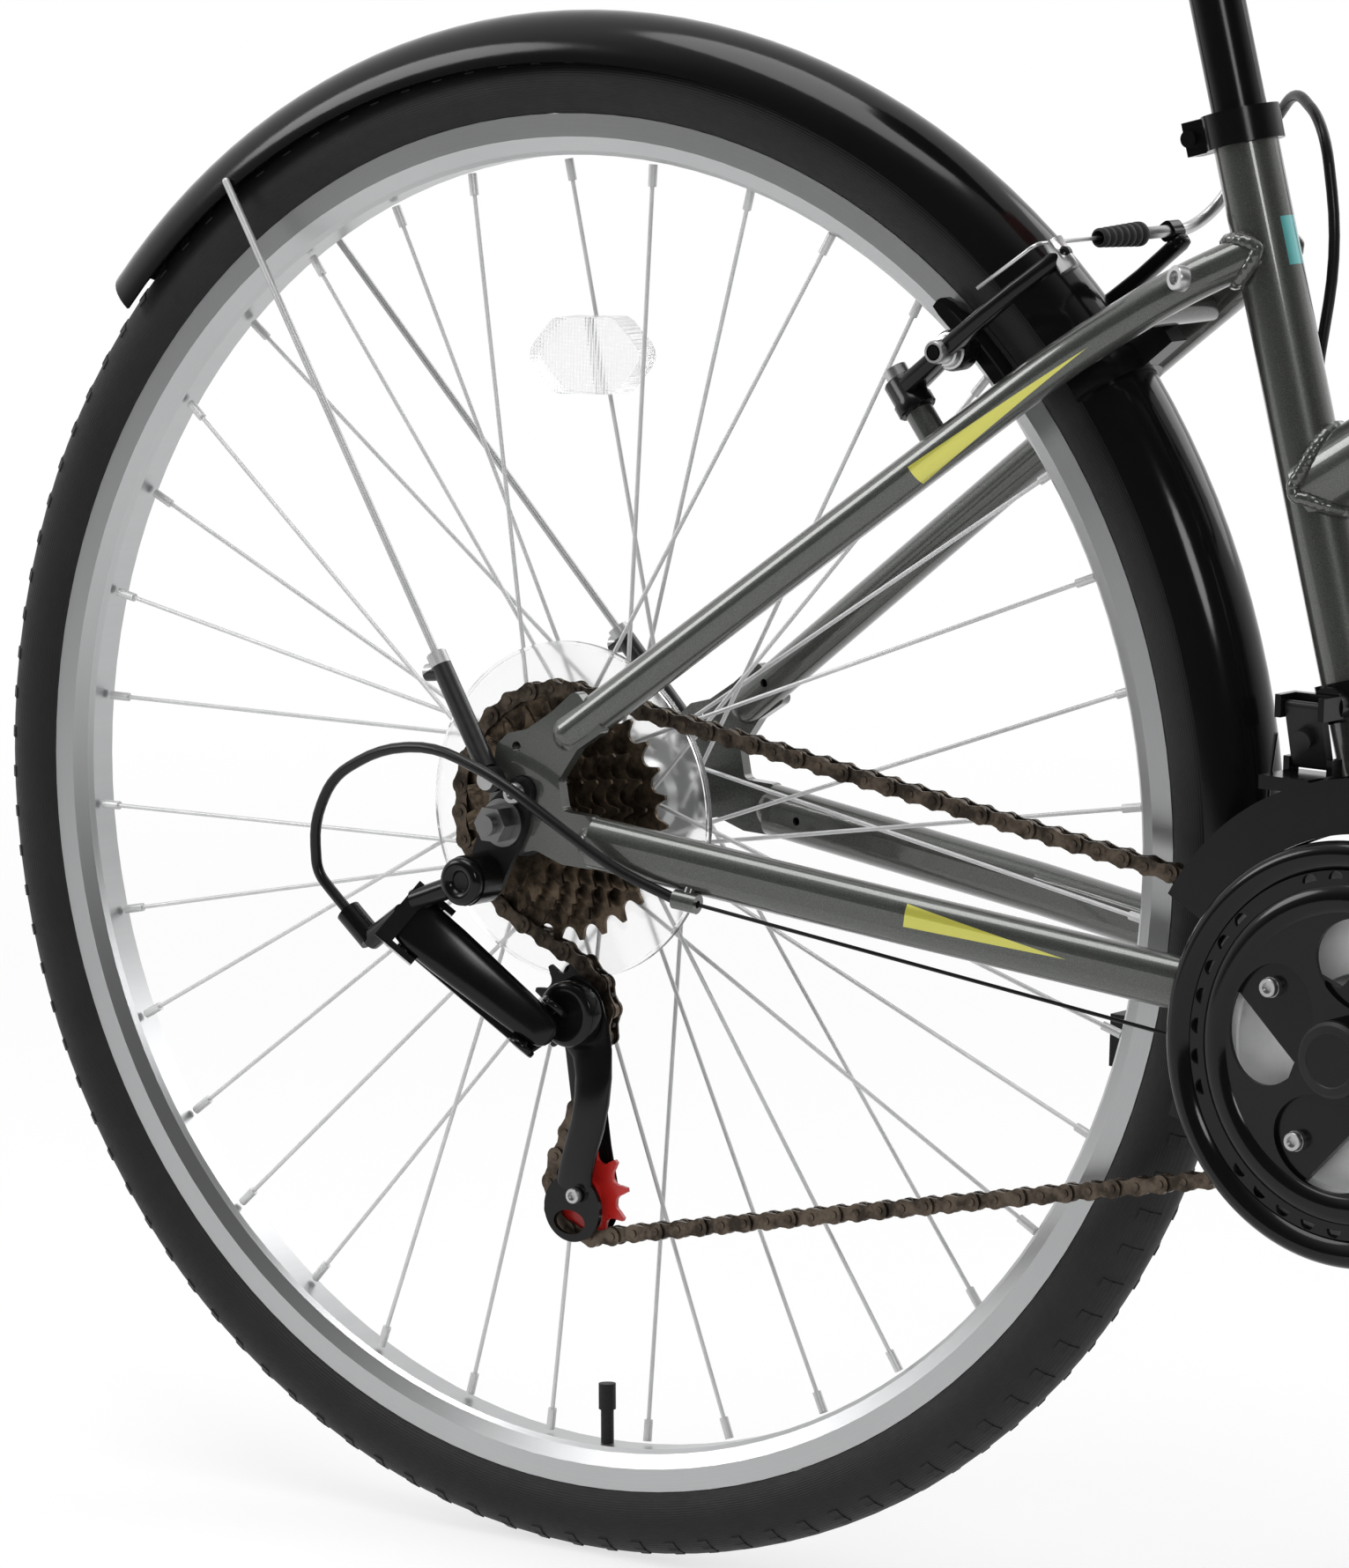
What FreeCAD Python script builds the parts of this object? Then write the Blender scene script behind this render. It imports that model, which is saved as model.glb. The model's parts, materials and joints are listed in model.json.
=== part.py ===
"""Hybrid bike with mudguards, seven rear sprockets, three chainrings and rim brakes.

Millimetres. X points forward, Y to the rider's left and Z up. The origin lies on the ground,
midway between the two wheel centres. The drive side is the right side, at negative Y.
"""
import FreeCAD, Part
import math
import os
from FreeCAD import Vector

# Working values
OVERRUN = 3.0                 # how far a cut runs past the face that it opens
RUN_GAP = 0.35                # clearance round a part that turns or slides
SEAT_GAP = 0.2                # clearance of a fitted part in its seat
HEX_SIDES = 6
ARC_SHARE = 0.45              # share of a run that a rounded corner may take

# Wheels
WHEELBASE = 1060.0
RIM_R = 316.5
TYRE_HEIGHT = 30.5            # tread above the rim's edge
TYRE_R = RIM_R + TYRE_HEIGHT
TYRE_WALL = 3.0
TYRE_TREAD = 5.0
RIM_WIDTH = 24.0
RIM_WALL = 2.2
RIM_TRACK = 10.5              # height of the braking track
RIM_DEPTH = 19.0
RIM_WELL = 8.5                # depth of the channel that holds the tyre
RIM_BASE_WIDTH = 14.0
RIM_CHAMFER = 2.0
SPOKE_COUNT = 36
SPOKE_CROSSES = 3
SPOKE_D = 2.0
SPOKE_SPLAY = 2.6             # how far spoke ends sit either side of the rim's middle
NIPPLE_D = 4.0
NIPPLE_LENGTH = 12.0
HUB_FLANGE_R = 29.0
HUB_FLANGE_THICK = 3.0
HUB_HOLE_R = 22.5
HUB_BODY_R = 15.5
HUB_CAP_R = 19.0
HUB_CAP_LENGTH = 11.0
SPOKE_LEAN = 1.4              # extra room for an outer spoke to lean over its flange
VALVE_D = 6.0
VALVE_LENGTH = 16.0
VALVE_CAP_D = 8.0
VALVE_CAP_LENGTH = 12.0
VALVE_DEG = -88.0
SPOKE_PHASE_DEG = 6.0

# Rear hub, axle and sprockets
REAR_SPACING = 135.0          # between the inner faces of the rear dropouts
REAR_AXLE_D = 10.0
REAR_FLANGE_LEFT = 33.0
REAR_FLANGE_RIGHT = 17.0
LOCKNUT_R = 8.5
NUT_FLATS = 15.0
NUT_HEIGHT = 9.0
NUT_FLANGE_R = 11.0
NUT_FLANGE = 2.0
AXLE_TAIL = 4.0               # thread that shows past a nut
CHAIN_PITCH = 12.7
ROLLER_R = 3.9
TOOTH_SEAT_R = 4.15
TOOTH_TIP_RISE = 2.3          # tooth tip above the pitch circle
TOOTH_TIP_WIDTH = 1.8
TOOTH_SEAT_DEG = 68.0
COG_TEETH = [28, 24, 22, 20, 18, 16, 14]
COG_PITCH = 5.0
COG_THICK = 1.7
FIRST_COG_Y = 32.0            # largest sprocket, right of the bike's middle
COG_CARRIER_R = 21.5
FREEWHEEL_BODY_R = 17.0
PROTECTOR_R = 76.0
PROTECTOR_THICK = 1.4
PROTECTOR_Y = 24.0
PROTECTOR_LIP = 1.5
REFLECTOR_LENGTH = 68.0
REFLECTOR_HEIGHT = 35.0
REFLECTOR_LOW_Y = -5.0
REFLECTOR_HIGH_Y = 8.45
REFLECTOR_INSET = 110.5        # its middle inside the rim's edge
REFLECTOR_R = RIM_R - REFLECTOR_INSET
REFLECTOR_DEG = 93.9
REFLECTOR_END = 17.0

# Frame
BB_FORWARD = 440.0            # bottom bracket ahead of the rear axle
BB_DROP = 54.0
BB_SHELL_D = 41.0
BB_SHELL_WIDTH = 68.0
BB_BORE = 34.0
SEAT_ANGLE_DEG = 74.3
SEAT_TUBE_D = 28.6
SEAT_TUBE_LENGTH = 407.0
HEAD_ANGLE_DEG = 70.5
FORK_RAKE = 45.0
CROWN_UP = 392.0              # fork crown race above the axle line, along the steering axis
HEAD_TUBE_D = 37.0
HEAD_TUBE_BORE = 31.0
HEAD_TUBE_LENGTH = 150.0
HEAD_CUP = 14.0
DOWN_TUBE_D = 40.0
DOWN_TUBE_UP = 42.0           # where it meets the head tube, above its lower end
TOP_TUBE_D = 34.9
TOP_TUBE_DROP = 34.0          # where it meets the head tube, below its upper end
TOP_TUBE_SEAT_UP = 241.0      # where it meets the seat tube, above the bottom bracket
TUBE_WALL = 2.0
SEAT_STAY_D = 18.0
SEAT_STAY_WALL = 1.8
STAY_CAP = 10.0               # solid length at the closed end of a stay
STAY_VENT_D = 4.0
SEAT_STAY_LOW_X = 31.0
SEAT_STAY_LOW_Y = 68.5
SEAT_STAY_LOW_Z = 43.0
SEAT_STAY_MID_X = 270.0
SEAT_STAY_MID_Y = 40.5
SEAT_STAY_MID_Z = 229.0
SEAT_STAY_HIGH_X = 318.0
SEAT_STAY_HIGH_Y = 27.0
SEAT_STAY_HIGH_Z = 262.0
SEAT_STAY_END_Y = 9.0
SEAT_STAY_END_UP = 346.0      # along the seat tube from the bottom bracket
CHAIN_STAY_TALL = 24.0
CHAIN_STAY_WIDE = 17.0
CHAIN_STAY_WALL = 1.8
CHAIN_STAY_BACK_X = 46.0
CHAIN_STAY_BACK_Y = 69.5
CHAIN_STAY_BACK_Z = -5.0
CHAIN_STAY_MID_X = 205.0
CHAIN_STAY_MID_Y = 55.5
CHAIN_STAY_MID_Z = -22.5
CHAIN_STAY_FRONT_X = 346.0
CHAIN_STAY_FRONT_Y = 36.0
CHAIN_STAY_FRONT_Z = -39.0
CHAIN_STAY_END_Y = 22.0
BRIDGE_D = 14.0
SEAT_BRIDGE_X = 301.0
SEAT_BRIDGE_Z = 250.0
CHAIN_BRIDGE_X = 374.0
CHAIN_BRIDGE_HALF = 30.0
DROPOUT_THICK = 6.0
DROPOUT_SPAN = 60.0           # length that the dropout's outline follows
SLOT_DEG = -100.0
DROPOUT_ROUND = 3.5
DROPOUT_SLOT = 10.4
DROPOUT_OUTLINE_SHARES = [
    (-0.02, 0.67), (0.16, 0.72), (0.38, 0.87), (0.60, 1.06), (0.88, 0.78), (0.63, 0.61), (0.46, 0.36),
    (0.51, 0.13), (0.80, 0.12), (0.83, -0.28), (0.51, -0.27), (0.26, -0.19), (0.08, -0.24),
    (-0.17, -0.22), (-0.21, 0.0), (-0.17, 0.22), (-0.15, 0.42), (-0.12, 0.58),
]
EYELET_HOLE_D = 5.0
RACK_EYELET_X = 3.8
RACK_EYELET_Z = 34.5
GUARD_EYELET_X = -4.3
GUARD_EYELET_Z = 19.6
CLAW_BOLT_X = 8.3
CLAW_BOLT_Z = 14.5
POCKET_D = 15.0
POCKET_DEPTH = 1.6
BRAKE_BOSS_Y = 40.0
BRAKE_BOSS_D = 13.0
BRAKE_BOSS_REACH = 23.0
FORK_BOSS_REACH = 31.0
PIVOT_POST_D = 8.0
BOTTLE_BOSS_SHARES = [0.42, 0.52]
BOTTLE_BOSS_D = 11.0
BOTTLE_BOSS_RISE = 3.0
BOTTLE_BOLT_D = 5.0
CABLE_STOP_D = 9.0            # also the guides of the rear brake's housing
CABLE_STOP_LENGTH = 12.0
DOWN_STOP_BACK = 88.0         # stops on the down tube, behind its joint with the head tube
DOWN_STOP_LOW = 8.0
DOWN_STOP_OUT = 2.0
TOP_STOP_BACK = 84.0          # stop on the top tube, behind its joint with the head tube
TOP_STOP_FRONT = 56.0         # stop on the top tube, ahead of the seat tube
TOP_STOP_OUT = 3.0
CHAIN_STOP_X = 99.0           # gear cable stop under the right chain stay
CHAIN_STOP_Y = 72.0
CHAIN_STOP_Z = -25.5
CHAIN_STOP_LUG_D = 6.0

# Seat clamp, seatpost, saddle and rear reflector
SEATPOST_D = 24.2
SEATPOST_WALL = 2.4
SEATPOST_IN = 125.0           # length held inside the seat tube
SEATPOST_OUT = 205.0          # length above the seat tube
CLAMP_D = 34.5
CLAMP_HEIGHT = 15.0
CLAMP_SLIT = 1.6
CLAMP_SLIT_SHARE = 1.6        # slit's cutter against the collar's diameter
CLAMP_EAR = 11.0
CLAMP_EAR_WIDE = 13.0
CLAMP_BOLT_D = 6.0
SADDLE_LENGTH = 265.0
SADDLE_WIDTH = 178.0
SADDLE_THICK = 58.0
SADDLE_RISE = 36.0            # underside of the saddle above the post's head
SADDLE_SETBACK = 22.0
SADDLE_STATION_SHARES = [0.0, 0.08, 0.3, 0.52, 0.75, 0.94, 1.0]
SADDLE_WIDTH_SHARES = [0.55, 0.86, 1.0, 0.72, 0.36, 0.28, 0.17]
SADDLE_THICK_SHARES = [0.5, 0.82, 1.0, 0.88, 0.76, 0.62, 0.34]
SADDLE_TUCK_SHARE = 0.8
SADDLE_SIDE_SHARE = 0.35
RAIL_D = 7.0
RAIL_SPREAD = 44.0
RAIL_LENGTH = 190.0
RAIL_CLAMP_LENGTH = 42.0
RAIL_CLAMP_HEIGHT = 20.0
RAIL_END = 22.0
POST_REFLECTOR_UP = 85.0      # above the seat tube's upper end
POST_REFLECTOR_WIDTH = 62.0
POST_REFLECTOR_HEIGHT = 38.0
POST_REFLECTOR_DEEP = 11.0
POST_REFLECTOR_BACK = 40.0
POST_BAND = 12.0
POST_BAND_WALL = 2.5

# Crankset and pedals
CRANK_LENGTH = 170.0
CRANK_DEG = 13.0
RING_TEETH = [24, 34, 42]
RING_Y = [41.0, 48.5, 56.0]
RING_THICK = 2.0
RING_INNER_R = [26.0, 34.0, 60.0]
SPIDER_DEG = 148.0
SPIDER_ARMS = 4
SPIDER_THICK = 4.0
SPIDER_HUB_R = 24.0
SPIDER_TIP_R = 66.0
SPIDER_TIP_ROUND = 11.0
RING_BOLT_R = 47.0
RING_BOLT_D = 9.0
RING_BOLT_HEAD = 2.6
RING_POST_R = 38.5
RING_POST_D = 8.0
GUARD_RING_R = 91.5
GUARD_RING_INNER_R = 79.0
GUARD_RING_Y = 64.0
GUARD_RING_THICK = 3.0
GUARD_TAB_R = 75.5
GUARD_TAB_D = 10.0
GUARD_TAB_DEG = 103.0
CRANK_EYE_R = 17.0
CRANK_BOSS_Y = 46.0           # inner face of the right crank's boss
CRANK_FACE_Y = 76.0           # outer face of the right crank at the axle
CRANK_CAP_R = 12.5
CRANK_CAP = 2.0
ARM_WIDE = 27.0
ARM_WAIST = 21.0
ARM_FLARE_SHARE = 0.75         # share of the crank's flare at mid length
ARM_THICK = 13.0
ARM_FLARE = 12.0              # how far the pedal end stands outboard of the axle end
PEDAL_EYE_R = 14.0
LEFT_CRANK_Y = 50.0           # inner face of the left crank
SPINDLE_D = 17.0
SPINDLE_LENGTH_LEFT = 64.0
SPINDLE_LENGTH_RIGHT = 70.0
BB_CUP_FLANGE = 4.0
BB_CUP_DEPTH = 14.0
PEDAL_AXLE_D = 12.0
PEDAL_WIDTH = 92.0            # across the bike
PEDAL_LENGTH = 98.0           # fore and aft
PEDAL_THICK = 24.0
PEDAL_BAR = 9.0
PEDAL_BARREL_D = 26.0
PEDAL_GAP = 6.0

# Chain, in the gear that is engaged: largest sprocket, smallest chainring
CHAIN_INNER_WIDTH = 2.7
CHAIN_PLATE = 0.9
CHAIN_PLATE_R = 4.1
PLATE_GAP = 0.06
PULLEY_TEETH = 10
PULLEY_THICK = 2.0
PULLEY_HUB_R = 8.0
PULLEY_HUB_WIDE = 8.0
PULLEY_BORE = 6.8
PULLEY_Y = 33.0
CAGE_SEARCH_DEG = 20.0        # cage angles searched for a whole chain
CAGE_SEARCH_STEPS = 60

# Rear derailleur, measured from the rear axle, at the largest sprocket
HANGER_THICK = 3.0
B_BOLT_X = -10.5
B_BOLT_Z = -26.3
B_BOLT_R = 11.5
B_KNUCKLE_INNER_Y = 77.5
B_KNUCKLE_OUTER_Y = 91.0
B_CAP_R = 9.5
B_CAP = 2.0
B_SHAFT_D = 10.0
CLAW_R = 7.0
HANGER_R = 12.0
LINK_TOP_X = -39.0
LINK_TOP_Y = 85.0
LINK_TOP_Z = -52.0
LINK_LOW_X = 8.0
LINK_LOW_Y = 58.0
LINK_LOW_Z = -95.0
LINK_TOP_WIDE = 25.0
LINK_LOW_WIDE = 18.0
LINK_THICK = 7.0
LINK_SEAT_SHARE = 1.3         # slot for a link against its thickness
LINK_SPREAD = 11.0            # inner link behind the outer one
INNER_LINK_DROP = 8.0
INNER_LINK_WIDE = 9.0
LINK_PIN_D = 5.0
YOKE_THICK = 8.0
YOKE_EAR = 3.0
OPEN_GAP = 0.8                # between the knuckle's ears and the link's lower end
YOKE_ARM_R = 5.0
LINK_END_GAP = 3.0
SHIFT_OUT = 30.0              # travel of the cage from the largest to the smallest sprocket
SHIFT_UP = 12.5
P_PIVOT_X = 17.0
P_PIVOT_Z = -89.5
P_KNUCKLE_R = 15.0
P_KNUCKLE_INNER_Y = 42.2
P_KNUCKLE_OUTER_Y = 49.0
GUIDE_X = 10.5
GUIDE_Z = -88.5
TENSION_X = 15.5
TENSION_Z = -173.5
CAGE_OUTER_Y = 39.2
CAGE_INNER_Y = 28.6
CAGE_PLATE = 2.4
CAGE_INNER_PLATE = 1.4
CAGE_WAIST_X = 25.0
CAGE_WAIST_Z = -128.0
CAGE_TOP_R = 16.0
CAGE_WAIST_R = 10.0
CAGE_LOW_R = 16.5
CAGE_TAIL_X = 12.0
CAGE_TAIL_Z = -181.0
CAGE_BOLT_D = 6.0
CAGE_BOLT_HEAD_R = 4.0
CAGE_BOLT_HEAD = 2.0
CAGE_WINDOW_R = 6.5
BARREL_X = -72.0
BARREL_Y = 79.0
BARREL_Z = -61.5
BARREL_R = 6.0
BARREL_LENGTH = 18.0
BARREL_LEAD_SHARE = 1.6       # straight cable before the adjuster
BARREL_ARM_R = 5.0
BARREL_LEAN_X = 26.0         # the housing leaves the barrel backwards and up
BARREL_LEAN_Z = 21.5

# Front derailleur, measured along and behind the seat tube
FD_CLAMP_UP = 150.0
FD_CLAMP_HEIGHT = 14.0
FD_CLAMP_WALL = 3.0
FD_BODY_X = 394.0
FD_PLATE = 1.4
FD_CAGE_INNER_Y = 33.6
FD_CAGE_OUTER_Y = 47.6
FD_CAGE_LOW_R = 93.2
FD_CAGE_HIGH_R = 117.0
FD_CAGE_FRONT_DEG = 93.0
FD_CAGE_BACK_DEG = 151.0
FD_TAIL_DEG = 7.0
FD_SHIFT_OUT = 15.0
FD_PIVOT_Y = 33.0
FD_PIVOT_Z = 88.0
FD_LINK_WIDE = 18.0
FD_LINK_THICK = 5.0
FD_LINK_LENGTH = 26.0
FD_EAR = 3.0
FD_EAR_SHARE = 1.6            # ear's width against the link's thickness
FD_PIN_D = 4.0
FD_LUG_R = 8.0
FD_BACK_PLATE = 4.0
FD_BACK_Y = 24.0
FD_TOP_Z = 59.2
FD_TOP_TALL = 6.0
FD_TOP_INNER_Y = 21.0
FD_ANCHOR_R = 4.5
FD_ANCHOR_HEAD = 4.0

# Rim brakes
ARM_LENGTH = 106.0
ARM_TOP_Y = 47.0
ARM_PIVOT_R = 9.0
ARM_SLEEVE = 17.0
ARM_BLADE_WIDE = 12.0
ARM_BLADE_TIP = 8.0
ARM_BLADE_THICK = 10.0
ARM_BLADE_LIFT = 3.0          # blade above the pivot sleeve's middle
PAD_ALONG = 31.0
PAD_LENGTH = 56.0
PAD_TALL = 9.0
PAD_THICK = 10.0
PAD_GAP = 2.2                 # pad to rim with the brake open
PAD_POST_D = 9.0
PAD_POST_OUT = 17.0
PIVOT_BOLT_R = 5.5
PIVOT_BOLT_HEAD = 5.0
CABLE_CLAMP_R = 4.5
CABLE_CLAMP_LENGTH = 15.0
CABLE_TAIL = 34.0
BOOT_OUTER_END = 22.0         # ends of the boot, either side of the bike's middle
BOOT_INNER_END = 12.0
BOOT_LAP = 6.0
BOOT_D = 11.0
BOOT_BORE = 6.8
NOODLE_D = 5.5
NOODLE_OUT = 26.0
NOODLE_UP = 40.0
NOODLE_LIFT = 12.0
NOODLE_BEND_R = 22.0

# Fork, front wheel and steering
FRONT_SPACING = 100.0
FRONT_AXLE_D = 9.0
FRONT_FLANGE = 33.0
STEERER_D = 28.4
CROWN_R = 16.5
LEG_SPREAD = 49.0             # fork leg middle at the crown, from the bike's middle
LEG_TOP_D = 26.0
LEG_LOW_D = 17.0
LEG_SHOULDER_DROP = 12.0
LEG_STRAIGHT = 120.0          # parallel length below the shoulder
LEG_BEND_R = 30.0
FORK_END_THICK = 6.0
EYELET_LOBE_SHARE = 1.5       # lobe round an eyelet against the bolt's head
FORK_END_R = 14.0
FORK_END_REACH = 34.0
FORK_END_NECK_R = 6.5
HEADSET_CAP = 12.0
SPACER_D = 36.0
SPACER_LENGTH = 30.0
STEM_D = 30.0
STEM_CLAMP_HEIGHT = 42.0
STEM_CLAMP_D = 37.0
STEM_REACH = 92.0
STEM_RISE = 38.0
CAP_THICK = 5.0
BAR_CLAMP_D = 42.0
BAR_CLAMP_WIDTH = 44.0
BAR_D = 22.2
BAR_CLAMP_ZONE = 48.0
BAR_BEND_OUT = 106.0
BAR_BEND_BACK = 6.0
BAR_BEND_UP = 48.0
BAR_END_OUT = 312.0
BAR_END_BACK = 58.0
BAR_END_UP = 42.0
BAR_BEND_R = 58.0
GRIP_LENGTH = 118.0
GRIP_D = 32.0
GRIP_CAP = 3.0
SHIFTER_LENGTH = 40.0
SHIFTER_D = 37.0
CONTROL_GAP = 1.0
BRACKET_LENGTH = 17.0
BRACKET_D = 31.0
LEVER_PIVOT_OUT = 34.0
LEVER_PIVOT_D = 8.0
LEVER_INLET_SHARE = 1.5       # cable inlet's distance from the pivot
LEVER_THICK = 9.0
LEVER_WIDE = 13.0
LEVER_LENGTH = 122.0
LEVER_KNEE = 40.0
LEVER_KNEE_OUT = 18.0
LEVER_TIP_OUT = 28.0
LEVER_DROOP_DEG = 30.0
BRACKET_WALL = 4.0

# Mudguards
GUARD_CLEAR = 16.0            # mudguard's crest above the tread
GUARD_R = TYRE_R + GUARD_CLEAR
GUARD_HALF = 23.0
GUARD_THICK = 1.6
REAR_GUARD_BACK_DEG = 142.0
REAR_GUARD_FRONT_DEG = -17.0
FRONT_GUARD_BACK_DEG = 205.0
FRONT_GUARD_FRONT_DEG = 58.0
GUARD_WIRE_D = 3.5
GUARD_WIRE_DEG = 127.3
GUARD_WIRE_SPREAD = 25.0
SLEEVE_D = 9.5
SLEEVE_LUG_DEG = 60.0         # lean of the sleeve's clip on the guard
SLEEVE_LENGTH = 62.0
SLEEVE_CLIP_D = 8.0
GUARD_TAB_WIDE = 24.0
GUARD_TAB_THICK = 3.0
GUARD_EYE_THICK = 4.0
GUARD_EYE_R = 6.0
GUARD_EYE_OUT = 5.0           # eye's inner face, outside the dropout or fork end
FRONT_GUARD_WIRE_DEG = 186.0
SMALL_BOLT_R = 4.5
SMALL_BOLT_HEAD = 3.5

# Cables
HOUSING_D = 5.0
BRAKE_CABLE_D = 1.8
FERRULE_D = 6.5
FERRULE_LENGTH = 11.0
REAR_GEAR_ROUTE = [           # from the rear wheel's centre
    (66.0, -81.0, -14.0), (38.0, -88.0, 4.0), (8.6, -92.0, 21.8), (-30.0, -90.0, 33.0), (-63.0, -87.0, 28.2),
    (-92.0, -85.0, 12.0), (-104.3, -82.0, -11.0), (-104.0, -79.5, -34.0),
]
REAR_GEAR_WIRE_ROUTE = [
    (482.0, -17.0, -40.0), (452.0, -14.0, -76.0), (424.0, -16.0, -77.0),
]
FRONT_GEAR_WIRE_ROUTE = [
    (482.0, 17.0, -40.0), (452.0, 8.0, -76.0), (428.0, 0.0, -77.0), (410.0, -8.0, -46.0), (370.0, -25.0, 34.0),
]
REAR_BRAKE_ROUTE = [
    (372.0, 25.0, 176.0), (356.0, 26.0, 214.0), (366.0, 26.0, 280.0), (352.0, 34.0, 332.0), (322.0, 58.0, 344.0),
]
BAR_BRAKE_ROUTE = [           # from the middle of the handlebar
    (44.0, 92.0, 24.0), (58.0, 54.0, -24.0), (22.0, 38.0, -92.0),
]
BAR_GEAR_ROUTE = [
    (34.0, 112.0, 4.0), (56.0, 70.0, -48.0), (42.0, 44.0, -130.0), (6.0, 34.0, -200.0),
]
FRONT_BRAKE_ROUTE = [
    (52.0, -100.0, 26.0), (72.0, -74.0, -24.0), (64.0, -72.0, -110.0),
]

LEFT = Vector(0, 1, 0)
RIGHT = Vector(0, -1, 0)
UP = Vector(0, 0, 1)
FORWARD = Vector(1, 0, 0)
ORIGIN = Vector(0, 0, 0)


def polar(length, degrees):
    """Point in the XZ plane at an angle above the forward direction."""
    angle = math.radians(degrees)
    return Vector(length * math.cos(angle), 0, length * math.sin(angle))


REAR = Vector(-WHEELBASE / 2, 0, TYRE_R)
FRONT = Vector(WHEELBASE / 2, 0, TYRE_R)
BB = REAR + Vector(BB_FORWARD, 0, -BB_DROP)
SEAT_DIR = polar(1, 180 - SEAT_ANGLE_DEG)
SEAT_TOP = BB + SEAT_DIR * SEAT_TUBE_LENGTH
STEER_DIR = polar(1, 180 - HEAD_ANGLE_DEG)
STEER_FORWARD = STEER_DIR.cross(LEFT) * -1
STEER_BASE = FRONT - STEER_FORWARD * FORK_RAKE
HEAD_LOW = STEER_BASE + STEER_DIR * (CROWN_UP + HEAD_CUP)
HEAD_HIGH = HEAD_LOW + STEER_DIR * HEAD_TUBE_LENGTH


def rear_point(x, y, z):
    """Place measured from the rear wheel's centre."""
    return REAR + Vector(x, y, z)


def rod(start, end, radius):
    """Round bar between two points."""
    span = end - start
    return Part.makeCylinder(radius, span.Length, start, span)


def bore(start, end, radius):
    """Round bar that runs past both points, to cut a hole with."""
    way = (end - start).normalize() * OVERRUN
    return rod(start - way, end + way, radius)


def pipe(start, end, outer, inner):
    """Round tube between two points."""
    return rod(start, end, outer).cut(bore(start, end, inner))


def disc(centre, axis, radius, thickness):
    """Round disc with its middle at the centre."""
    half = Vector(axis).normalize() * (thickness / 2)
    return rod(centre - half, centre + half, radius)


def ring(centre, axis, outer, inner, thickness):
    """Flat ring with its middle at the centre."""
    half = Vector(axis).normalize() * (thickness / 2)
    return pipe(centre - half, centre + half, outer, inner)


def fused(shapes):
    """One solid from several that overlap or touch."""
    first = shapes[0]
    for other in shapes[1:]:
        first = first.fuse(other)
    return first.removeSplitter()


def mirrored(shape):
    """The same piece on the other side of the bike."""
    return shape.mirror(ORIGIN, LEFT)


def hexagon(centre, axis, flats, height):
    """Six-sided bar that starts at the centre and runs along the axis."""
    way = Vector(axis).normalize()
    side = way.cross(UP)
    if side.Length < 0.5:
        side = way.cross(FORWARD)
    side.normalize()
    other = way.cross(side)
    reach = flats / math.sqrt(3)
    corners = []
    for k in range(HEX_SIDES + 1):
        turn = 2 * math.pi * k / HEX_SIDES
        corners.append(centre + side * (reach * math.cos(turn)) + other * (reach * math.sin(turn)))
    return Part.Face(Part.makePolygon(corners)).extrude(way * height)


def rounded_edges(points, radii, closed):
    """Straight edges through the points, with an arc of the given radius at each corner."""
    count = len(points)
    edges = []
    first_end = None
    last_end = None
    for k in range(count):
        here = points[k]
        if not closed and k in (0, count - 1):
            cuts = (here, here)
            arc = None
        else:
            back = points[k - 1] - here
            ahead = points[(k + 1) % count] - here
            turn = math.pi - back.getAngle(ahead)
            reach = radii[k] * math.tan(turn / 2)
            back.normalize()
            ahead.normalize()
            middle = here + (back + ahead).normalize() * (radii[k] / math.cos(turn / 2) - radii[k])
            cuts = (here + back * reach, here + ahead * reach)
            arc = Part.Arc(cuts[0], middle, cuts[1]).toShape()
        if last_end is None:
            first_end = cuts[0]
        else:
            edges.append(Part.LineSegment(last_end, cuts[0]).toShape())
        if arc:
            edges.append(arc)
        last_end = cuts[1]
    if closed:
        edges.append(Part.LineSegment(last_end, first_end).toShape())
    return edges


def corner_radii(points, closed, limit):
    """Arc radius at each point: as asked, or as large as the two runs allow."""
    count = len(points)
    radii = []
    for k in range(count):
        if not closed and k in (0, count - 1):
            radii.append(0)
            continue
        back = points[k - 1] - points[k]
        ahead = points[(k + 1) % count] - points[k]
        turn = math.pi - back.getAngle(ahead)
        largest = ARC_SHARE * min(back.Length, ahead.Length) / math.tan(turn / 2)
        radii.append(min(limit, largest) if limit else largest)
    return radii


def bent(points, radius, limit=0):
    """Bent round bar through the points, with tangent arcs between its straight runs."""
    path = Part.Wire(rounded_edges(points, corner_radii(points, False, limit), False))
    start = Part.makeCircle(radius, points[0], points[1] - points[0])
    return path.makePipeShell([Part.Wire(start)], True, False)


def slab(corners, thickness_way, limit):
    """Plate with rounded corners, drawn out along a vector."""
    edges = rounded_edges(corners, corner_radii(corners, True, limit), True)
    return Part.Face(Part.Wire(edges)).extrude(thickness_way)


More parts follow.
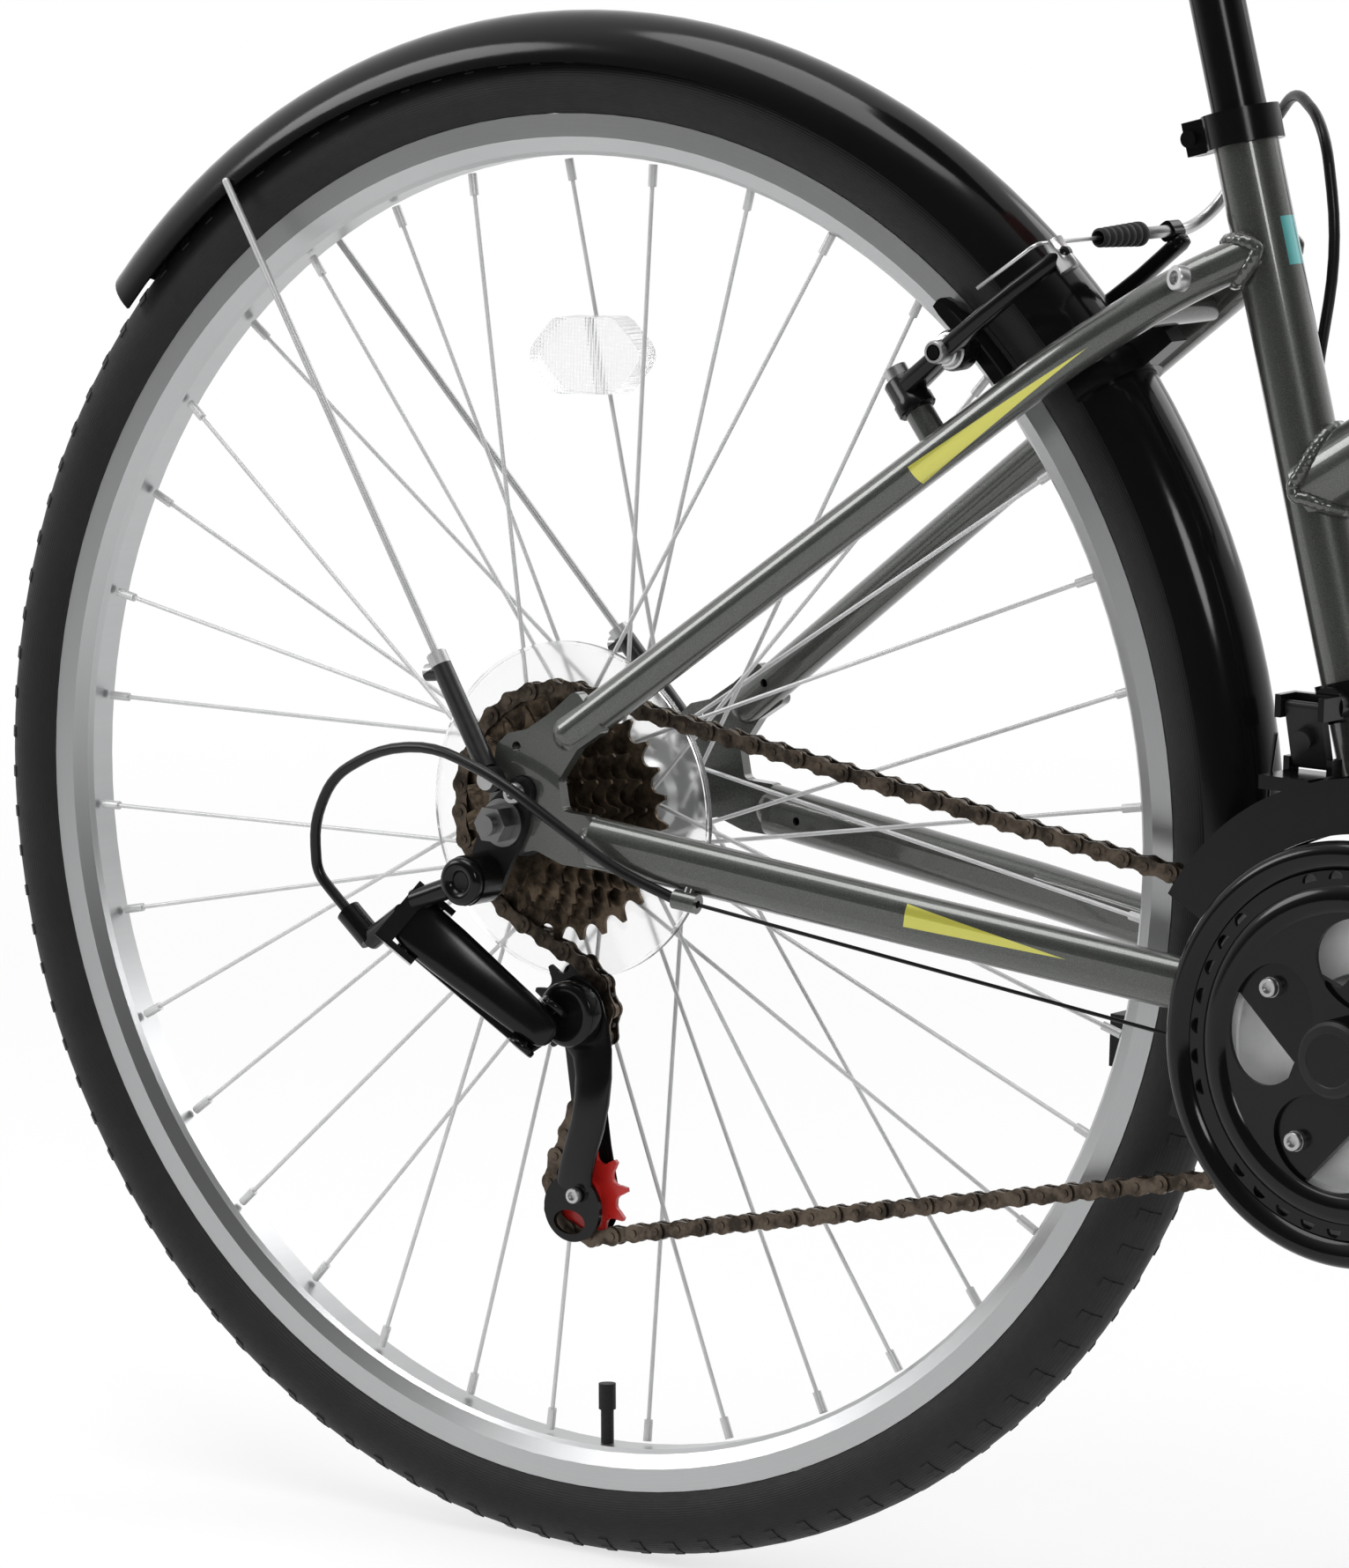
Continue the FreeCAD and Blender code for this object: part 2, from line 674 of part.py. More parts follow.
def link(start, start_r, end, end_r, axis, thickness):
    """Flat link with two round ends, centred on the plane of its points."""
    way = Vector(axis).normalize()
    along = end - start
    gap = along.Length
    if gap <= abs(start_r - end_r):
        centre = start if start_r > end_r else end
        return disc(centre, way, max(start_r, end_r), thickness)
    along = along * (1 / gap)
    across = way.cross(along)
    lean = (start_r - end_r) / gap
    rise = math.sqrt(1 - lean * lean)
    high = along * lean + across * rise
    low = along * lean - across * rise
    edges = [
        Part.LineSegment(start + high * start_r, end + high * end_r).toShape(),
        Part.Arc(end + high * end_r, end + along * end_r, end + low * end_r).toShape(),
        Part.LineSegment(end + low * end_r, start + low * start_r).toShape(),
        Part.Arc(start + low * start_r, start - along * start_r, start + high * start_r).toShape(),
    ]
    face = Part.Face(Part.Wire(edges))
    face.translate(way * (-thickness / 2))
    return face.extrude(way * thickness)


def strap(stations, axis, thickness):
    """Chain of links through stations of point and radius, as one plate."""
    pieces = []
    for (point, radius), (next_point, next_radius) in zip(stations, stations[1:]):
        pieces.append(link(point, radius, next_point, next_radius, axis, thickness))
    return fused(pieces)


def turned(centre, corners):
    """Solid turned about a sideways axis, from corners of radius and place along Y."""
    points = [Vector(radius, along, 0) for radius, along in corners]
    face = Part.Face(Part.makePolygon(points + points[:1]))
    solid = face.revolve(ORIGIN, LEFT, 360)
    solid.translate(centre)
    return solid


def racetrack(centre, way, side, half_side, half_other):
    """Flat-sided oval wire round a centre, square to a direction and taller than it is wide."""
    normal = Vector(way).normalize()
    across = Vector(side) - normal * normal.dot(side)
    across.normalize()
    other = normal.cross(across)
    high = centre + other * (half_other - half_side)
    low = centre - other * (half_other - half_side)
    flank = across * half_side
    crest = other * half_side
    rising = (across + other) * (half_side * math.sqrt(0.5))
    falling = (other - across) * (half_side * math.sqrt(0.5))
    edges = [
        Part.LineSegment(low + flank, high + flank).toShape(),
        Part.Arc(high + flank, high + rising, high + crest).toShape(),
        Part.Arc(high + crest, high + falling, high - flank).toShape(),
        Part.LineSegment(high - flank, low - flank).toShape(),
        Part.Arc(low - flank, low - rising, low - crest).toShape(),
        Part.Arc(low - crest, low - falling, low + flank).toShape(),
    ]
    return Part.Wire(edges)


def flat_tube(points, half_side, half_other, side):
    """Flat-sided tube form through a few points."""
    wires = []
    for k, point in enumerate(points):
        before = points[max(k - 1, 0)]
        after = points[min(k + 1, len(points) - 1)]
        wires.append(racetrack(point, after - before, side, half_side, half_other))
    return Part.makeLoft(wires, True, True)


def block(centre, along, across, up, long, wide, tall):
    """Box set square to three directions, with its middle at the centre."""
    base = centre - along * (long / 2) - across * (wide / 2) - up * (tall / 2)
    corners = [base, base + along * long, base + along * long + across * wide, base + across * wide]
    return Part.Face(Part.makePolygon(corners + corners[:1])).extrude(up * tall)


def save(name, solids):
    """Write one node, as separate solids."""
    pieces = []
    for shape in solids:
        pieces.extend(shape.Solids)
    shape = pieces[0] if len(pieces) == 1 else Part.makeCompound(pieces)
    shape.exportStep("parts/" + name + ".step")
    volume = sum(piece.Volume for piece in pieces)
    bad = sum(1 for piece in pieces if not piece.isValid())
    print(name, len(pieces), "solids", round(volume / 1000, 1), "cm3", "BAD %d" % bad if bad else "")


# Wheels

def tyre(centre):
    """Clincher tyre as a hollow ring that sits on the rim's flanges."""
    foot = RIM_R + SEAT_GAP
    half = RIM_WIDTH / 2 - SEAT_GAP
    inner_half = half - TYRE_WALL
    crown = TYRE_R - TYRE_TREAD
    edges = [
        Part.Arc(Vector(foot, -half, 0), Vector(TYRE_R, 0, 0), Vector(foot, half, 0)).toShape(),
        Part.LineSegment(Vector(foot, half, 0), Vector(foot, inner_half, 0)).toShape(),
        Part.Arc(Vector(foot, inner_half, 0), Vector(crown, 0, 0), Vector(foot, -inner_half, 0)).toShape(),
        Part.LineSegment(Vector(foot, -inner_half, 0), Vector(foot, -half, 0)).toShape(),
    ]
    solid = Part.Face(Part.Wire(edges)).revolve(ORIGIN, LEFT, 360)
    solid.translate(centre)
    return solid


def rim(centre):
    """Alloy rim with flat braking tracks and a channel for the tyre."""
    half = RIM_WIDTH / 2
    base_half = RIM_BASE_WIDTH / 2
    inner = RIM_R - RIM_DEPTH
    right = [
        (RIM_R, half), (RIM_R - RIM_TRACK, half), (inner + RIM_CHAMFER, base_half + RIM_CHAMFER),
        (inner, base_half),
    ]
    left = [(radius, -along) for radius, along in reversed(right)]
    channel = half - RIM_WALL
    well = RIM_R - RIM_WELL
    return turned(centre, right + left + [(RIM_R, -channel), (well, -channel), (well, channel), (RIM_R, channel)])


def spoke_places(flange_left, flange_right):
    """Hub end, rim end and flange side of every spoke, about a wheel centre at the origin."""
    places = []
    half_count = SPOKE_COUNT // 2
    reach = RIM_R - RIM_DEPTH
    for k in range(SPOKE_COUNT):
        on_left = k % 2
        pair = k // 2
        outer = pair % 2
        side = 1 if on_left else -1
        flange = flange_left if on_left else flange_right
        rim_deg = SPOKE_PHASE_DEG + 360 * k / SPOKE_COUNT
        hub_deg = rim_deg + (1 if outer else -1) * 360 * SPOKE_CROSSES / half_count
        standoff = HUB_FLANGE_THICK / 2 + SPOKE_D / 2 + SEAT_GAP
        offset = standoff + SPOKE_LEAN if outer else -standoff
        hub_end = polar(HUB_HOLE_R, hub_deg) + LEFT * (side * (flange + offset))
        rim_end = polar(reach, rim_deg) + LEFT * (side * SPOKE_SPLAY)
        face = polar(HUB_HOLE_R, hub_deg)
        face += LEFT * (side * (flange + (HUB_FLANGE_THICK / 2) * (1 if outer else -1)))
        places.append((hub_end, rim_end, face))
    return places


def spokes(centre, flange_left, flange_right):
    """Crossed spokes with elbows at the hub and nipples at the rim."""
    solids = []
    for hub_end, rim_end, face in spoke_places(flange_left, flange_right):
        way = (rim_end - hub_end).normalize()
        elbow = rod(face, hub_end, SPOKE_D / 2)
        ball = Part.makeSphere(SPOKE_D / 2, hub_end)
        wire = rod(hub_end, rim_end - way * NIPPLE_LENGTH, SPOKE_D / 2)
        nipple = rod(rim_end - way * NIPPLE_LENGTH, rim_end - way * (NIPPLE_D / 2), NIPPLE_D / 2)
        solid = fused([elbow, ball, wire, nipple])
        solid.translate(centre)
        solids.append(solid)
    return solids


def hub(centre, flange_left, flange_right, shell_left, shell_right, axle_d):
    """Hub shell with two drilled-style flanges and end caps, bored for its axle."""
    half = HUB_FLANGE_THICK / 2
    hole = axle_d / 2 + RUN_GAP
    corners = [
        (hole, -shell_right), (HUB_CAP_R, -shell_right), (HUB_CAP_R, -flange_right - half),
        (HUB_FLANGE_R, -flange_right - half), (HUB_FLANGE_R, -flange_right + half),
        (HUB_CAP_R, -flange_right + half), (HUB_BODY_R, -flange_right + half + HUB_FLANGE_THICK),
        (HUB_BODY_R, flange_left - half - HUB_FLANGE_THICK), (HUB_CAP_R, flange_left - half),
        (HUB_FLANGE_R, flange_left - half), (HUB_FLANGE_R, flange_left + half),
        (HUB_CAP_R, flange_left + half), (HUB_CAP_R, shell_left), (hole, shell_left),
    ]
    return turned(centre, corners)


def valve(centre):
    """Valve stem through the rim, with its cap."""
    inward = polar(1, VALVE_DEG)
    base = centre + inward * (RIM_R - RIM_DEPTH)
    neck = base - inward * VALVE_LENGTH
    stem = rod(base, neck, VALVE_D / 2)
    cap = rod(neck, neck - inward * VALVE_CAP_LENGTH, VALVE_CAP_D / 2)
    return [stem, cap]


def wheel_reflector():
    """Clear side reflector that sits between the spokes of the rear wheel."""
    out = polar(1, REFLECTOR_DEG)
    along = out.cross(LEFT)
    centre = REAR + out * REFLECTOR_R
    half_long = REFLECTOR_LENGTH / 2
    half_tall = REFLECTOR_HEIGHT / 2
    inset = half_long - REFLECTOR_END
    corners = [
        centre + along * half_long, centre + along * inset + out * half_tall,
        centre - along * inset + out * half_tall, centre - along * half_long,
        centre - along * inset - out * half_tall, centre + along * inset - out * half_tall,
    ]
    corners = [corner + LEFT * REFLECTOR_LOW_Y for corner in corners]
    return slab(corners, LEFT * (REFLECTOR_HIGH_Y - REFLECTOR_LOW_Y), REFLECTOR_END / 2)


# Chain drive

def pitch_radius(teeth):
    """Radius of the circle that the chain's rollers sit on."""
    return CHAIN_PITCH / (2 * math.sin(math.pi / teeth))


def toothed_disc(teeth, phase, centre, thickness):
    """Toothed plate about a sideways axis; the phase is the angle of one roller seat, in radians."""
    pitch_r = pitch_radius(teeth)
    tip_r = pitch_r + TOOTH_TIP_RISE
    step = 2 * math.pi / teeth
    lean = math.radians(TOOTH_SEAT_DEG)
    tip_half = TOOTH_TIP_WIDTH / 2 / tip_r

    def seat_point(angle, turn):
        out = polar(1, math.degrees(angle))
        side = polar(1, math.degrees(angle) + 90)
        return out * (pitch_r - TOOTH_SEAT_R * math.cos(turn)) + side * (TOOTH_SEAT_R * math.sin(turn))

    edges = []
    for k in range(teeth):
        angle = phase + step * k
        low, middle, high = [seat_point(angle, turn) for turn in (-lean, 0, lean)]
        tip = math.degrees(angle + step / 2)
        spread = math.degrees(tip_half)
        tip_start = polar(tip_r, tip - spread)
        tip_end = polar(tip_r, tip + spread)
        next_low = seat_point(angle + step, -lean)
        edges.append(Part.Arc(low, middle, high).toShape())
        edges.append(Part.LineSegment(high, tip_start).toShape())
        edges.append(Part.LineSegment(tip_start, tip_end).toShape())
        edges.append(Part.LineSegment(tip_end, next_low).toShape())
    face = Part.Face(Part.Wire(edges))
    face.translate(centre - LEFT * (thickness / 2))
    return face.extrude(LEFT * thickness)


def run_between(first, second):
    """Straight chain run that is tangent to two wheels of (centre, radius, turning sense)."""
    (start, start_r, start_turn), (end, end_r, end_turn) = first, second
    gap = end - start
    distance = math.hypot(gap.x, gap.z)
    offset = end_turn * end_r - start_turn * start_r
    angle = math.atan2(gap.z, gap.x) - math.asin(offset / distance)
    normal = angle - math.pi / 2
    length = math.sqrt(distance * distance - offset * offset)
    leave = normal if start_turn > 0 else normal + math.pi
    arrive = normal if end_turn > 0 else normal + math.pi
    return length, leave, arrive


def cage_turned(point, angle):
    """Point of the derailleur cage after the cage swings about its pivot."""
    pivot = rear_point(P_PIVOT_X, 0, P_PIVOT_Z)
    arm = point - pivot
    cos, sin = math.cos(angle), math.sin(angle)
    return pivot + Vector(arm.x * cos - arm.z * sin, arm.y, arm.x * sin + arm.z * cos)


def chain_wheels(swing):
    """The four wheels that the chain runs round, in its order, with the cage swung by an angle."""
    guide = cage_turned(rear_point(GUIDE_X, 0, GUIDE_Z), swing)
    tension = cage_turned(rear_point(TENSION_X, 0, TENSION_Z), swing)
    return [
        (BB, RING_TEETH[0], 1, -RING_Y[0]),
        (REAR, COG_TEETH[0], 1, -FIRST_COG_Y),
        (guide, PULLEY_TEETH, -1, -PULLEY_Y),
        (tension, PULLEY_TEETH, 1, -PULLEY_Y),
    ]


def chain_path(swing):
    """Stretches of the chain in pitches: runs and wraps in turn, from the top of the chainring."""
    wheels = chain_wheels(swing)
    circles = [(centre, pitch_radius(teeth), sense) for centre, teeth, sense, y in wheels]
    runs = [run_between(circles[k], circles[(k + 1) % 4]) for k in range(4)]
    stretches = []
    for k in range(4):
        length, leave, arrive = runs[k]
        centre, teeth, sense, y = wheels[(k + 1) % 4]
        next_leave = runs[(k + 1) % 4][1]
        sweep = (sense * (next_leave - arrive)) % (2 * math.pi)
        start = wheels[k][0] + polar(pitch_radius(wheels[k][1]), math.degrees(leave)) + LEFT * wheels[k][3]
        end = centre + polar(pitch_radius(teeth), math.degrees(arrive)) + LEFT * y
        stretches.append(("run", (end - start).Length / CHAIN_PITCH, start, end))
        stretches.append(("wrap", sweep * teeth / (2 * math.pi), (centre, teeth, sense, y), arrive))
    return stretches


def chain_total(swing):
    """Chain length in pitches."""
    return sum(stretch[1] for stretch in chain_path(swing))


def settled_swing():
    """Cage angle at which the chain is a whole, even number of pitches long."""
    wanted = 2 * round(chain_total(0) / 2)
    high = math.radians(CAGE_SEARCH_DEG)
    low = -high
    rising = chain_total(high) > chain_total(low)
    for _ in range(CAGE_SEARCH_STEPS):
        middle = (low + high) / 2
        if (chain_total(middle) < wanted) == rising:
            low = middle
        else:
            high = middle
    return (low + high) / 2


CAGE_SWING = settled_swing()
CHAIN_LINKS = round(chain_total(CAGE_SWING))
GUIDE = chain_wheels(CAGE_SWING)[2][0]
TENSION = chain_wheels(CAGE_SWING)[3][0]
RING_PHASE = run_between(
    (BB, pitch_radius(RING_TEETH[0]), 1), (REAR, pitch_radius(COG_TEETH[0]), 1))[1]


def chain_point(place):
    """Place of a roller, counted in pitches from the top of the chainring."""
    for kind, length, first, second in chain_path(CAGE_SWING):
        if place <= length + 1e-9:
            if kind == "run":
                return first + (second - first) * (place / length)
            centre, teeth, sense, y = first
            angle = second + sense * place * 2 * math.pi / teeth
            return centre + polar(pitch_radius(teeth), math.degrees(angle)) + LEFT * y
        place -= length
    return chain_point(0)


def seat_phase(wheel_index):
    """Angle of a roller on one wheel, so that its tooth gaps meet the chain."""
    place = 0.0
    for k, (kind, length, first, second) in enumerate(chain_path(CAGE_SWING)):
        if kind == "wrap" and (k // 2 + 1) % 4 == wheel_index:
            centre, teeth, sense, y = first
            return second + sense * (math.ceil(place) - place) * 2 * math.pi / teeth
        place += length
    return 0.0


def chain_link_form(inner):
    """One chain link along X from the origin: two plates, with rollers between inner plates."""
    half = CHAIN_INNER_WIDTH / 2
    near = half if inner else half + CHAIN_PLATE + PLATE_GAP
    end = FORWARD * CHAIN_PITCH
    pieces = []
    for side in (-1, 1):
        middle = LEFT * (side * (near + CHAIN_PLATE / 2))
        pieces.append(link(middle, CHAIN_PLATE_R, end + middle, CHAIN_PLATE_R, LEFT, CHAIN_PLATE))
    if inner:
        for place in (ORIGIN, end):
            pieces.append(rod(place - LEFT * half, place + LEFT * half, ROLLER_R))
        return [fused(pieces)]
    return pieces


def chain():
    """Roller chain: inner and outer links in turn round the engaged wheels."""
    forms = [chain_link_form(True), chain_link_form(False)]
    solids = []
    for k in range(CHAIN_LINKS):
        here = chain_point(k)
        ahead = chain_point((k + 1) % CHAIN_LINKS)
        along = (ahead - here).normalize()
        side = (LEFT - along * along.dot(LEFT)).normalize()
        up = along.cross(side)
        matrix = FreeCAD.Matrix(
            along.x, side.x, up.x, here.x, along.y, side.y, up.y, here.y, along.z, side.z, up.z, here.z)
        for form in forms[k % 2]:
            solids.append(form.transformed(matrix, True))
    return solids


def sprockets():
    """Seven sprockets on one freewheel carrier."""
    depth = FIRST_COG_Y + COG_PITCH * (len(COG_TEETH) - 1) + COG_THICK / 2
    pieces = [pipe(REAR - LEFT * (FIRST_COG_Y - COG_THICK / 2), REAR - LEFT * depth,
                   COG_CARRIER_R, FREEWHEEL_BODY_R + RUN_GAP)]
    for k, teeth in enumerate(COG_TEETH):
        place = REAR - LEFT * (FIRST_COG_Y + COG_PITCH * k)
        phase = seat_phase(1) if k == 0 else 0.0
        cog = toothed_disc(teeth, phase, place, COG_THICK)
        pieces.append(cog.cut(bore(place - LEFT * COG_THICK, place + LEFT * COG_THICK,
                                   COG_CARRIER_R - SEAT_GAP)))
    return fused(pieces)


def rear_hub():
    """Rear hub shell with the freewheel's fixed body on its drive side."""
    shell_right = REAR_FLANGE_RIGHT + HUB_FLANGE_THICK
    shell = hub(REAR, REAR_FLANGE_LEFT, REAR_FLANGE_RIGHT, REAR_FLANGE_LEFT + HUB_CAP_LENGTH,
                shell_right, REAR_AXLE_D)
    depth = FIRST_COG_Y + COG_PITCH * (len(COG_TEETH) - 1) + COG_THICK / 2
    body = pipe(REAR - LEFT * (shell_right - HUB_FLANGE_THICK / 2), REAR - LEFT * depth,
                FREEWHEEL_BODY_R, REAR_AXLE_D / 2 + RUN_GAP)
    return fused([shell, body])


def spoke_protector():
    """Clear disc between the largest sprocket and the spokes, with a lip at its edge."""
    inner = FREEWHEEL_BODY_R + SEAT_GAP
    half = PROTECTOR_THICK / 2
    return turned(REAR, [
        (inner, -PROTECTOR_Y - half), (PROTECTOR_R, -PROTECTOR_Y - half),
        (PROTECTOR_R, -PROTECTOR_Y - half - PROTECTOR_LIP),
        (PROTECTOR_R + PROTECTOR_THICK, -PROTECTOR_Y - half - PROTECTOR_LIP),
        (PROTECTOR_R + PROTECTOR_THICK, -PROTECTOR_Y + half), (inner, -PROTECTOR_Y + half),
    ])


def pulley(centre, phase):
    """Jockey wheel with its bushed hub."""
    place = centre - LEFT * PULLEY_Y
    plate = toothed_disc(PULLEY_TEETH, phase, place, PULLEY_THICK)
    body = disc(place, LEFT, PULLEY_HUB_R, PULLEY_HUB_WIDE)
    hole = bore(place - LEFT * PULLEY_HUB_WIDE, place + LEFT * PULLEY_HUB_WIDE, PULLEY_BORE / 2)
    return fused([plate, body]).cut(hole)


# Crankset

def chainrings():
    """Three chainrings and the posts that carry the smallest one."""
    solids = []
    for k, teeth in enumerate(RING_TEETH):
        place = BB - LEFT * RING_Y[k]
        phase = RING_PHASE if k == 0 else 0.0
        plate = toothed_disc(teeth, phase, place, RING_THICK)
        solids.append(plate.cut(bore(place - LEFT * RING_THICK, place + LEFT * RING_THICK, RING_INNER_R[k])))
    for k in range(SPIDER_ARMS):
        spot = BB + polar(RING_POST_R, SPIDER_DEG + 360 / SPIDER_ARMS * (k + 0.5))
        near = spot - LEFT * (RING_Y[0] + RING_THICK / 2)
        far = spot - LEFT * (RING_Y[1] - RING_THICK / 2)
        solids.append(rod(near, far, RING_POST_D / 2))
    return solids


def chainring_bolts():
    """Silver bolts through the spider, with the sleeves that space the middle ring."""
    inner = RING_Y[2] + RING_THICK / 2
    solids = []
    for k in range(SPIDER_ARMS):
        spot = BB + polar(RING_BOLT_R, SPIDER_DEG + 90 * k)
        sleeve_start = spot - LEFT * (RING_Y[1] + RING_THICK / 2)
        solids.append(rod(sleeve_start, spot - LEFT * inner, RING_BOLT_D / 2))
        face = spot - LEFT * (inner + SPIDER_THICK)
        solids.append(rod(face, face - LEFT * RING_BOLT_HEAD, RING_BOLT_D / 2))
    return solids


def chain_guard():
    """Guard ring outside the largest chainring, on four short posts."""
    middle = BB - LEFT * GUARD_RING_Y
    solid = ring(middle, LEFT, GUARD_RING_R, GUARD_RING_INNER_R, GUARD_RING_THICK)
    face = RING_Y[2] + RING_THICK / 2
    for k in range(SPIDER_ARMS):
        spot = BB + polar(GUARD_TAB_R, GUARD_TAB_DEG + 90 * k)
        edge = BB + polar(GUARD_RING_INNER_R + GUARD_TAB_D / 2, GUARD_TAB_DEG + 90 * k)
        lift = LEFT * -GUARD_RING_Y
        tab = link(spot + lift, GUARD_TAB_D / 2, edge + lift, GUARD_TAB_D / 2, LEFT, GUARD_RING_THICK)
        post = rod(spot - LEFT * face, spot - LEFT * GUARD_RING_Y, GUARD_TAB_D / 2)
        solid = solid.fuse(tab).fuse(post)
    return solid.removeSplitter()


def crank_arm(side, degrees):
    """Arm from the bottom bracket's axle to the pedal's eye; side is +1 on the left."""
    out = polar(1, degrees)
    across = out.cross(LEFT)
    face = CRANK_FACE_Y if side < 0 else LEFT_CRANK_Y + (CRANK_FACE_Y - CRANK_BOSS_Y) / 2
    middle = face - ARM_THICK / 2
    stations = [(0.0, 0.0, ARM_WIDE), (0.5, ARM_FLARE_SHARE, ARM_WAIST), (1.0, 1.0, ARM_WIDE)]
    wires = []
    for share, flare_share, wide in stations:
        centre = BB + out * (CRANK_LENGTH * share) + LEFT * (side * (middle + ARM_FLARE * flare_share))
        corners = []
        for u, v in ((-1, -1), (1, -1), (1, 1), (-1, 1)):
            corners.append(centre + across * (u * wide / 2) + LEFT * (v * ARM_THICK / 2))
        wires.append(Part.Wire(rounded_edges(corners, corner_radii(corners, True, ARM_THICK / 3), True)))
    arm = Part.makeLoft(wires, True, False)
    eye_out = side * (face + ARM_FLARE)
    eye = rod(BB + out * CRANK_LENGTH + LEFT * (eye_out - side * ARM_THICK),
              BB + out * CRANK_LENGTH + LEFT * eye_out, PEDAL_EYE_R)
    boss_in = CRANK_BOSS_Y if side < 0 else LEFT_CRANK_Y
    boss = rod(BB + LEFT * (side * boss_in), BB + LEFT * (side * face), CRANK_EYE_R)
    cap = rod(BB + LEFT * (side * face), BB + LEFT * (side * (face + CRANK_CAP)), CRANK_CAP_R)
    return [arm, eye, boss, cap]


def pedal_eye(side):
    """Middle of the outer face of a crank's pedal eye."""
    degrees = CRANK_DEG if side < 0 else CRANK_DEG + 180
    face = CRANK_FACE_Y if side < 0 else LEFT_CRANK_Y + (CRANK_FACE_Y - CRANK_BOSS_Y) / 2
    return BB + polar(CRANK_LENGTH, degrees) + LEFT * (side * (face + ARM_FLARE))


def spindle_hole(side):
    """Cut in a crank for the bottom bracket's axle."""
    length = SPINDLE_LENGTH_RIGHT if side < 0 else SPINDLE_LENGTH_LEFT
    return rod(BB, BB + LEFT * (side * length), SPINDLE_D / 2)


def pedal_axle(side):
    """Steel axle that the pedal turns on, screwed into its crank."""
    start = pedal_eye(side)
    return rod(start, start + LEFT * (side * (PEDAL_GAP + PEDAL_WIDTH - PEDAL_BAR)), PEDAL_AXLE_D / 2)


def right_crank():
    """Right arm with its four-armed spider."""
    pieces = crank_arm(-1, CRANK_DEG)
    plane = BB - LEFT * (RING_Y[2] + RING_THICK / 2 + SPIDER_THICK / 2)
    pieces.append(disc(plane, LEFT, SPIDER_HUB_R, SPIDER_THICK))
    for k in range(SPIDER_ARMS):
        tip = plane + polar(SPIDER_TIP_R, SPIDER_DEG + 90 * k)
        pieces.append(link(plane, SPIDER_HUB_R, tip, SPIDER_TIP_ROUND, LEFT, SPIDER_THICK))
    return [fused(pieces).cut(spindle_hole(-1)), pedal_axle(-1)]


def left_crank():
    """Left arm, opposite the right one."""
    return [fused(crank_arm(1, CRANK_DEG + 180)).cut(spindle_hole(1)), pedal_axle(1)]


def crank_axle():
    """Axle of the bottom bracket."""
    return rod(BB - LEFT * SPINDLE_LENGTH_RIGHT, BB + LEFT * SPINDLE_LENGTH_LEFT, SPINDLE_D / 2)


def bottom_bracket():
    """Two cups in the bottom bracket's shell, with bearing bores."""
    solids = []
    half = BB_SHELL_WIDTH / 2
    for side in (-1, 1):
        inner = BB + LEFT * (side * (half - BB_CUP_DEPTH))
        face = BB + LEFT * (side * half)
        lip = BB + LEFT * (side * (half + BB_CUP_FLANGE))
        body = rod(inner, lip, BB_BORE / 2 - SEAT_GAP / 2)
        flange = rod(face, lip, BB_SHELL_D / 2 - SEAT_GAP)
        solids.append(body.fuse(flange).removeSplitter().cut(bore(inner, lip, SPINDLE_D / 2 + RUN_GAP)))
    return solids


def pedal(side):
    """Platform pedal: barrel, two treads, end plates and a reflector at each end."""
    start = pedal_eye(side) + LEFT * (side * PEDAL_GAP)
    middle = start + LEFT * (side * PEDAL_WIDTH / 2)
    way = LEFT * side
    barrel = rod(start, start + way * PEDAL_WIDTH, PEDAL_BARREL_D / 2)
    pieces = [barrel]
    for end in (-1, 1):
        offset = FORWARD * (end * (PEDAL_LENGTH - PEDAL_BAR) / 2)
        pieces.append(block(middle + offset, FORWARD, LEFT, UP, PEDAL_BAR, PEDAL_WIDTH, PEDAL_THICK))
        edge = LEFT * (end * (PEDAL_WIDTH - PEDAL_BAR) / 2)
        pieces.append(block(middle + edge, FORWARD, LEFT, UP, PEDAL_LENGTH, PEDAL_BAR,
                            PEDAL_THICK - PEDAL_BAR / 2))
    for share in (-0.5, 0.5):
        rib = middle + FORWARD * (PEDAL_LENGTH / 2 * share)
        pieces.append(block(rib, FORWARD, LEFT, UP, PEDAL_BAR / 2, PEDAL_WIDTH, PEDAL_THICK - PEDAL_BAR / 2))
    body = fused(pieces)
    hole = rod(start - way * OVERRUN, start + way * (PEDAL_WIDTH - PEDAL_BAR + RUN_GAP),
               PEDAL_AXLE_D / 2 + RUN_GAP)
    return body.cut(hole)


# Frame

DOWN_TOP = HEAD_LOW + STEER_DIR * DOWN_TUBE_UP
TOP_FRONT = HEAD_HIGH - STEER_DIR * TOP_TUBE_DROP
TOP_BACK = BB + SEAT_DIR * TOP_TUBE_SEAT_UP
DOWN_DIR = (DOWN_TOP - BB).normalize()
DOWN_UP = DOWN_DIR.cross(LEFT)
TOP_DIR = (TOP_FRONT - TOP_BACK).normalize()
SEAT_BORE_R = SEATPOST_D / 2 + SEAT_GAP


def bottle_boss_places():
    """Middle of each bottle boss's outer face, on top of the down tube."""
    places = []
    for share in BOTTLE_BOSS_SHARES:
        foot = BB + (DOWN_TOP - BB) * share
        places.append(foot + DOWN_UP * (DOWN_TUBE_D / 2 + BOTTLE_BOSS_RISE))
    return places


def down_stop_places():
    """Cable stops on both flanks of the down tube, near the head tube."""
    spot = DOWN_TOP - DOWN_DIR * DOWN_STOP_BACK - DOWN_UP * DOWN_STOP_LOW
    reach = DOWN_TUBE_D / 2 + DOWN_STOP_OUT
    return [spot + LEFT * reach, spot - LEFT * reach]


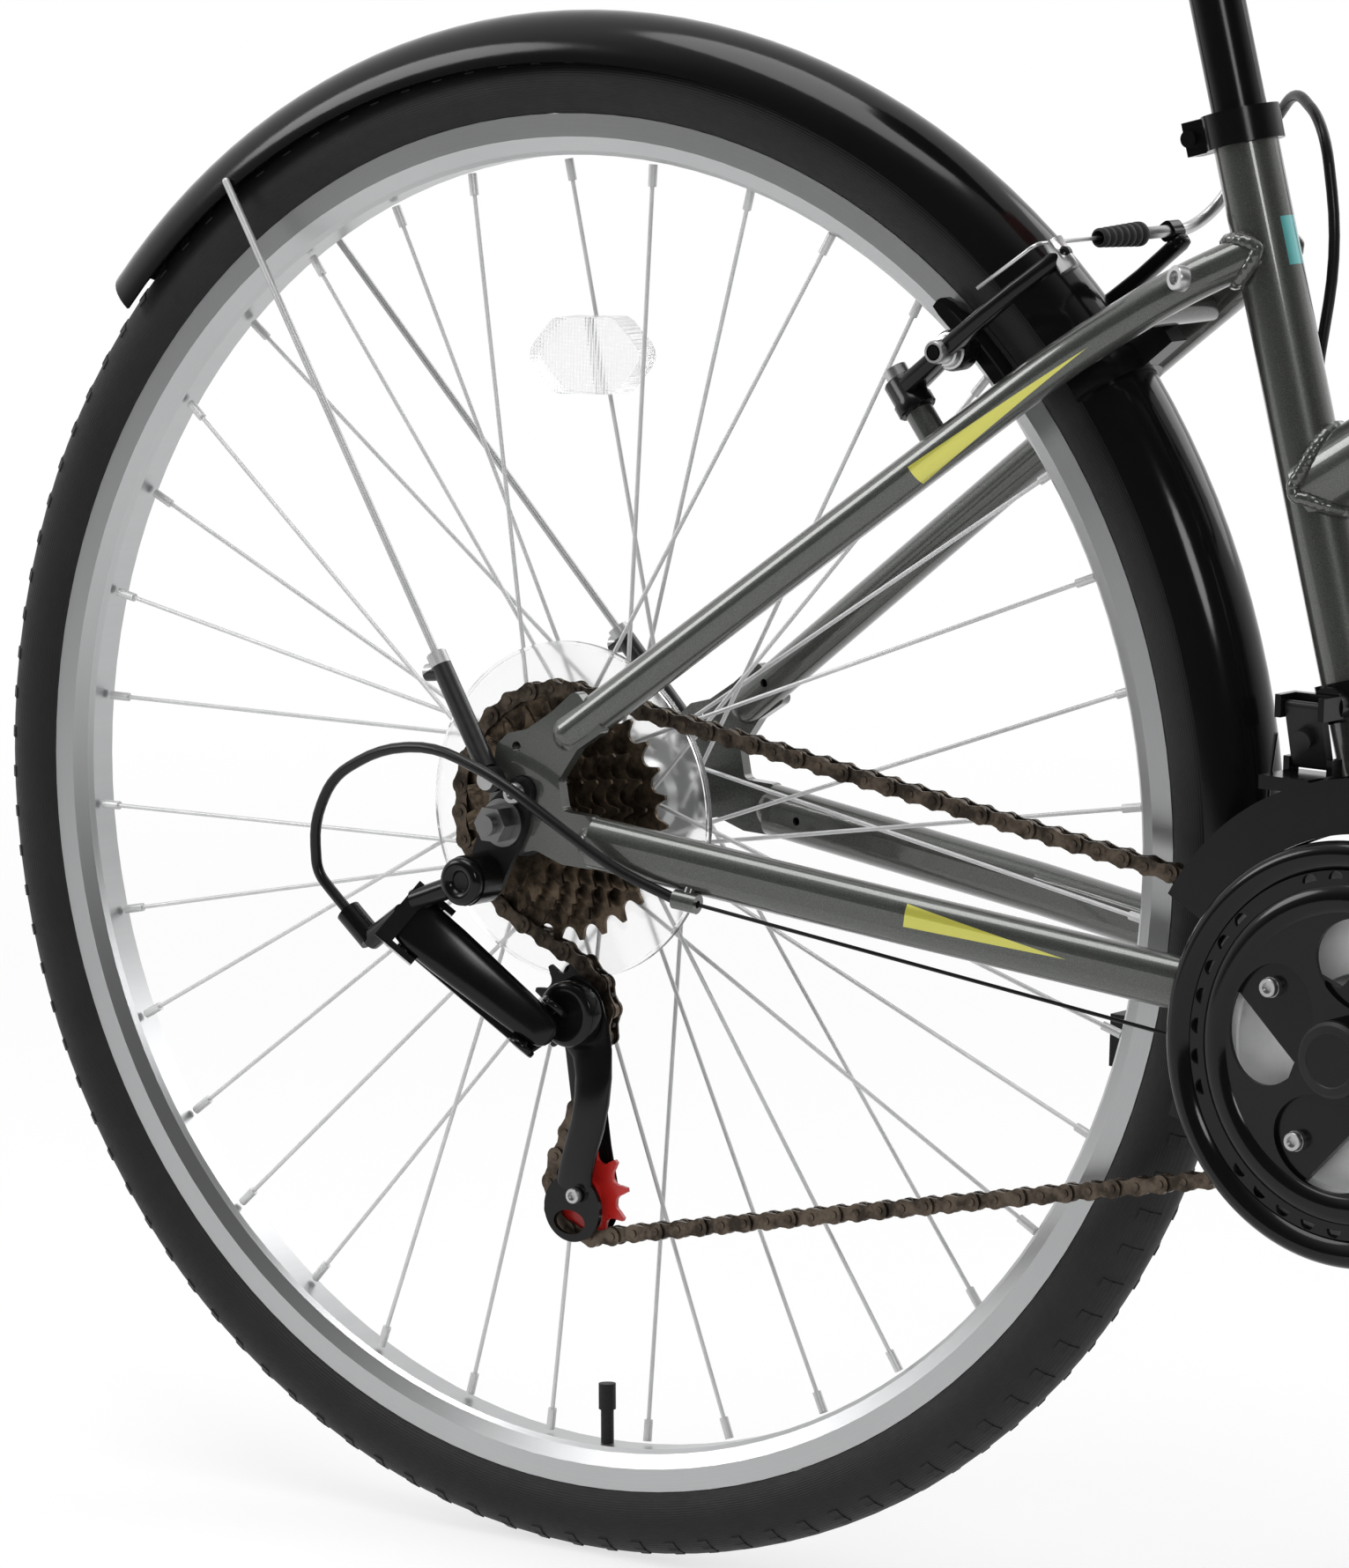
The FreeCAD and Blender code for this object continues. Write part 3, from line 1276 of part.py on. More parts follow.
def top_stop_place():
    """Guide for the rear brake housing, on the left flank of the top tube near the head tube."""
    return TOP_FRONT - TOP_DIR * TOP_STOP_BACK + LEFT * (TOP_TUBE_D / 2 + TOP_STOP_OUT)


def top_back_stop_place():
    """Guide for the rear brake housing near the seat tube."""
    return TOP_BACK + TOP_DIR * TOP_STOP_FRONT + LEFT * (TOP_TUBE_D / 2 + TOP_STOP_OUT)


def cable_stop(middle, way):
    """Short socket that holds the end of a cable housing."""
    half = way * (CABLE_STOP_LENGTH / 2)
    return rod(middle - half, middle + half, CABLE_STOP_D / 2)


def main_frame():
    """Welded front triangle of hollow tubes, with bosses and cable stops."""
    half = LEFT * (BB_SHELL_WIDTH / 2)
    tubes = [
        (BB, SEAT_TOP, SEAT_TUBE_D / 2, SEAT_BORE_R),
        (HEAD_LOW, HEAD_HIGH, HEAD_TUBE_D / 2, HEAD_TUBE_BORE / 2),
        (BB, DOWN_TOP, DOWN_TUBE_D / 2, DOWN_TUBE_D / 2 - TUBE_WALL),
        (TOP_BACK, TOP_FRONT, TOP_TUBE_D / 2, TOP_TUBE_D / 2 - TUBE_WALL),
        (BB - half, BB + half, BB_SHELL_D / 2, BB_BORE / 2),
    ]
    pieces = [rod(start, end, outer) for start, end, outer, inner in tubes]
    for top in bottle_boss_places():
        pieces.append(rod(top - DOWN_UP * (BOTTLE_BOSS_RISE + TUBE_WALL * 2), top, BOTTLE_BOSS_D / 2))
    for place in down_stop_places():
        pieces.append(cable_stop(place, DOWN_DIR))
    pieces.append(cable_stop(top_stop_place(), TOP_DIR))
    pieces.append(cable_stop(top_back_stop_place(), TOP_DIR))
    frame = fused(pieces)
    cuts = [rod(start, end, inner) for start, end, outer, inner in tubes]
    cuts.append(bore(BB - half, BB + half, BB_BORE / 2))
    cuts.append(bore(HEAD_LOW, HEAD_HIGH, HEAD_TUBE_BORE / 2))
    cuts.append(rod(BB, SEAT_TOP + SEAT_DIR * OVERRUN, SEAT_BORE_R))
    for top in bottle_boss_places():
        cuts.append(rod(top - DOWN_UP * (BOTTLE_BOSS_RISE + TUBE_WALL * 3), top + DOWN_UP * OVERRUN,
                        BOTTLE_BOLT_D / 2))
    for place in down_stop_places():
        cuts.append(bore(place, place + DOWN_DIR * CABLE_STOP_LENGTH, HOUSING_D / 2 + SEAT_GAP))
        cuts.append(bore(place - DOWN_DIR * CABLE_STOP_LENGTH, place, BRAKE_CABLE_D))
    for place in (top_stop_place(), top_back_stop_place()):
        half = TOP_DIR * CABLE_STOP_LENGTH
        cuts.append(bore(place - half, place + half, HOUSING_D / 2 + SEAT_GAP))
    for cut in cuts:
        frame = frame.cut(cut)
    return frame


STAY_LOW = rear_point(SEAT_STAY_LOW_X, -SEAT_STAY_LOW_Y, SEAT_STAY_LOW_Z)
STAY_MID = rear_point(SEAT_STAY_MID_X, -SEAT_STAY_MID_Y, SEAT_STAY_MID_Z)
STAY_HIGH = rear_point(SEAT_STAY_HIGH_X, -SEAT_STAY_HIGH_Y, SEAT_STAY_HIGH_Z)
STAY_END = BB + SEAT_DIR * SEAT_STAY_END_UP - LEFT * SEAT_STAY_END_Y
STAY_SLOPE = Vector(STAY_MID.x - STAY_LOW.x, 0, STAY_MID.z - STAY_LOW.z).normalize()
STAY_OUT = STAY_SLOPE.cross(LEFT)
BRAKE_RADIUS = RIM_R - RIM_TRACK / 2
ARM_PLANE = ARM_SLEEVE / 2 + ARM_BLADE_LIFT


def pivot_along(base, slope, axle):
    """Distance of a brake pivot along its stay, so that the pad meets the middle of the track."""
    gap = base - axle
    gap.y = 0
    down = gap.dot(slope)
    reach = -down + math.sqrt(down * down - gap.dot(gap) + BRAKE_RADIUS * BRAKE_RADIUS)
    return reach - PAD_ALONG


REAR_PIVOT_ALONG = pivot_along(STAY_LOW + STAY_OUT * (BRAKE_BOSS_REACH + ARM_PLANE), STAY_SLOPE, REAR)
REAR_PIVOT = STAY_LOW + STAY_SLOPE * REAR_PIVOT_ALONG
REAR_PIVOT.y = -BRAKE_BOSS_Y


def brake_boss(foot, out, reach):
    """Brake boss with the post that the arm turns on."""
    boss = rod(foot, foot + out * reach, BRAKE_BOSS_D / 2)
    post = rod(foot, foot + out * (reach + ARM_SLEEVE + SEAT_GAP), PIVOT_POST_D / 2)
    return boss.fuse(post).removeSplitter()


def dropout(side):
    """Forged rear dropout with its axle slot, eyelets and shallow pockets."""
    inner = side * REAR_SPACING / 2
    outer = side * (REAR_SPACING / 2 + DROPOUT_THICK)
    corners = [REAR + Vector(x * DROPOUT_SPAN, inner, z * DROPOUT_SPAN) for x, z in DROPOUT_OUTLINE_SHARES]
    plate = slab(corners, LEFT * (outer - inner), DROPOUT_ROUND)
    slot_end = polar(DROPOUT_SPAN, SLOT_DEG)
    slot = link(REAR + LEFT * inner, DROPOUT_SLOT / 2, REAR + slot_end + LEFT * inner, DROPOUT_SLOT / 2,
                LEFT, DROPOUT_THICK * 4)
    plate = plate.cut(slot)
    for x, z in ((RACK_EYELET_X, RACK_EYELET_Z), (GUARD_EYELET_X, GUARD_EYELET_Z)):
        spot = rear_point(x, inner, z)
        plate = plate.cut(bore(spot, spot + LEFT * (outer - inner), EYELET_HOLE_D / 2))
    face = rear_point(CLAW_BOLT_X, outer, CLAW_BOLT_Z)
    plate = plate.cut(rod(face - LEFT * (side * POCKET_DEPTH), face + LEFT * (side * OVERRUN), POCKET_D / 2))
    return plate


def rear_triangle():
    """Seat stays, chain stays, bridges, brake bosses and dropouts, welded to the front triangle."""
    seat_points = [STAY_LOW, STAY_MID, STAY_HIGH, STAY_END]
    chain_points = [
        rear_point(CHAIN_STAY_BACK_X, -CHAIN_STAY_BACK_Y, CHAIN_STAY_BACK_Z),
        rear_point(CHAIN_STAY_MID_X, -CHAIN_STAY_MID_Y, CHAIN_STAY_MID_Z),
        rear_point(CHAIN_STAY_FRONT_X, -CHAIN_STAY_FRONT_Y, CHAIN_STAY_FRONT_Z),
        BB - LEFT * CHAIN_STAY_END_Y,
    ]
    seat_stay = bent(seat_points, SEAT_STAY_D / 2)
    half_wide = CHAIN_STAY_WIDE / 2
    half_tall = CHAIN_STAY_TALL / 2
    chain_stay = flat_tube(chain_points, half_wide, half_tall, LEFT)
    nose = Part.makeSphere(half_wide, chain_points[0])
    knob = Part.makeSphere(SEAT_STAY_D / 2, STAY_LOW)
    side = fused([seat_stay, knob, dropout(-1), chain_stay, nose, brake_boss(REAR_PIVOT, STAY_OUT, BRAKE_BOSS_REACH)])
    start = STAY_LOW + (STAY_MID - STAY_LOW).normalize() * STAY_CAP
    side = side.cut(bent([start] + seat_points[1:], SEAT_STAY_D / 2 - SEAT_STAY_WALL))
    chain_start = chain_points[0] + (chain_points[1] - chain_points[0]).normalize() * STAY_CAP
    side = side.cut(flat_tube([chain_start] + chain_points[1:], half_wide - CHAIN_STAY_WALL,
                              half_tall - CHAIN_STAY_WALL, LEFT))
    vent = start + (STAY_MID - STAY_LOW).normalize() * STAY_CAP
    side = side.cut(rod(vent, vent + LEFT * SEAT_STAY_D, STAY_VENT_D / 2))
    vent = chain_start + (chain_points[1] - chain_points[0]).normalize() * STAY_CAP
    side = side.cut(rod(vent, vent + LEFT * CHAIN_STAY_WIDE, STAY_VENT_D / 2))
    seat_bridge = rear_point(SEAT_BRIDGE_X, 0, SEAT_BRIDGE_Z)
    chain_bridge = rear_point(CHAIN_BRIDGE_X, 0, CHAIN_STAY_FRONT_Z)
    bridges = [
        rod(seat_bridge - LEFT * SEAT_STAY_HIGH_Y, seat_bridge + LEFT * SEAT_STAY_HIGH_Y, BRIDGE_D / 2),
        rod(chain_bridge - LEFT * CHAIN_BRIDGE_HALF, chain_bridge + LEFT * CHAIN_BRIDGE_HALF, BRIDGE_D / 2),
    ]
    stop = rear_point(CHAIN_STOP_X, -CHAIN_STOP_Y, CHAIN_STOP_Z)
    along = (chain_points[1] - chain_points[0]).normalize()
    root = chain_points[0] + along * along.dot(stop - chain_points[0])
    lug = rod(stop, root + (stop - root) * 0.5, CHAIN_STOP_LUG_D / 2)
    whole = fused([side, mirrored(side), cable_stop(stop, along), lug] + bridges)
    half = LEFT * (BB_SHELL_WIDTH / 2)
    whole = whole.cut(rod(BB - half, BB + half, BB_SHELL_D / 2))
    whole = whole.cut(rod(BB, SEAT_TOP, SEAT_TUBE_D / 2))
    return whole.cut(bore(stop - along * CABLE_STOP_LENGTH, stop + along * CABLE_STOP_LENGTH, BRAKE_CABLE_D))


def seat_clamp():
    """Clamp collar round the top of the seat tube, with its bolt behind."""
    low = SEAT_TOP - SEAT_DIR * (CLAMP_HEIGHT - SEAT_GAP)
    high = SEAT_TOP + SEAT_DIR * SEAT_GAP
    middle = (low + high) * 0.5
    back = SEAT_DIR.cross(LEFT)
    collar = rod(low, high, CLAMP_D / 2)
    ear = block(middle + back * (CLAMP_D / 2 + CLAMP_EAR / 3), back, LEFT, SEAT_DIR, CLAMP_EAR,
                CLAMP_EAR_WIDE, CLAMP_HEIGHT)
    body = collar.fuse(ear).removeSplitter()
    body = body.cut(bore(low, high, SEAT_TUBE_D / 2 + SEAT_GAP / 2))
    slit = block(middle + back * CLAMP_D, back, LEFT, SEAT_DIR, CLAMP_D * CLAMP_SLIT_SHARE, CLAMP_SLIT, CLAMP_HEIGHT * 2)
    body = body.cut(slit)
    spot = middle + back * (CLAMP_D / 2 + CLAMP_EAR / 2)
    hole = bore(spot - LEFT * CLAMP_EAR_WIDE, spot + LEFT * CLAMP_EAR_WIDE, CLAMP_BOLT_D / 2)
    half = LEFT * (CLAMP_EAR_WIDE / 2)
    head = LEFT * (CLAMP_BOLT_D / 2)
    bolt = rod(spot - half - head, spot + half + head, CLAMP_BOLT_D / 2 - SEAT_GAP)
    cap = rod(spot - half - head, spot - half, CLAMP_BOLT_D / 2 + SEAT_GAP * 4)
    return [body.cut(hole), bolt.fuse(cap).removeSplitter()]


def headset():
    """Upper and lower bearing cups."""
    solids = []
    for start, way in ((HEAD_LOW, -1), (HEAD_HIGH, 1)):
        length = HEAD_CUP if way < 0 else HEADSET_CAP
        end = start + STEER_DIR * (way * (length - RUN_GAP))
        solids.append(pipe(start, end, HEAD_TUBE_D / 2 + TUBE_WALL, STEERER_D / 2 + RUN_GAP))
    return solids


def rear_axle():
    """Solid axle with locknuts inside the dropouts and flanged nuts outside."""
    inner = REAR_SPACING / 2
    outer = inner + DROPOUT_THICK
    right_face = outer + HANGER_THICK
    solids = []
    tail = NUT_HEIGHT + NUT_FLANGE + AXLE_TAIL
    axle = rod(REAR - LEFT * (right_face + tail), REAR + LEFT * (outer + tail), REAR_AXLE_D / 2 - SEAT_GAP)
    solids.append(axle)
    cog_end = FIRST_COG_Y + COG_PITCH * (len(COG_TEETH) - 1) + COG_THICK / 2
    spans = [(-inner, -cog_end - RUN_GAP * 2), (REAR_FLANGE_LEFT + HUB_CAP_LENGTH + RUN_GAP, inner)]
    for low, high in spans:
        solids.append(pipe(REAR + LEFT * low, REAR + LEFT * high, LOCKNUT_R, REAR_AXLE_D / 2 - SEAT_GAP))
    for side, face in ((-1, right_face), (1, outer)):
        way = LEFT * side
        start = REAR + way * face
        flange = disc(start + way * (NUT_FLANGE / 2), LEFT, NUT_FLANGE_R, NUT_FLANGE)
        nut = flange.fuse(hexagon(start + way * NUT_FLANGE, way, NUT_FLATS, NUT_HEIGHT)).removeSplitter()
        solids.append(nut.cut(rod(REAR, start + way * (tail * 2), REAR_AXLE_D / 2 - SEAT_GAP)))
    return solids


def guard_shell(centre, start_deg, end_deg):
    """Half-round mudguard blade over an arc of the wheel."""
    middle = GUARD_R - GUARD_HALF
    inner = GUARD_HALF - GUARD_THICK
    edges = [
        Part.Arc(Vector(middle, -GUARD_HALF, 0), Vector(GUARD_R, 0, 0), Vector(middle, GUARD_HALF, 0)).toShape(),
        Part.LineSegment(Vector(middle, GUARD_HALF, 0), Vector(middle, inner, 0)).toShape(),
        Part.Arc(Vector(middle, inner, 0), Vector(middle + inner, 0, 0), Vector(middle, -inner, 0)).toShape(),
        Part.LineSegment(Vector(middle, -inner, 0), Vector(middle, -GUARD_HALF, 0)).toShape(),
    ]
    face = Part.Face(Part.Wire(edges))
    face.rotate(ORIGIN, LEFT, -start_deg)
    solid = face.revolve(ORIGIN, LEFT, start_deg - end_deg)
    solid.translate(centre)
    return solid


def rear_mudguard():
    """Rear mudguard and the saddle bracket that hangs it from the stay bridge."""
    blade = guard_shell(REAR, REAR_GUARD_FRONT_DEG, REAR_GUARD_BACK_DEG)
    bridge = rear_point(SEAT_BRIDGE_X, 0, SEAT_BRIDGE_Z)
    out = (bridge - REAR)
    degrees = math.degrees(math.atan2(out.z, out.x))
    crest = REAR + polar(GUARD_R + SEAT_GAP, degrees)
    gap = out.Length - BRIDGE_D / 2 - GUARD_R - SEAT_GAP * 2
    way = polar(1, degrees)
    along = way.cross(LEFT)
    bracket = block(crest + way * (gap / 2), along, LEFT, way, GUARD_TAB_WIDE, GUARD_TAB_WIDE / 2, gap)
    saddle = guard_saddle(REAR, degrees)
    return [blade, bracket.cut(guard_form(REAR)).fuse(saddle).removeSplitter()]


def guard_form(centre):
    """Solid ring of the mudguard's outer surface, with a little clearance, to cut brackets with."""
    solid = Part.makeTorus(GUARD_R - GUARD_HALF, GUARD_HALF + SEAT_GAP, centre, LEFT)
    return solid


def guard_saddle(centre, degrees):
    """Curved strap that lies on the mudguard's outside."""
    middle = GUARD_R - GUARD_HALF
    inner = GUARD_HALF + SEAT_GAP
    outer = inner + GUARD_TAB_THICK
    edges = [
        Part.Arc(Vector(middle, -outer, 0), Vector(middle + outer, 0, 0), Vector(middle, outer, 0)).toShape(),
        Part.LineSegment(Vector(middle, outer, 0), Vector(middle, inner, 0)).toShape(),
        Part.Arc(Vector(middle, inner, 0), Vector(middle + inner, 0, 0), Vector(middle, -inner, 0)).toShape(),
        Part.LineSegment(Vector(middle, -inner, 0), Vector(middle, -outer, 0)).toShape(),
    ]
    half_turn = math.degrees(GUARD_TAB_WIDE / 2 / GUARD_R)
    face = Part.Face(Part.Wire(edges))
    face.rotate(ORIGIN, LEFT, -(degrees + half_turn))
    solid = face.revolve(ORIGIN, LEFT, half_turn * 2)
    solid.translate(centre)
    return solid


def guard_wires(axle, degrees, eyelet, with_sleeve):
    """Pair of wire stays from an eyelet beside the axle to the mudguard's edge."""
    edge = GUARD_R - GUARD_HALF
    solids = []
    top = axle + polar(edge + GUARD_WIRE_D, degrees) - LEFT * GUARD_WIRE_SPREAD
    way = (eyelet - top).normalize()
    foot = eyelet - way * ((GUARD_EYE_R + SMALL_BOLT_R) / 2)
    wire_end = foot - way * (SLEEVE_LENGTH - SLEEVE_D) if with_sleeve else foot
    eye = ring(eyelet, LEFT, GUARD_EYE_R, SMALL_BOLT_R / 2 + SEAT_GAP, GUARD_EYE_THICK)
    hole = bore(eyelet - LEFT * GUARD_EYE_THICK, eyelet + LEFT * GUARD_EYE_THICK, SMALL_BOLT_R / 2 + SEAT_GAP)
    wire = rod(top, wire_end, GUARD_WIRE_D / 2)
    hook = Part.makeSphere(GUARD_WIRE_D / 2, top)
    side = [fused([wire, hook])]
    if not with_sleeve:
        side = [fused([wire, hook, eye]).cut(hole)]
    if with_sleeve:
        sleeve_top = foot - way * SLEEVE_LENGTH
        sleeve = fused([rod(sleeve_top, foot, SLEEVE_D / 2), eye]).cut(hole)
        clip = sleeve_top + way * SLEEVE_D
        lug = rod(clip, clip + polar(1, degrees + SLEEVE_LUG_DEG) * SLEEVE_D, SLEEVE_CLIP_D / 2)
        sleeve = sleeve.fuse(lug).removeSplitter().cut(rod(top, wire_end, GUARD_WIRE_D / 2))
        side.append(sleeve)
    for piece in side:
        solids.append(piece)
        solids.append(mirrored(piece))
    return solids


def derailleur_hanger():
    """Claw plate on the right dropout that carries the rear derailleur."""
    plane = LEFT * -(REAR_SPACING / 2 + DROPOUT_THICK + HANGER_THICK / 2)
    claw = rear_point(CLAW_BOLT_X, 0, CLAW_BOLT_Z) + plane
    hook = rear_point(B_BOLT_X, 0, B_BOLT_Z) + plane
    stations = [(claw, CLAW_R), (REAR + plane, HANGER_R), (hook, B_BOLT_R - HANGER_THICK / 2)]
    plate = strap(stations, LEFT, HANGER_THICK)
    for spot, radius in ((claw, EYELET_HOLE_D / 2), (REAR + plane, REAR_AXLE_D / 2),
                         (hook, B_SHAFT_D / 2)):
        plate = plate.cut(bore(spot - LEFT * HANGER_THICK, spot + LEFT * HANGER_THICK, radius))
    return plate


def screw(face, way, shank, head_r, head):
    """Bolt with a round head, from its seat face outwards; the shank runs back from the face."""
    seat = face - way * shank
    return fused([rod(seat, face, head_r / 2), rod(face, face + way * head, head_r)])


def frame_bolts():
    """Small fixed bolts: hanger claw, mudguard eyelets and rear brake pivots."""
    solids = []
    outer = REAR_SPACING / 2 + DROPOUT_THICK
    claw = rear_point(CLAW_BOLT_X, -(outer + HANGER_THICK), CLAW_BOLT_Z)
    solids.append(screw(claw, RIGHT, HANGER_THICK, EYELET_HOLE_D / 2 - SEAT_GAP, SMALL_BOLT_HEAD))
    for side in (-1, 1):
        eyelet = guard_eyelet(side) + LEFT * (side * GUARD_EYE_THICK / 2)
        shank = GUARD_EYE_THICK + GUARD_EYE_OUT + DROPOUT_THICK
        solids.append(screw(eyelet, LEFT * side, shank, SMALL_BOLT_R, SMALL_BOLT_HEAD))
        face = Vector(REAR_PIVOT.x, side * BRAKE_BOSS_Y, REAR_PIVOT.z)
        face += STAY_OUT * (BRAKE_BOSS_REACH + ARM_SLEEVE + SEAT_GAP)
        solids.append(rod(face, face + STAY_OUT * PIVOT_BOLT_HEAD, PIVOT_BOLT_R))
    return solids


# Rear derailleur

LINK_TOP = rear_point(LINK_TOP_X, -LINK_TOP_Y, LINK_TOP_Z)
LINK_LOW = rear_point(LINK_LOW_X, -LINK_LOW_Y, LINK_LOW_Z)
LINK_LENGTH = (LINK_LOW - LINK_TOP).Length
LINK_DIR = (LINK_LOW - LINK_TOP).normalize()


def shift_travel():
    """Travel of the cage from the largest to the smallest sprocket: a chord of the links' arc."""
    square = SHIFT_OUT * SHIFT_OUT + SHIFT_UP * SHIFT_UP
    constant = SHIFT_UP * LINK_DIR.z - SHIFT_OUT * LINK_DIR.y + square / (2 * LINK_LENGTH)
    half = LINK_DIR.x * LINK_LENGTH
    return Vector(math.sqrt(half * half - 2 * LINK_LENGTH * constant) - half, -SHIFT_OUT, SHIFT_UP)


SHIFT = shift_travel()
LINK_AXIS = SHIFT.cross(LINK_DIR).normalize()
LINK_FACE = LINK_DIR.cross(LINK_AXIS)
INNER_LINK_OFFSET = LINK_FACE * -LINK_SPREAD - LINK_AXIS * INNER_LINK_DROP
YOKE_HALF = LINK_TOP_WIDE / 2 + RUN_GAP + YOKE_EAR


def outer_link():
    """Outer parallelogram link, tapered towards the cage."""
    bar = link(LINK_TOP, LINK_THICK / 2, LINK_LOW, LINK_THICK / 2, LINK_AXIS, LINK_TOP_WIDE)
    start = LINK_TOP - LINK_DIR * LINK_THICK - LINK_FACE * LINK_THICK
    end = LINK_LOW + LINK_DIR * LINK_THICK - LINK_FACE * LINK_THICK
    high = LINK_AXIS * (LINK_TOP_WIDE / 2)
    low = LINK_AXIS * (LINK_LOW_WIDE / 2)
    taper = slab([start + high, end + low, end - low, start - high], LINK_FACE * (LINK_THICK * 2), LINK_THICK / 2)
    pin = LINK_AXIS * YOKE_HALF
    return bar.common(taper).cut(bore(LINK_TOP - pin, LINK_TOP + pin, LINK_PIN_D / 2 + RUN_GAP))


def inner_link():
    """Inner parallelogram link, parallel to the outer one."""
    top = LINK_TOP + INNER_LINK_OFFSET
    low = LINK_LOW + INNER_LINK_OFFSET
    bar = link(top, LINK_THICK / 2, low, LINK_THICK / 2, LINK_AXIS, INNER_LINK_WIDE)
    pin = LINK_AXIS * YOKE_HALF
    return bar.cut(bore(top - pin, top + pin, LINK_PIN_D / 2 + RUN_GAP))


def derailleur_base():
    """Body on the hanger bolt, with the yoke, link pins and the cable's barrel adjuster."""
    bolt = rear_point(B_BOLT_X, 0, B_BOLT_Z)
    hanger = REAR_SPACING / 2 + DROPOUT_THICK
    shaft = rod(bolt - LEFT * hanger, bolt - LEFT * B_KNUCKLE_OUTER_Y, B_SHAFT_D / 2 - SEAT_GAP)
    body = rod(bolt - LEFT * B_KNUCKLE_INNER_Y, bolt - LEFT * B_KNUCKLE_OUTER_Y, B_BOLT_R)
    cap = rod(bolt - LEFT * B_KNUCKLE_OUTER_Y, bolt - LEFT * (B_KNUCKLE_OUTER_Y + B_CAP), B_CAP_R)
    back = LINK_THICK / 2 + LINK_END_GAP
    deep = LINK_SPREAD + LINK_THICK * LINK_SEAT_SHARE
    middle = LINK_TOP - LINK_FACE * (LINK_SPREAD / 2)
    yoke_middle = middle - LINK_DIR * (back + YOKE_THICK / 2)
    yoke = block(yoke_middle, LINK_DIR, LINK_AXIS, LINK_FACE, YOKE_THICK, YOKE_HALF * 2, deep)
    pieces = [shaft, body, cap, yoke]
    ear_long = back + YOKE_THICK + LINK_THICK
    for side in (-1, 1):
        ear = middle + LINK_AXIS * (side * (YOKE_HALF - YOKE_EAR / 2))
        ear += LINK_DIR * (LINK_THICK - ear_long / 2)
        pieces.append(block(ear, LINK_DIR, LINK_AXIS, LINK_FACE, ear_long, YOKE_EAR, deep))
    arm_end = yoke_middle + LINK_AXIS * (YOKE_HALF / 2) + LINK_FACE * (deep / 3)
    arm_start = bolt - LEFT * (B_KNUCKLE_OUTER_Y - YOKE_ARM_R)
    pieces.append(rod(arm_start, arm_end, YOKE_ARM_R))
    barrel = rear_point(BARREL_X, -BARREL_Y, BARREL_Z)
    pieces.append(rod(yoke_middle, barrel, BARREL_ARM_R))
    pieces.append(rod(barrel, barrel + barrel_way() * BARREL_LENGTH, BARREL_R))
    for place in (LINK_TOP, LINK_TOP + INNER_LINK_OFFSET):
        pieces.append(rod(place - LINK_AXIS * place_low(place), place + LINK_AXIS * place_high(place),
                          LINK_PIN_D / 2))
    base = fused(pieces)
    socket = barrel + barrel_way() * (BARREL_LENGTH / 2)
    return base.cut(rod(socket, socket + barrel_way() * BARREL_LENGTH, HOUSING_D / 2 + SEAT_GAP))


def place_low(place):
    """Reach of a link pin below its link's middle, to the yoke's lower ear."""
    return YOKE_HALF + (place - LINK_TOP).dot(LINK_AXIS)


def place_high(place):
    """Reach of a link pin above its link's middle, to the yoke's upper ear."""
    return YOKE_HALF - (place - LINK_TOP).dot(LINK_AXIS)


def barrel_way():
    """Direction in which the gear housing leaves the barrel adjuster."""
    return Vector(-BARREL_LEAN_X, 0, BARREL_LEAN_Z).normalize()


def cage_knuckle():
    """Spring housing at the lower end of the links, which carries the cage."""
    pivot = rear_point(P_PIVOT_X, 0, P_PIVOT_Z)
    drum = rod(pivot - LEFT * P_KNUCKLE_INNER_Y, pivot - LEFT * P_KNUCKLE_OUTER_Y, P_KNUCKLE_R)
    half = LINK_LOW_WIDE / 2 + OPEN_GAP + YOKE_EAR
    start = LINK_THICK / 2 + LINK_END_GAP
    wide = LINK_THICK * LINK_SEAT_SHARE
    heel = LINK_LOW + LINK_DIR * (start + LINK_THICK / 2)
    pieces = [drum, block(heel, LINK_DIR, LINK_AXIS, LINK_FACE, LINK_THICK, half * 2, wide)]
    ear_long = start + LINK_THICK + LINK_THICK / 2
    for side in (-1, 1):
        ear = LINK_LOW + LINK_AXIS * (side * (half - YOKE_EAR / 2))
        ear += LINK_DIR * (start + LINK_THICK - ear_long / 2)
        pieces.append(block(ear, LINK_DIR, LINK_AXIS, LINK_FACE, ear_long, YOKE_EAR, wide))
    knuckle = fused(pieces)
    trim = pivot - LEFT * P_KNUCKLE_INNER_Y
    return knuckle.cut(rod(trim, pivot, P_KNUCKLE_R * 2))


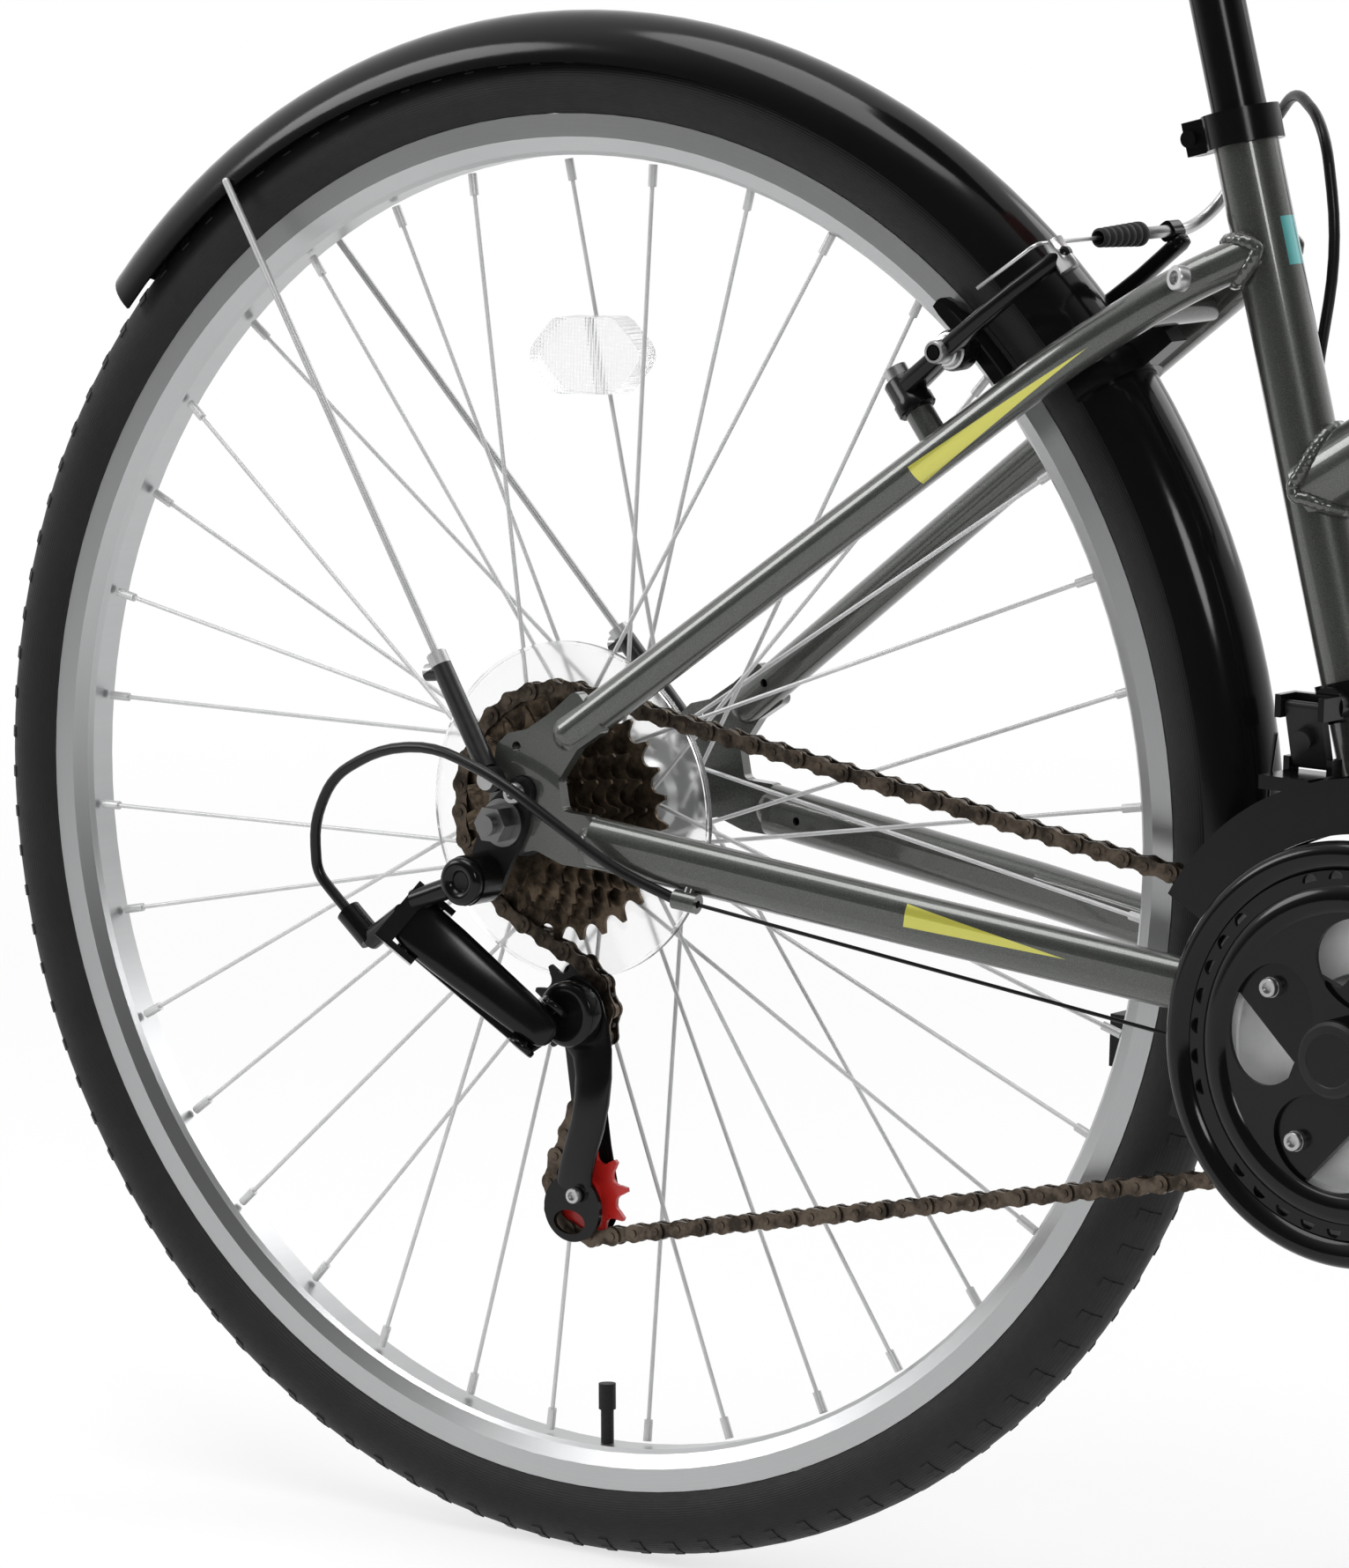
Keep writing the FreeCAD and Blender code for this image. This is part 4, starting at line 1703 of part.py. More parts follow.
def derailleur_cage():
    """Two cage plates with their pulley bolts."""
    waist = cage_turned(rear_point(CAGE_WAIST_X, 0, CAGE_WAIST_Z), CAGE_SWING)
    tail = cage_turned(rear_point(CAGE_TAIL_X, 0, CAGE_TAIL_Z), CAGE_SWING)
    top = rear_point(P_PIVOT_X, 0, P_PIVOT_Z)
    plane = LEFT * -(CAGE_OUTER_Y + CAGE_PLATE / 2)
    outer = strap([(top + plane, CAGE_TOP_R), (waist + plane, CAGE_WAIST_R), (TENSION + plane, CAGE_LOW_R),
                   (tail + plane, CAGE_LOW_R)], LEFT, CAGE_PLATE)
    window = tail + plane - (waist - tail).normalize() * (CAGE_BOLT_HEAD_R / 2)
    outer = outer.cut(bore(window - LEFT * CAGE_PLATE, window + LEFT * CAGE_PLATE, CAGE_WINDOW_R))
    plane = LEFT * -(CAGE_INNER_Y - CAGE_INNER_PLATE / 2)
    inner = strap([(GUIDE + plane, CAGE_LOW_R - CAGE_PLATE), (waist + plane, CAGE_WAIST_R),
                   (TENSION + plane, CAGE_LOW_R - CAGE_PLATE)], LEFT, CAGE_INNER_PLATE)
    solids = [outer, inner]
    for place in (GUIDE, TENSION):
        near = place - LEFT * (CAGE_INNER_Y - CAGE_INNER_PLATE)
        far = place - LEFT * (CAGE_OUTER_Y + CAGE_PLATE)
        shank = rod(near, far, CAGE_BOLT_D / 2)
        solids = [solid.cut(bore(near, far, CAGE_BOLT_D / 2)) if k < 2 else solid
                  for k, solid in enumerate(solids)]
        if place is TENSION:
            shank = shank.fuse(rod(far, far - LEFT * CAGE_BOLT_HEAD, CAGE_BOLT_HEAD_R)).removeSplitter()
        solids.append(shank)
    return solids


# Front derailleur

FD_PIVOT = rear_point(FD_BODY_X, -FD_PIVOT_Y, FD_PIVOT_Z)
FD_LEAN = math.asin(FD_SHIFT_OUT / 2 / FD_LINK_LENGTH)
FD_LOW = FD_PIVOT + Vector(0, math.sin(FD_LEAN), -math.cos(FD_LEAN)) * FD_LINK_LENGTH


def front_derailleur_clamp():
    """Band round the seat tube with the yoke that the front derailleur's link hangs from."""
    middle = BB + SEAT_DIR * FD_CLAMP_UP
    half = SEAT_DIR * (FD_CLAMP_HEIGHT / 2)
    band = rod(middle - half, middle + half, SEAT_TUBE_D / 2 + FD_CLAMP_WALL)
    wide = FD_LINK_WIDE + 2 * (RUN_GAP + FD_EAR)
    deep = FD_PIVOT_Y + FD_LINK_THICK - FD_BACK_Y
    tall = FD_LINK_THICK * 2
    lug = rod(Vector(middle.x, 0, FD_PIVOT.z), Vector(middle.x, -FD_BACK_Y, FD_PIVOT.z), FD_LUG_R)
    back = block(FD_PIVOT + LEFT * (FD_PIVOT_Y - FD_BACK_Y), FORWARD, LEFT, UP, wide, FD_BACK_PLATE, tall)
    pieces = [band, lug, back]
    for side in (-1, 1):
        ear = FD_PIVOT + FORWARD * (side * (wide - FD_EAR) / 2)
        ear += LEFT * (deep / 2 - FD_LINK_THICK)
        pieces.append(block(ear, FORWARD, LEFT, UP, FD_EAR, deep, tall))
    pin = FORWARD * (wide / 2)
    pieces.append(rod(FD_PIVOT - pin, FD_PIVOT + pin, FD_PIN_D / 2))
    body = fused(pieces)
    return body.cut(rod(BB, SEAT_TOP, SEAT_TUBE_D / 2 + SEAT_GAP / 2))


def front_derailleur_link():
    """Link between the clamp and the cage, with the cable's anchor bolt."""
    bar = link(FD_PIVOT, FD_LINK_THICK / 2, FD_LOW, FD_LINK_THICK / 2, FORWARD, FD_LINK_WIDE)
    pin = FORWARD * FD_LINK_WIDE
    bar = bar.cut(bore(FD_PIVOT - pin, FD_PIVOT + pin, FD_PIN_D / 2 + RUN_GAP))
    middle = (FD_PIVOT + FD_LOW) * 0.5
    out = (FD_LOW - FD_PIVOT).cross(FORWARD).normalize()
    if out.y > 0:
        out = out * -1
    bolt = rod(middle, middle + out * (FD_LINK_THICK / 2 + FD_ANCHOR_HEAD), FD_ANCHOR_R)
    return fused([bar, bolt])


def sector(low_r, high_r, start_deg, end_deg, y, thickness):
    """Flat plate between two radii about the bottom bracket, over an arc."""
    middle = (start_deg + end_deg) / 2
    edges = [
        Part.Arc(polar(low_r, start_deg), polar(low_r, middle), polar(low_r, end_deg)).toShape(),
        Part.LineSegment(polar(low_r, end_deg), polar(high_r, end_deg)).toShape(),
        Part.Arc(polar(high_r, end_deg), polar(high_r, middle), polar(high_r, start_deg)).toShape(),
        Part.LineSegment(polar(high_r, start_deg), polar(low_r, start_deg)).toShape(),
    ]
    face = Part.Face(Part.Wire(edges))
    face.translate(BB + LEFT * y)
    return face.extrude(LEFT * -thickness)


def front_derailleur_cage():
    """Cage round the chain: two curved plates with a bridge above and one behind and below."""
    pieces = []
    for y in (FD_CAGE_INNER_Y, FD_CAGE_OUTER_Y):
        pieces.append(sector(FD_CAGE_LOW_R, FD_CAGE_HIGH_R, FD_CAGE_FRONT_DEG, FD_CAGE_BACK_DEG, -y, FD_PLATE))
    outer = FD_CAGE_OUTER_Y + FD_PLATE
    tail = sector(FD_CAGE_LOW_R, FD_CAGE_LOW_R + FD_PLATE, FD_CAGE_BACK_DEG - FD_TAIL_DEG, FD_CAGE_BACK_DEG,
                  -FD_CAGE_INNER_Y, outer - FD_CAGE_INNER_Y)
    pieces.append(tail)
    wide = FD_LINK_WIDE + 2 * (RUN_GAP + FD_EAR)
    top = rear_point(FD_BODY_X, -(FD_TOP_INNER_Y + outer) / 2, FD_TOP_Z - FD_TOP_TALL / 2)
    pieces.append(block(top, FORWARD, LEFT, UP, wide, outer - FD_TOP_INNER_Y, FD_TOP_TALL))
    low_y = -FD_LOW.y
    ear_tall = FD_LOW.z + FD_LINK_THICK / 2 - REAR.z - FD_TOP_Z
    for side in (-1, 1):
        ear = rear_point(FD_BODY_X, -low_y, FD_TOP_Z + ear_tall / 2) + FORWARD * (side * (wide - FD_EAR) / 2)
        pieces.append(block(ear, FORWARD, LEFT, UP, FD_EAR, FD_LINK_THICK * FD_EAR_SHARE, ear_tall))
    return fused(pieces)


# Rim brakes

FORK_PIVOT_UP = pivot_along(STEER_BASE + STEER_FORWARD * (FORK_BOSS_REACH + ARM_PLANE), STEER_DIR, FRONT)
FRONT_PIVOT = STEER_BASE + STEER_DIR * FORK_PIVOT_UP - LEFT * BRAKE_BOSS_Y


def brake_arm(pivot, along, out, reach, axle, side, holds_clamp):
    """Brake arm on its post: sleeve, blade, pad and pad bolt, with the cable's clamp or noodle on top."""
    foot = Vector(pivot.x, side * BRAKE_BOSS_Y, pivot.z) + out * (reach + SEAT_GAP)
    sleeve = rod(foot, foot + out * (ARM_SLEEVE - SEAT_GAP), ARM_PIVOT_R)
    plane = foot + out * (ARM_SLEEVE / 2 + ARM_BLADE_LIFT - SEAT_GAP)
    way = LEFT * side
    waist = plane + along * PAD_ALONG + way * (PAD_POST_D / 2)
    top = plane + along * ARM_LENGTH + way * (ARM_TOP_Y - BRAKE_BOSS_Y)
    blade = strap([(plane, ARM_PIVOT_R), (waist, ARM_BLADE_WIDE / 2), (top, ARM_BLADE_TIP / 2)], out,
                  ARM_BLADE_THICK)
    pad_face = RIM_WIDTH / 2 + PAD_GAP
    pad_spot = plane + along * PAD_ALONG
    pad_dir = pad_spot - axle
    pad_deg = math.degrees(math.atan2(pad_dir.z, pad_dir.x))
    post_mid = Vector(pad_spot.x, 0, pad_spot.z)
    post = rod(post_mid + way * (pad_face + PAD_THICK / 2), post_mid + way * (BRAKE_BOSS_Y + PAD_POST_OUT),
               PAD_POST_D / 2)
    pieces = [sleeve, blade, post]
    solids = [fused(pieces).cut(bore(foot, foot + out * ARM_SLEEVE, PIVOT_POST_D / 2 + RUN_GAP))]
    solids.append(brake_pad(axle, pad_deg, side).cut(post))
    solids.extend(cable_clamp(top, along, out, way) if holds_clamp else noodle(top, along, out, way))
    body = solids[0]
    for other in solids[1:]:
        body = body.cut(other)
    return [body] + solids[1:]


def brake_pad(axle, degrees, side):
    """Brake pad, curved to the rim."""
    low = BRAKE_RADIUS - PAD_TALL / 2
    high = BRAKE_RADIUS + PAD_TALL / 2
    near = side * (RIM_WIDTH / 2 + PAD_GAP)
    far = near + side * PAD_THICK
    corners = [Vector(low, near, 0), Vector(high, near, 0), Vector(high, far, 0), Vector(low, far, 0)]
    half_turn = math.degrees(PAD_LENGTH / 2 / BRAKE_RADIUS)
    face = Part.Face(Part.makePolygon(corners + corners[:1]))
    face.rotate(ORIGIN, LEFT, -(degrees + half_turn))
    pad = face.revolve(ORIGIN, LEFT, half_turn * 2)
    pad.translate(axle)
    return pad


def cable_clamp(top, along, out, way):
    """Clamp bolt on an arm's tip, with the cable that it holds and the cable's cut end."""
    half = out * (CABLE_CLAMP_LENGTH / 2)
    bolt = rod(top - half, top + half, CABLE_CLAMP_R)
    line = top + out * (ARM_BLADE_THICK / 2 + BRAKE_CABLE_D)
    inward = rod(line + way * CABLE_CLAMP_R, Vector(line.x, 0, line.z), BRAKE_CABLE_D / 2)
    tail = bent([line + way * CABLE_CLAMP_R, line + way * (CABLE_CLAMP_R * 3),
                 line + way * (CABLE_CLAMP_R * 4) - along * CABLE_TAIL], BRAKE_CABLE_D / 2)
    cable = inward.fuse(tail).removeSplitter()
    return [bolt.cut(cable), cable]


def noodle(top, along, out, way):
    """Bent guide tube in its holder, with the rubber boot over the cable."""
    line = top + out * (ARM_BLADE_THICK / 2 + BRAKE_CABLE_D)
    boot_start = Vector(line.x, 0, line.z) + way * BOOT_OUTER_END
    boot_end = Vector(line.x, 0, line.z) - way * BOOT_INNER_END
    tip = boot_start - way * BOOT_LAP
    bend = line + way * NOODLE_OUT
    tube = bent([tip, bend, bend + along * NOODLE_UP + out * NOODLE_LIFT], NOODLE_D / 2, NOODLE_BEND_R)
    boot = pipe(boot_start, boot_end, BOOT_D / 2, BOOT_BORE / 2)
    holder = block(line, way, along, out, ARM_BLADE_TIP, ARM_BLADE_TIP, ARM_BLADE_TIP)
    return [tube, boot, holder.cut(tube)]


def noodle_end(pivot, along, out, reach, side):
    """Upper end of a noodle, where the brake housing starts."""
    foot = Vector(pivot.x, side * BRAKE_BOSS_Y, pivot.z) + out * (reach + SEAT_GAP)
    plane = foot + out * (ARM_SLEEVE / 2 + ARM_BLADE_LIFT - SEAT_GAP)
    top = plane + along * ARM_LENGTH + LEFT * (side * (ARM_TOP_Y - BRAKE_BOSS_Y))
    line = top + out * (ARM_BLADE_THICK / 2 + BRAKE_CABLE_D)
    return line + LEFT * (side * NOODLE_OUT) + along * NOODLE_UP + out * NOODLE_LIFT


# Fork and front wheel

def fork_leg():
    """Right fork leg, from the crown to the fork end."""
    crown = STEER_BASE + STEER_DIR * (CROWN_UP - LEG_TOP_D / 2)
    shoulder = crown - LEFT * LEG_SPREAD - STEER_DIR * LEG_SHOULDER_DROP
    low = FRONT + STEER_DIR * FORK_END_REACH - LEFT * (FRONT_SPACING / 2 + FORK_END_THICK / 2)
    way = (low - shoulder).normalize()
    waist = shoulder + way * LEG_STRAIGHT
    upper = bent([crown, shoulder, waist], LEG_TOP_D / 2, LEG_BEND_R)
    lower = Part.makeCone(LEG_TOP_D / 2, LEG_LOW_D / 2, (low - waist).Length, waist, way)
    end_mid = FRONT - LEFT * (FRONT_SPACING / 2 + FORK_END_THICK / 2)
    neck = low - way * FORK_END_NECK_R
    end = link(end_mid, FORK_END_R, Vector(neck.x, end_mid.y, neck.z), FORK_END_NECK_R, LEFT, FORK_END_THICK)
    eyelet = fork_eyelet(-1)
    lobe = disc(Vector(eyelet.x, end_mid.y, eyelet.z), LEFT, SMALL_BOLT_R * EYELET_LOBE_SHARE, FORK_END_THICK)
    slot = link(end_mid, FRONT_AXLE_D / 2 + SEAT_GAP, end_mid - UP * (FORK_END_R * 2),
                FRONT_AXLE_D / 2 + SEAT_GAP, LEFT, FORK_END_THICK * 2)
    end = fused([end, lobe]).cut(slot)
    boss = brake_boss(FRONT_PIVOT, STEER_FORWARD, FORK_BOSS_REACH)
    return fused([upper, lower, boss, end])


def fork_eyelet(side):
    """Mudguard eyelet on a fork end."""
    reach = FRONT_SPACING / 2 + FORK_END_THICK + GUARD_EYE_OUT + GUARD_EYE_THICK / 2
    spot = FRONT + STEER_DIR * (FORK_END_R + SMALL_BOLT_R) - STEER_FORWARD * FORK_END_R
    return spot + LEFT * (side * reach)


def fork():
    """Fork with its steerer tube, two legs, fork ends and brake bosses."""
    leg = fork_leg()
    crown = STEER_BASE + STEER_DIR * CROWN_UP
    steerer = rod(crown - STEER_DIR * LEG_TOP_D, STEERER_TOP, STEERER_D / 2)
    race = rod(crown - STEER_DIR * LEG_TOP_D, crown, CROWN_R)
    return fused([steerer, race, leg, mirrored(leg)])


STEM_LOW = HEAD_HIGH + STEER_DIR * (HEADSET_CAP + SPACER_LENGTH)
STEERER_TOP = STEM_LOW + STEER_DIR * STEM_CLAMP_HEIGHT
STEM_MIDDLE = STEM_LOW + STEER_DIR * (STEM_CLAMP_HEIGHT / 2)
BAR_MIDDLE = STEM_MIDDLE + STEER_FORWARD * STEM_REACH + STEER_DIR * STEM_RISE


def stem():
    """Stem with its steerer clamp, bar clamp, spacer and top cap."""
    half = LEFT * (BAR_CLAMP_WIDTH / 2)
    body = fused([
        rod(STEM_LOW, STEERER_TOP, STEM_CLAMP_D / 2),
        rod(STEM_MIDDLE, BAR_MIDDLE, STEM_D / 2),
        rod(BAR_MIDDLE - half, BAR_MIDDLE + half, BAR_CLAMP_D / 2),
    ])
    body = body.cut(bore(STEM_LOW, STEERER_TOP, STEERER_D / 2 + SEAT_GAP / 2))
    body = body.cut(bore(BAR_MIDDLE - half, BAR_MIDDLE + half, BAR_D / 2 + SEAT_GAP / 2))
    spacer_low = HEAD_HIGH + STEER_DIR * HEADSET_CAP
    spacer = pipe(spacer_low, STEM_LOW, SPACER_D / 2, STEERER_D / 2 + SEAT_GAP / 2)
    cap = rod(STEERER_TOP, STEERER_TOP + STEER_DIR * CAP_THICK, STEM_CLAMP_D / 2)
    return [body, spacer, cap]


def bar_point(back, out, up):
    """Place on the handlebar, measured from its middle."""
    return BAR_MIDDLE + Vector(-back, out, up)


BAR_END = bar_point(BAR_END_BACK, -BAR_END_OUT, BAR_END_UP)
BAR_BEND = bar_point(BAR_BEND_BACK, -BAR_BEND_OUT, BAR_BEND_UP)
BAR_DIR = (BAR_END - BAR_BEND).normalize()
LEVER_OUT = polar(1, -LEVER_DROOP_DEG)
LEVER_OUT = (LEVER_OUT - BAR_DIR * BAR_DIR.dot(LEVER_OUT)).normalize()
LEVER_AXIS = BAR_DIR.cross(LEVER_OUT)


def handlebar():
    """Swept riser bar in one bent tube."""
    points = [BAR_END, BAR_BEND, bar_point(0, -BAR_CLAMP_ZONE, 0), bar_point(0, BAR_CLAMP_ZONE, 0)]
    points += [Vector(BAR_BEND.x, -BAR_BEND.y, BAR_BEND.z), Vector(BAR_END.x, -BAR_END.y, BAR_END.z)]
    return bent(points, BAR_D / 2, BAR_BEND_R)


def bar_sleeve(start, length, outer, gap):
    """Sleeve on the right end of the bar, from a distance inboard of its end."""
    near = BAR_END - BAR_DIR * start
    far = BAR_END - BAR_DIR * (start + length)
    return pipe(near, far, outer / 2, BAR_D / 2 + gap)


SHIFTER_AT = GRIP_LENGTH + CONTROL_GAP
BRACKET_AT = SHIFTER_AT + SHIFTER_LENGTH + CONTROL_GAP
BRACKET_MIDDLE = BAR_END - BAR_DIR * (BRACKET_AT + BRACKET_LENGTH / 2)
LEVER_PIVOT = BRACKET_MIDDLE + LEVER_OUT * LEVER_PIVOT_OUT


def grips():
    """Rubber grips with closed ends."""
    grip = bar_sleeve(0, GRIP_LENGTH, GRIP_D, SEAT_GAP / 2)
    cap = rod(BAR_END, BAR_END + BAR_DIR * GRIP_CAP, GRIP_D / 2)
    grip = fused([grip, cap])
    return [grip, mirrored(grip)]


def shifter():
    """Right twist shifter, round the bar inboard of the grip."""
    return bar_sleeve(SHIFTER_AT, SHIFTER_LENGTH, SHIFTER_D, RUN_GAP)


def lever_bracket():
    """Right brake lever's clamp, arm, pivot ears and pin."""
    clamp = bar_sleeve(BRACKET_AT, BRACKET_LENGTH, BRACKET_D, SEAT_GAP / 2)
    ear_gap = LEVER_THICK / 2 + RUN_GAP
    wall = BRACKET_WALL
    reach = LEVER_PIVOT_OUT - BAR_D
    root = BRACKET_MIDDLE + LEVER_OUT * (BAR_D / 2 + wall / 2)
    pieces = [clamp, block(root, LEVER_OUT, BAR_DIR, LEVER_AXIS, wall, BRACKET_LENGTH, 2 * (ear_gap + wall))]
    for side in (-1, 1):
        lift = LEVER_AXIS * (side * (ear_gap + wall / 2))
        pieces.append(link(BRACKET_MIDDLE + LEVER_OUT * (BAR_D / 2 + wall) + lift, BRACKET_LENGTH / 2,
                           LEVER_PIVOT + lift, LEVER_PIVOT_D, LEVER_AXIS, wall))
    half = LEVER_AXIS * (ear_gap + wall)
    pieces.append(rod(LEVER_PIVOT - half, LEVER_PIVOT + half, LEVER_PIVOT_D / 2))
    inlet = LEVER_PIVOT - BAR_DIR * (LEVER_PIVOT_D * LEVER_INLET_SHARE)
    pieces.append(rod(inlet, inlet - BAR_DIR * FERRULE_LENGTH, FERRULE_D / 2))
    for side in (-1, 1):
        lift = LEVER_AXIS * (side * (ear_gap + wall / 2))
        pieces.append(link(inlet + lift, FERRULE_D / 2, LEVER_PIVOT + lift, LEVER_PIVOT_D / 2, LEVER_AXIS, wall))
    stub = inlet - BAR_DIR * (FERRULE_D / 2)
    pieces.append(block(stub, BAR_DIR, LEVER_OUT, LEVER_AXIS, FERRULE_D, FERRULE_D, 2 * (ear_gap + wall)))
    bracket = fused(pieces)
    return bracket.cut(bore(BAR_END, BAR_BEND, BAR_D / 2 + SEAT_GAP / 2))


def brake_lever():
    """Right brake lever, with a knee and a rounded tip."""
    knee = LEVER_PIVOT + BAR_DIR * LEVER_KNEE + LEVER_OUT * LEVER_KNEE_OUT
    tip = LEVER_PIVOT + BAR_DIR * LEVER_LENGTH + LEVER_OUT * LEVER_TIP_OUT
    blade = strap([(LEVER_PIVOT, LEVER_PIVOT_D), (knee, LEVER_WIDE / 2), (tip, LEVER_WIDE / 2)], LEVER_AXIS,
                  LEVER_THICK)
    half = LEVER_AXIS * LEVER_THICK
    return blade.cut(bore(LEVER_PIVOT - half, LEVER_PIVOT + half, LEVER_PIVOT_D / 2 + RUN_GAP))


def front_hub():
    """Front hub shell."""
    shell = FRONT_FLANGE + HUB_CAP_LENGTH
    return hub(FRONT, FRONT_FLANGE, FRONT_FLANGE, shell, shell, FRONT_AXLE_D)


def front_axle():
    """Front axle with locknuts inside the fork ends and nuts outside."""
    inner = FRONT_SPACING / 2
    outer = inner + FORK_END_THICK
    tail = NUT_HEIGHT + NUT_FLANGE + AXLE_TAIL
    solids = [rod(FRONT - LEFT * (outer + tail), FRONT + LEFT * (outer + tail), FRONT_AXLE_D / 2 - SEAT_GAP)]
    for side in (-1, 1):
        way = LEFT * side
        start = FRONT + way * outer
        near = FRONT + way * (FRONT_FLANGE + HUB_CAP_LENGTH + RUN_GAP)
        solids.append(pipe(near, FRONT + way * inner, LOCKNUT_R, FRONT_AXLE_D / 2 - SEAT_GAP))
        flange = disc(start + way * (NUT_FLANGE / 2), LEFT, NUT_FLANGE_R, NUT_FLANGE)
        nut = flange.fuse(hexagon(start + way * NUT_FLANGE, way, NUT_FLATS, NUT_HEIGHT)).removeSplitter()
        solids.append(nut.cut(rod(FRONT, start + way * (tail * 2), FRONT_AXLE_D / 2 - SEAT_GAP)))
    return solids


def front_mudguard():
    """Front mudguard with its bracket at the crown, wire stays and eyelet bolts."""
    blade = guard_shell(FRONT, FRONT_GUARD_FRONT_DEG, FRONT_GUARD_BACK_DEG)
    crown = STEER_BASE + STEER_DIR * (CROWN_UP - LEG_TOP_D / 2) - FRONT
    degrees = math.degrees(math.atan2(crown.z, crown.x))
    top = FRONT + polar(GUARD_R, degrees)
    way = polar(1, degrees)
    along = way.cross(LEFT)
    gap = crown.Length - LEG_TOP_D / 2 - GUARD_R - SEAT_GAP
    bracket = block(top + way * (gap / 2), along, LEFT, way, GUARD_TAB_WIDE, GUARD_TAB_WIDE / 2, gap)
    bracket = bracket.cut(guard_form(FRONT)).cut(fork())
    solids = [blade, guard_saddle(FRONT, degrees).cut(fork())] + bracket.Solids[:1]
    solids += guard_wires(FRONT, FRONT_GUARD_WIRE_DEG, fork_eyelet(-1), False)
    for side in (-1, 1):
        face = fork_eyelet(side) + LEFT * (side * GUARD_EYE_THICK / 2)
        solids.append(screw(face, LEFT * side, GUARD_EYE_THICK + GUARD_EYE_OUT, SMALL_BOLT_R, SMALL_BOLT_HEAD))
        pivot = Vector(FRONT_PIVOT.x, side * BRAKE_BOSS_Y, FRONT_PIVOT.z)
        face = pivot + STEER_FORWARD * (FORK_BOSS_REACH + ARM_SLEEVE + SEAT_GAP)
        solids.append(rod(face, face + STEER_FORWARD * PIVOT_BOLT_HEAD, PIVOT_BOLT_R))
    return solids


def guard_eyelet(side):
    """Middle of the wire's eye on a rear dropout."""
    reach = REAR_SPACING / 2 + DROPOUT_THICK + GUARD_EYE_OUT + GUARD_EYE_THICK / 2
    return rear_point(GUARD_EYELET_X, side * reach, GUARD_EYELET_Z)


# Seatpost, saddle and rear reflector

POST_TOP = SEAT_TOP + SEAT_DIR * SEATPOST_OUT
RAIL_MIDDLE = POST_TOP + UP * (RAIL_CLAMP_HEIGHT / 2)


def seatpost():
    """Hollow seatpost with the clamp for the saddle's rails."""
    low = SEAT_TOP - SEAT_DIR * SEATPOST_IN
    post = pipe(low, POST_TOP, SEATPOST_D / 2, SEATPOST_D / 2 - SEATPOST_WALL)
    wide = RAIL_SPREAD + RAIL_D * 2
    clamp = block(RAIL_MIDDLE, FORWARD, LEFT, UP, RAIL_CLAMP_LENGTH, wide, RAIL_CLAMP_HEIGHT)
    neck = rod(POST_TOP - SEAT_DIR * RAIL_CLAMP_HEIGHT, RAIL_MIDDLE, SEATPOST_D / 2)
    head = fused([clamp, neck]).cut(rod(low, POST_TOP, SEATPOST_D / 2 - SEATPOST_WALL))
    body = fused([post, head])
    for rail in rails():
        body = body.cut(rail)
    return body


def rails():
    """Two saddle rails, bent up at both ends into the saddle's base."""
    solids = []
    half = RAIL_LENGTH / 2
    base = saddle_base()
    for side in (-1, 1):
        start = RAIL_MIDDLE + LEFT * (side * RAIL_SPREAD / 2)
        rise = UP * (base.z - start.z + RAIL_D / 2)
        back = start - FORWARD * (half + SADDLE_SETBACK / 2)
        front = start + FORWARD * (half - SADDLE_SETBACK / 2)
        front_in = LEFT * (-side * (RAIL_SPREAD / 2 - RAIL_D))
        points = [back - FORWARD * RAIL_END + rise, back, front, front + FORWARD * RAIL_END + rise + front_in]
        solids.append(bent(points, RAIL_D / 2, RAIL_D * 3))
    return solids


def saddle_base():
    """Rear end of the saddle's underside."""
    return POST_TOP + UP * SADDLE_RISE - FORWARD * (SADDLE_LENGTH / 2 + SADDLE_SETBACK)


def saddle():
    """Padded saddle: crowned, drawn in at the sides and narrowed to the nose, on two rails."""
    base = saddle_base()
    wires = []
    for station, wide_share, thick_share in zip(SADDLE_STATION_SHARES, SADDLE_WIDTH_SHARES, SADDLE_THICK_SHARES):
        half = SADDLE_WIDTH / 2 * wide_share
        thick = SADDLE_THICK * thick_share
        spot = base + FORWARD * (SADDLE_LENGTH * station) + UP * (SADDLE_THICK * (1 - thick_share) / 3)
        low_left = spot + LEFT * (half * SADDLE_TUCK_SHARE)
        low_right = spot - LEFT * (half * SADDLE_TUCK_SHARE)
        side_left = spot + LEFT * half + UP * (thick * SADDLE_SIDE_SHARE)
        side_right = spot - LEFT * half + UP * (thick * SADDLE_SIDE_SHARE)
        wires.append(Part.Wire([
            Part.LineSegment(low_right, low_left).toShape(),
            Part.LineSegment(low_left, side_left).toShape(),
            Part.Arc(side_left, spot + UP * thick, side_right).toShape(),
            Part.LineSegment(side_right, low_right).toShape(),
        ]))
    body = Part.makeLoft(wires, True, False)
    return [body] + [rail.cut(body) for rail in rails()]


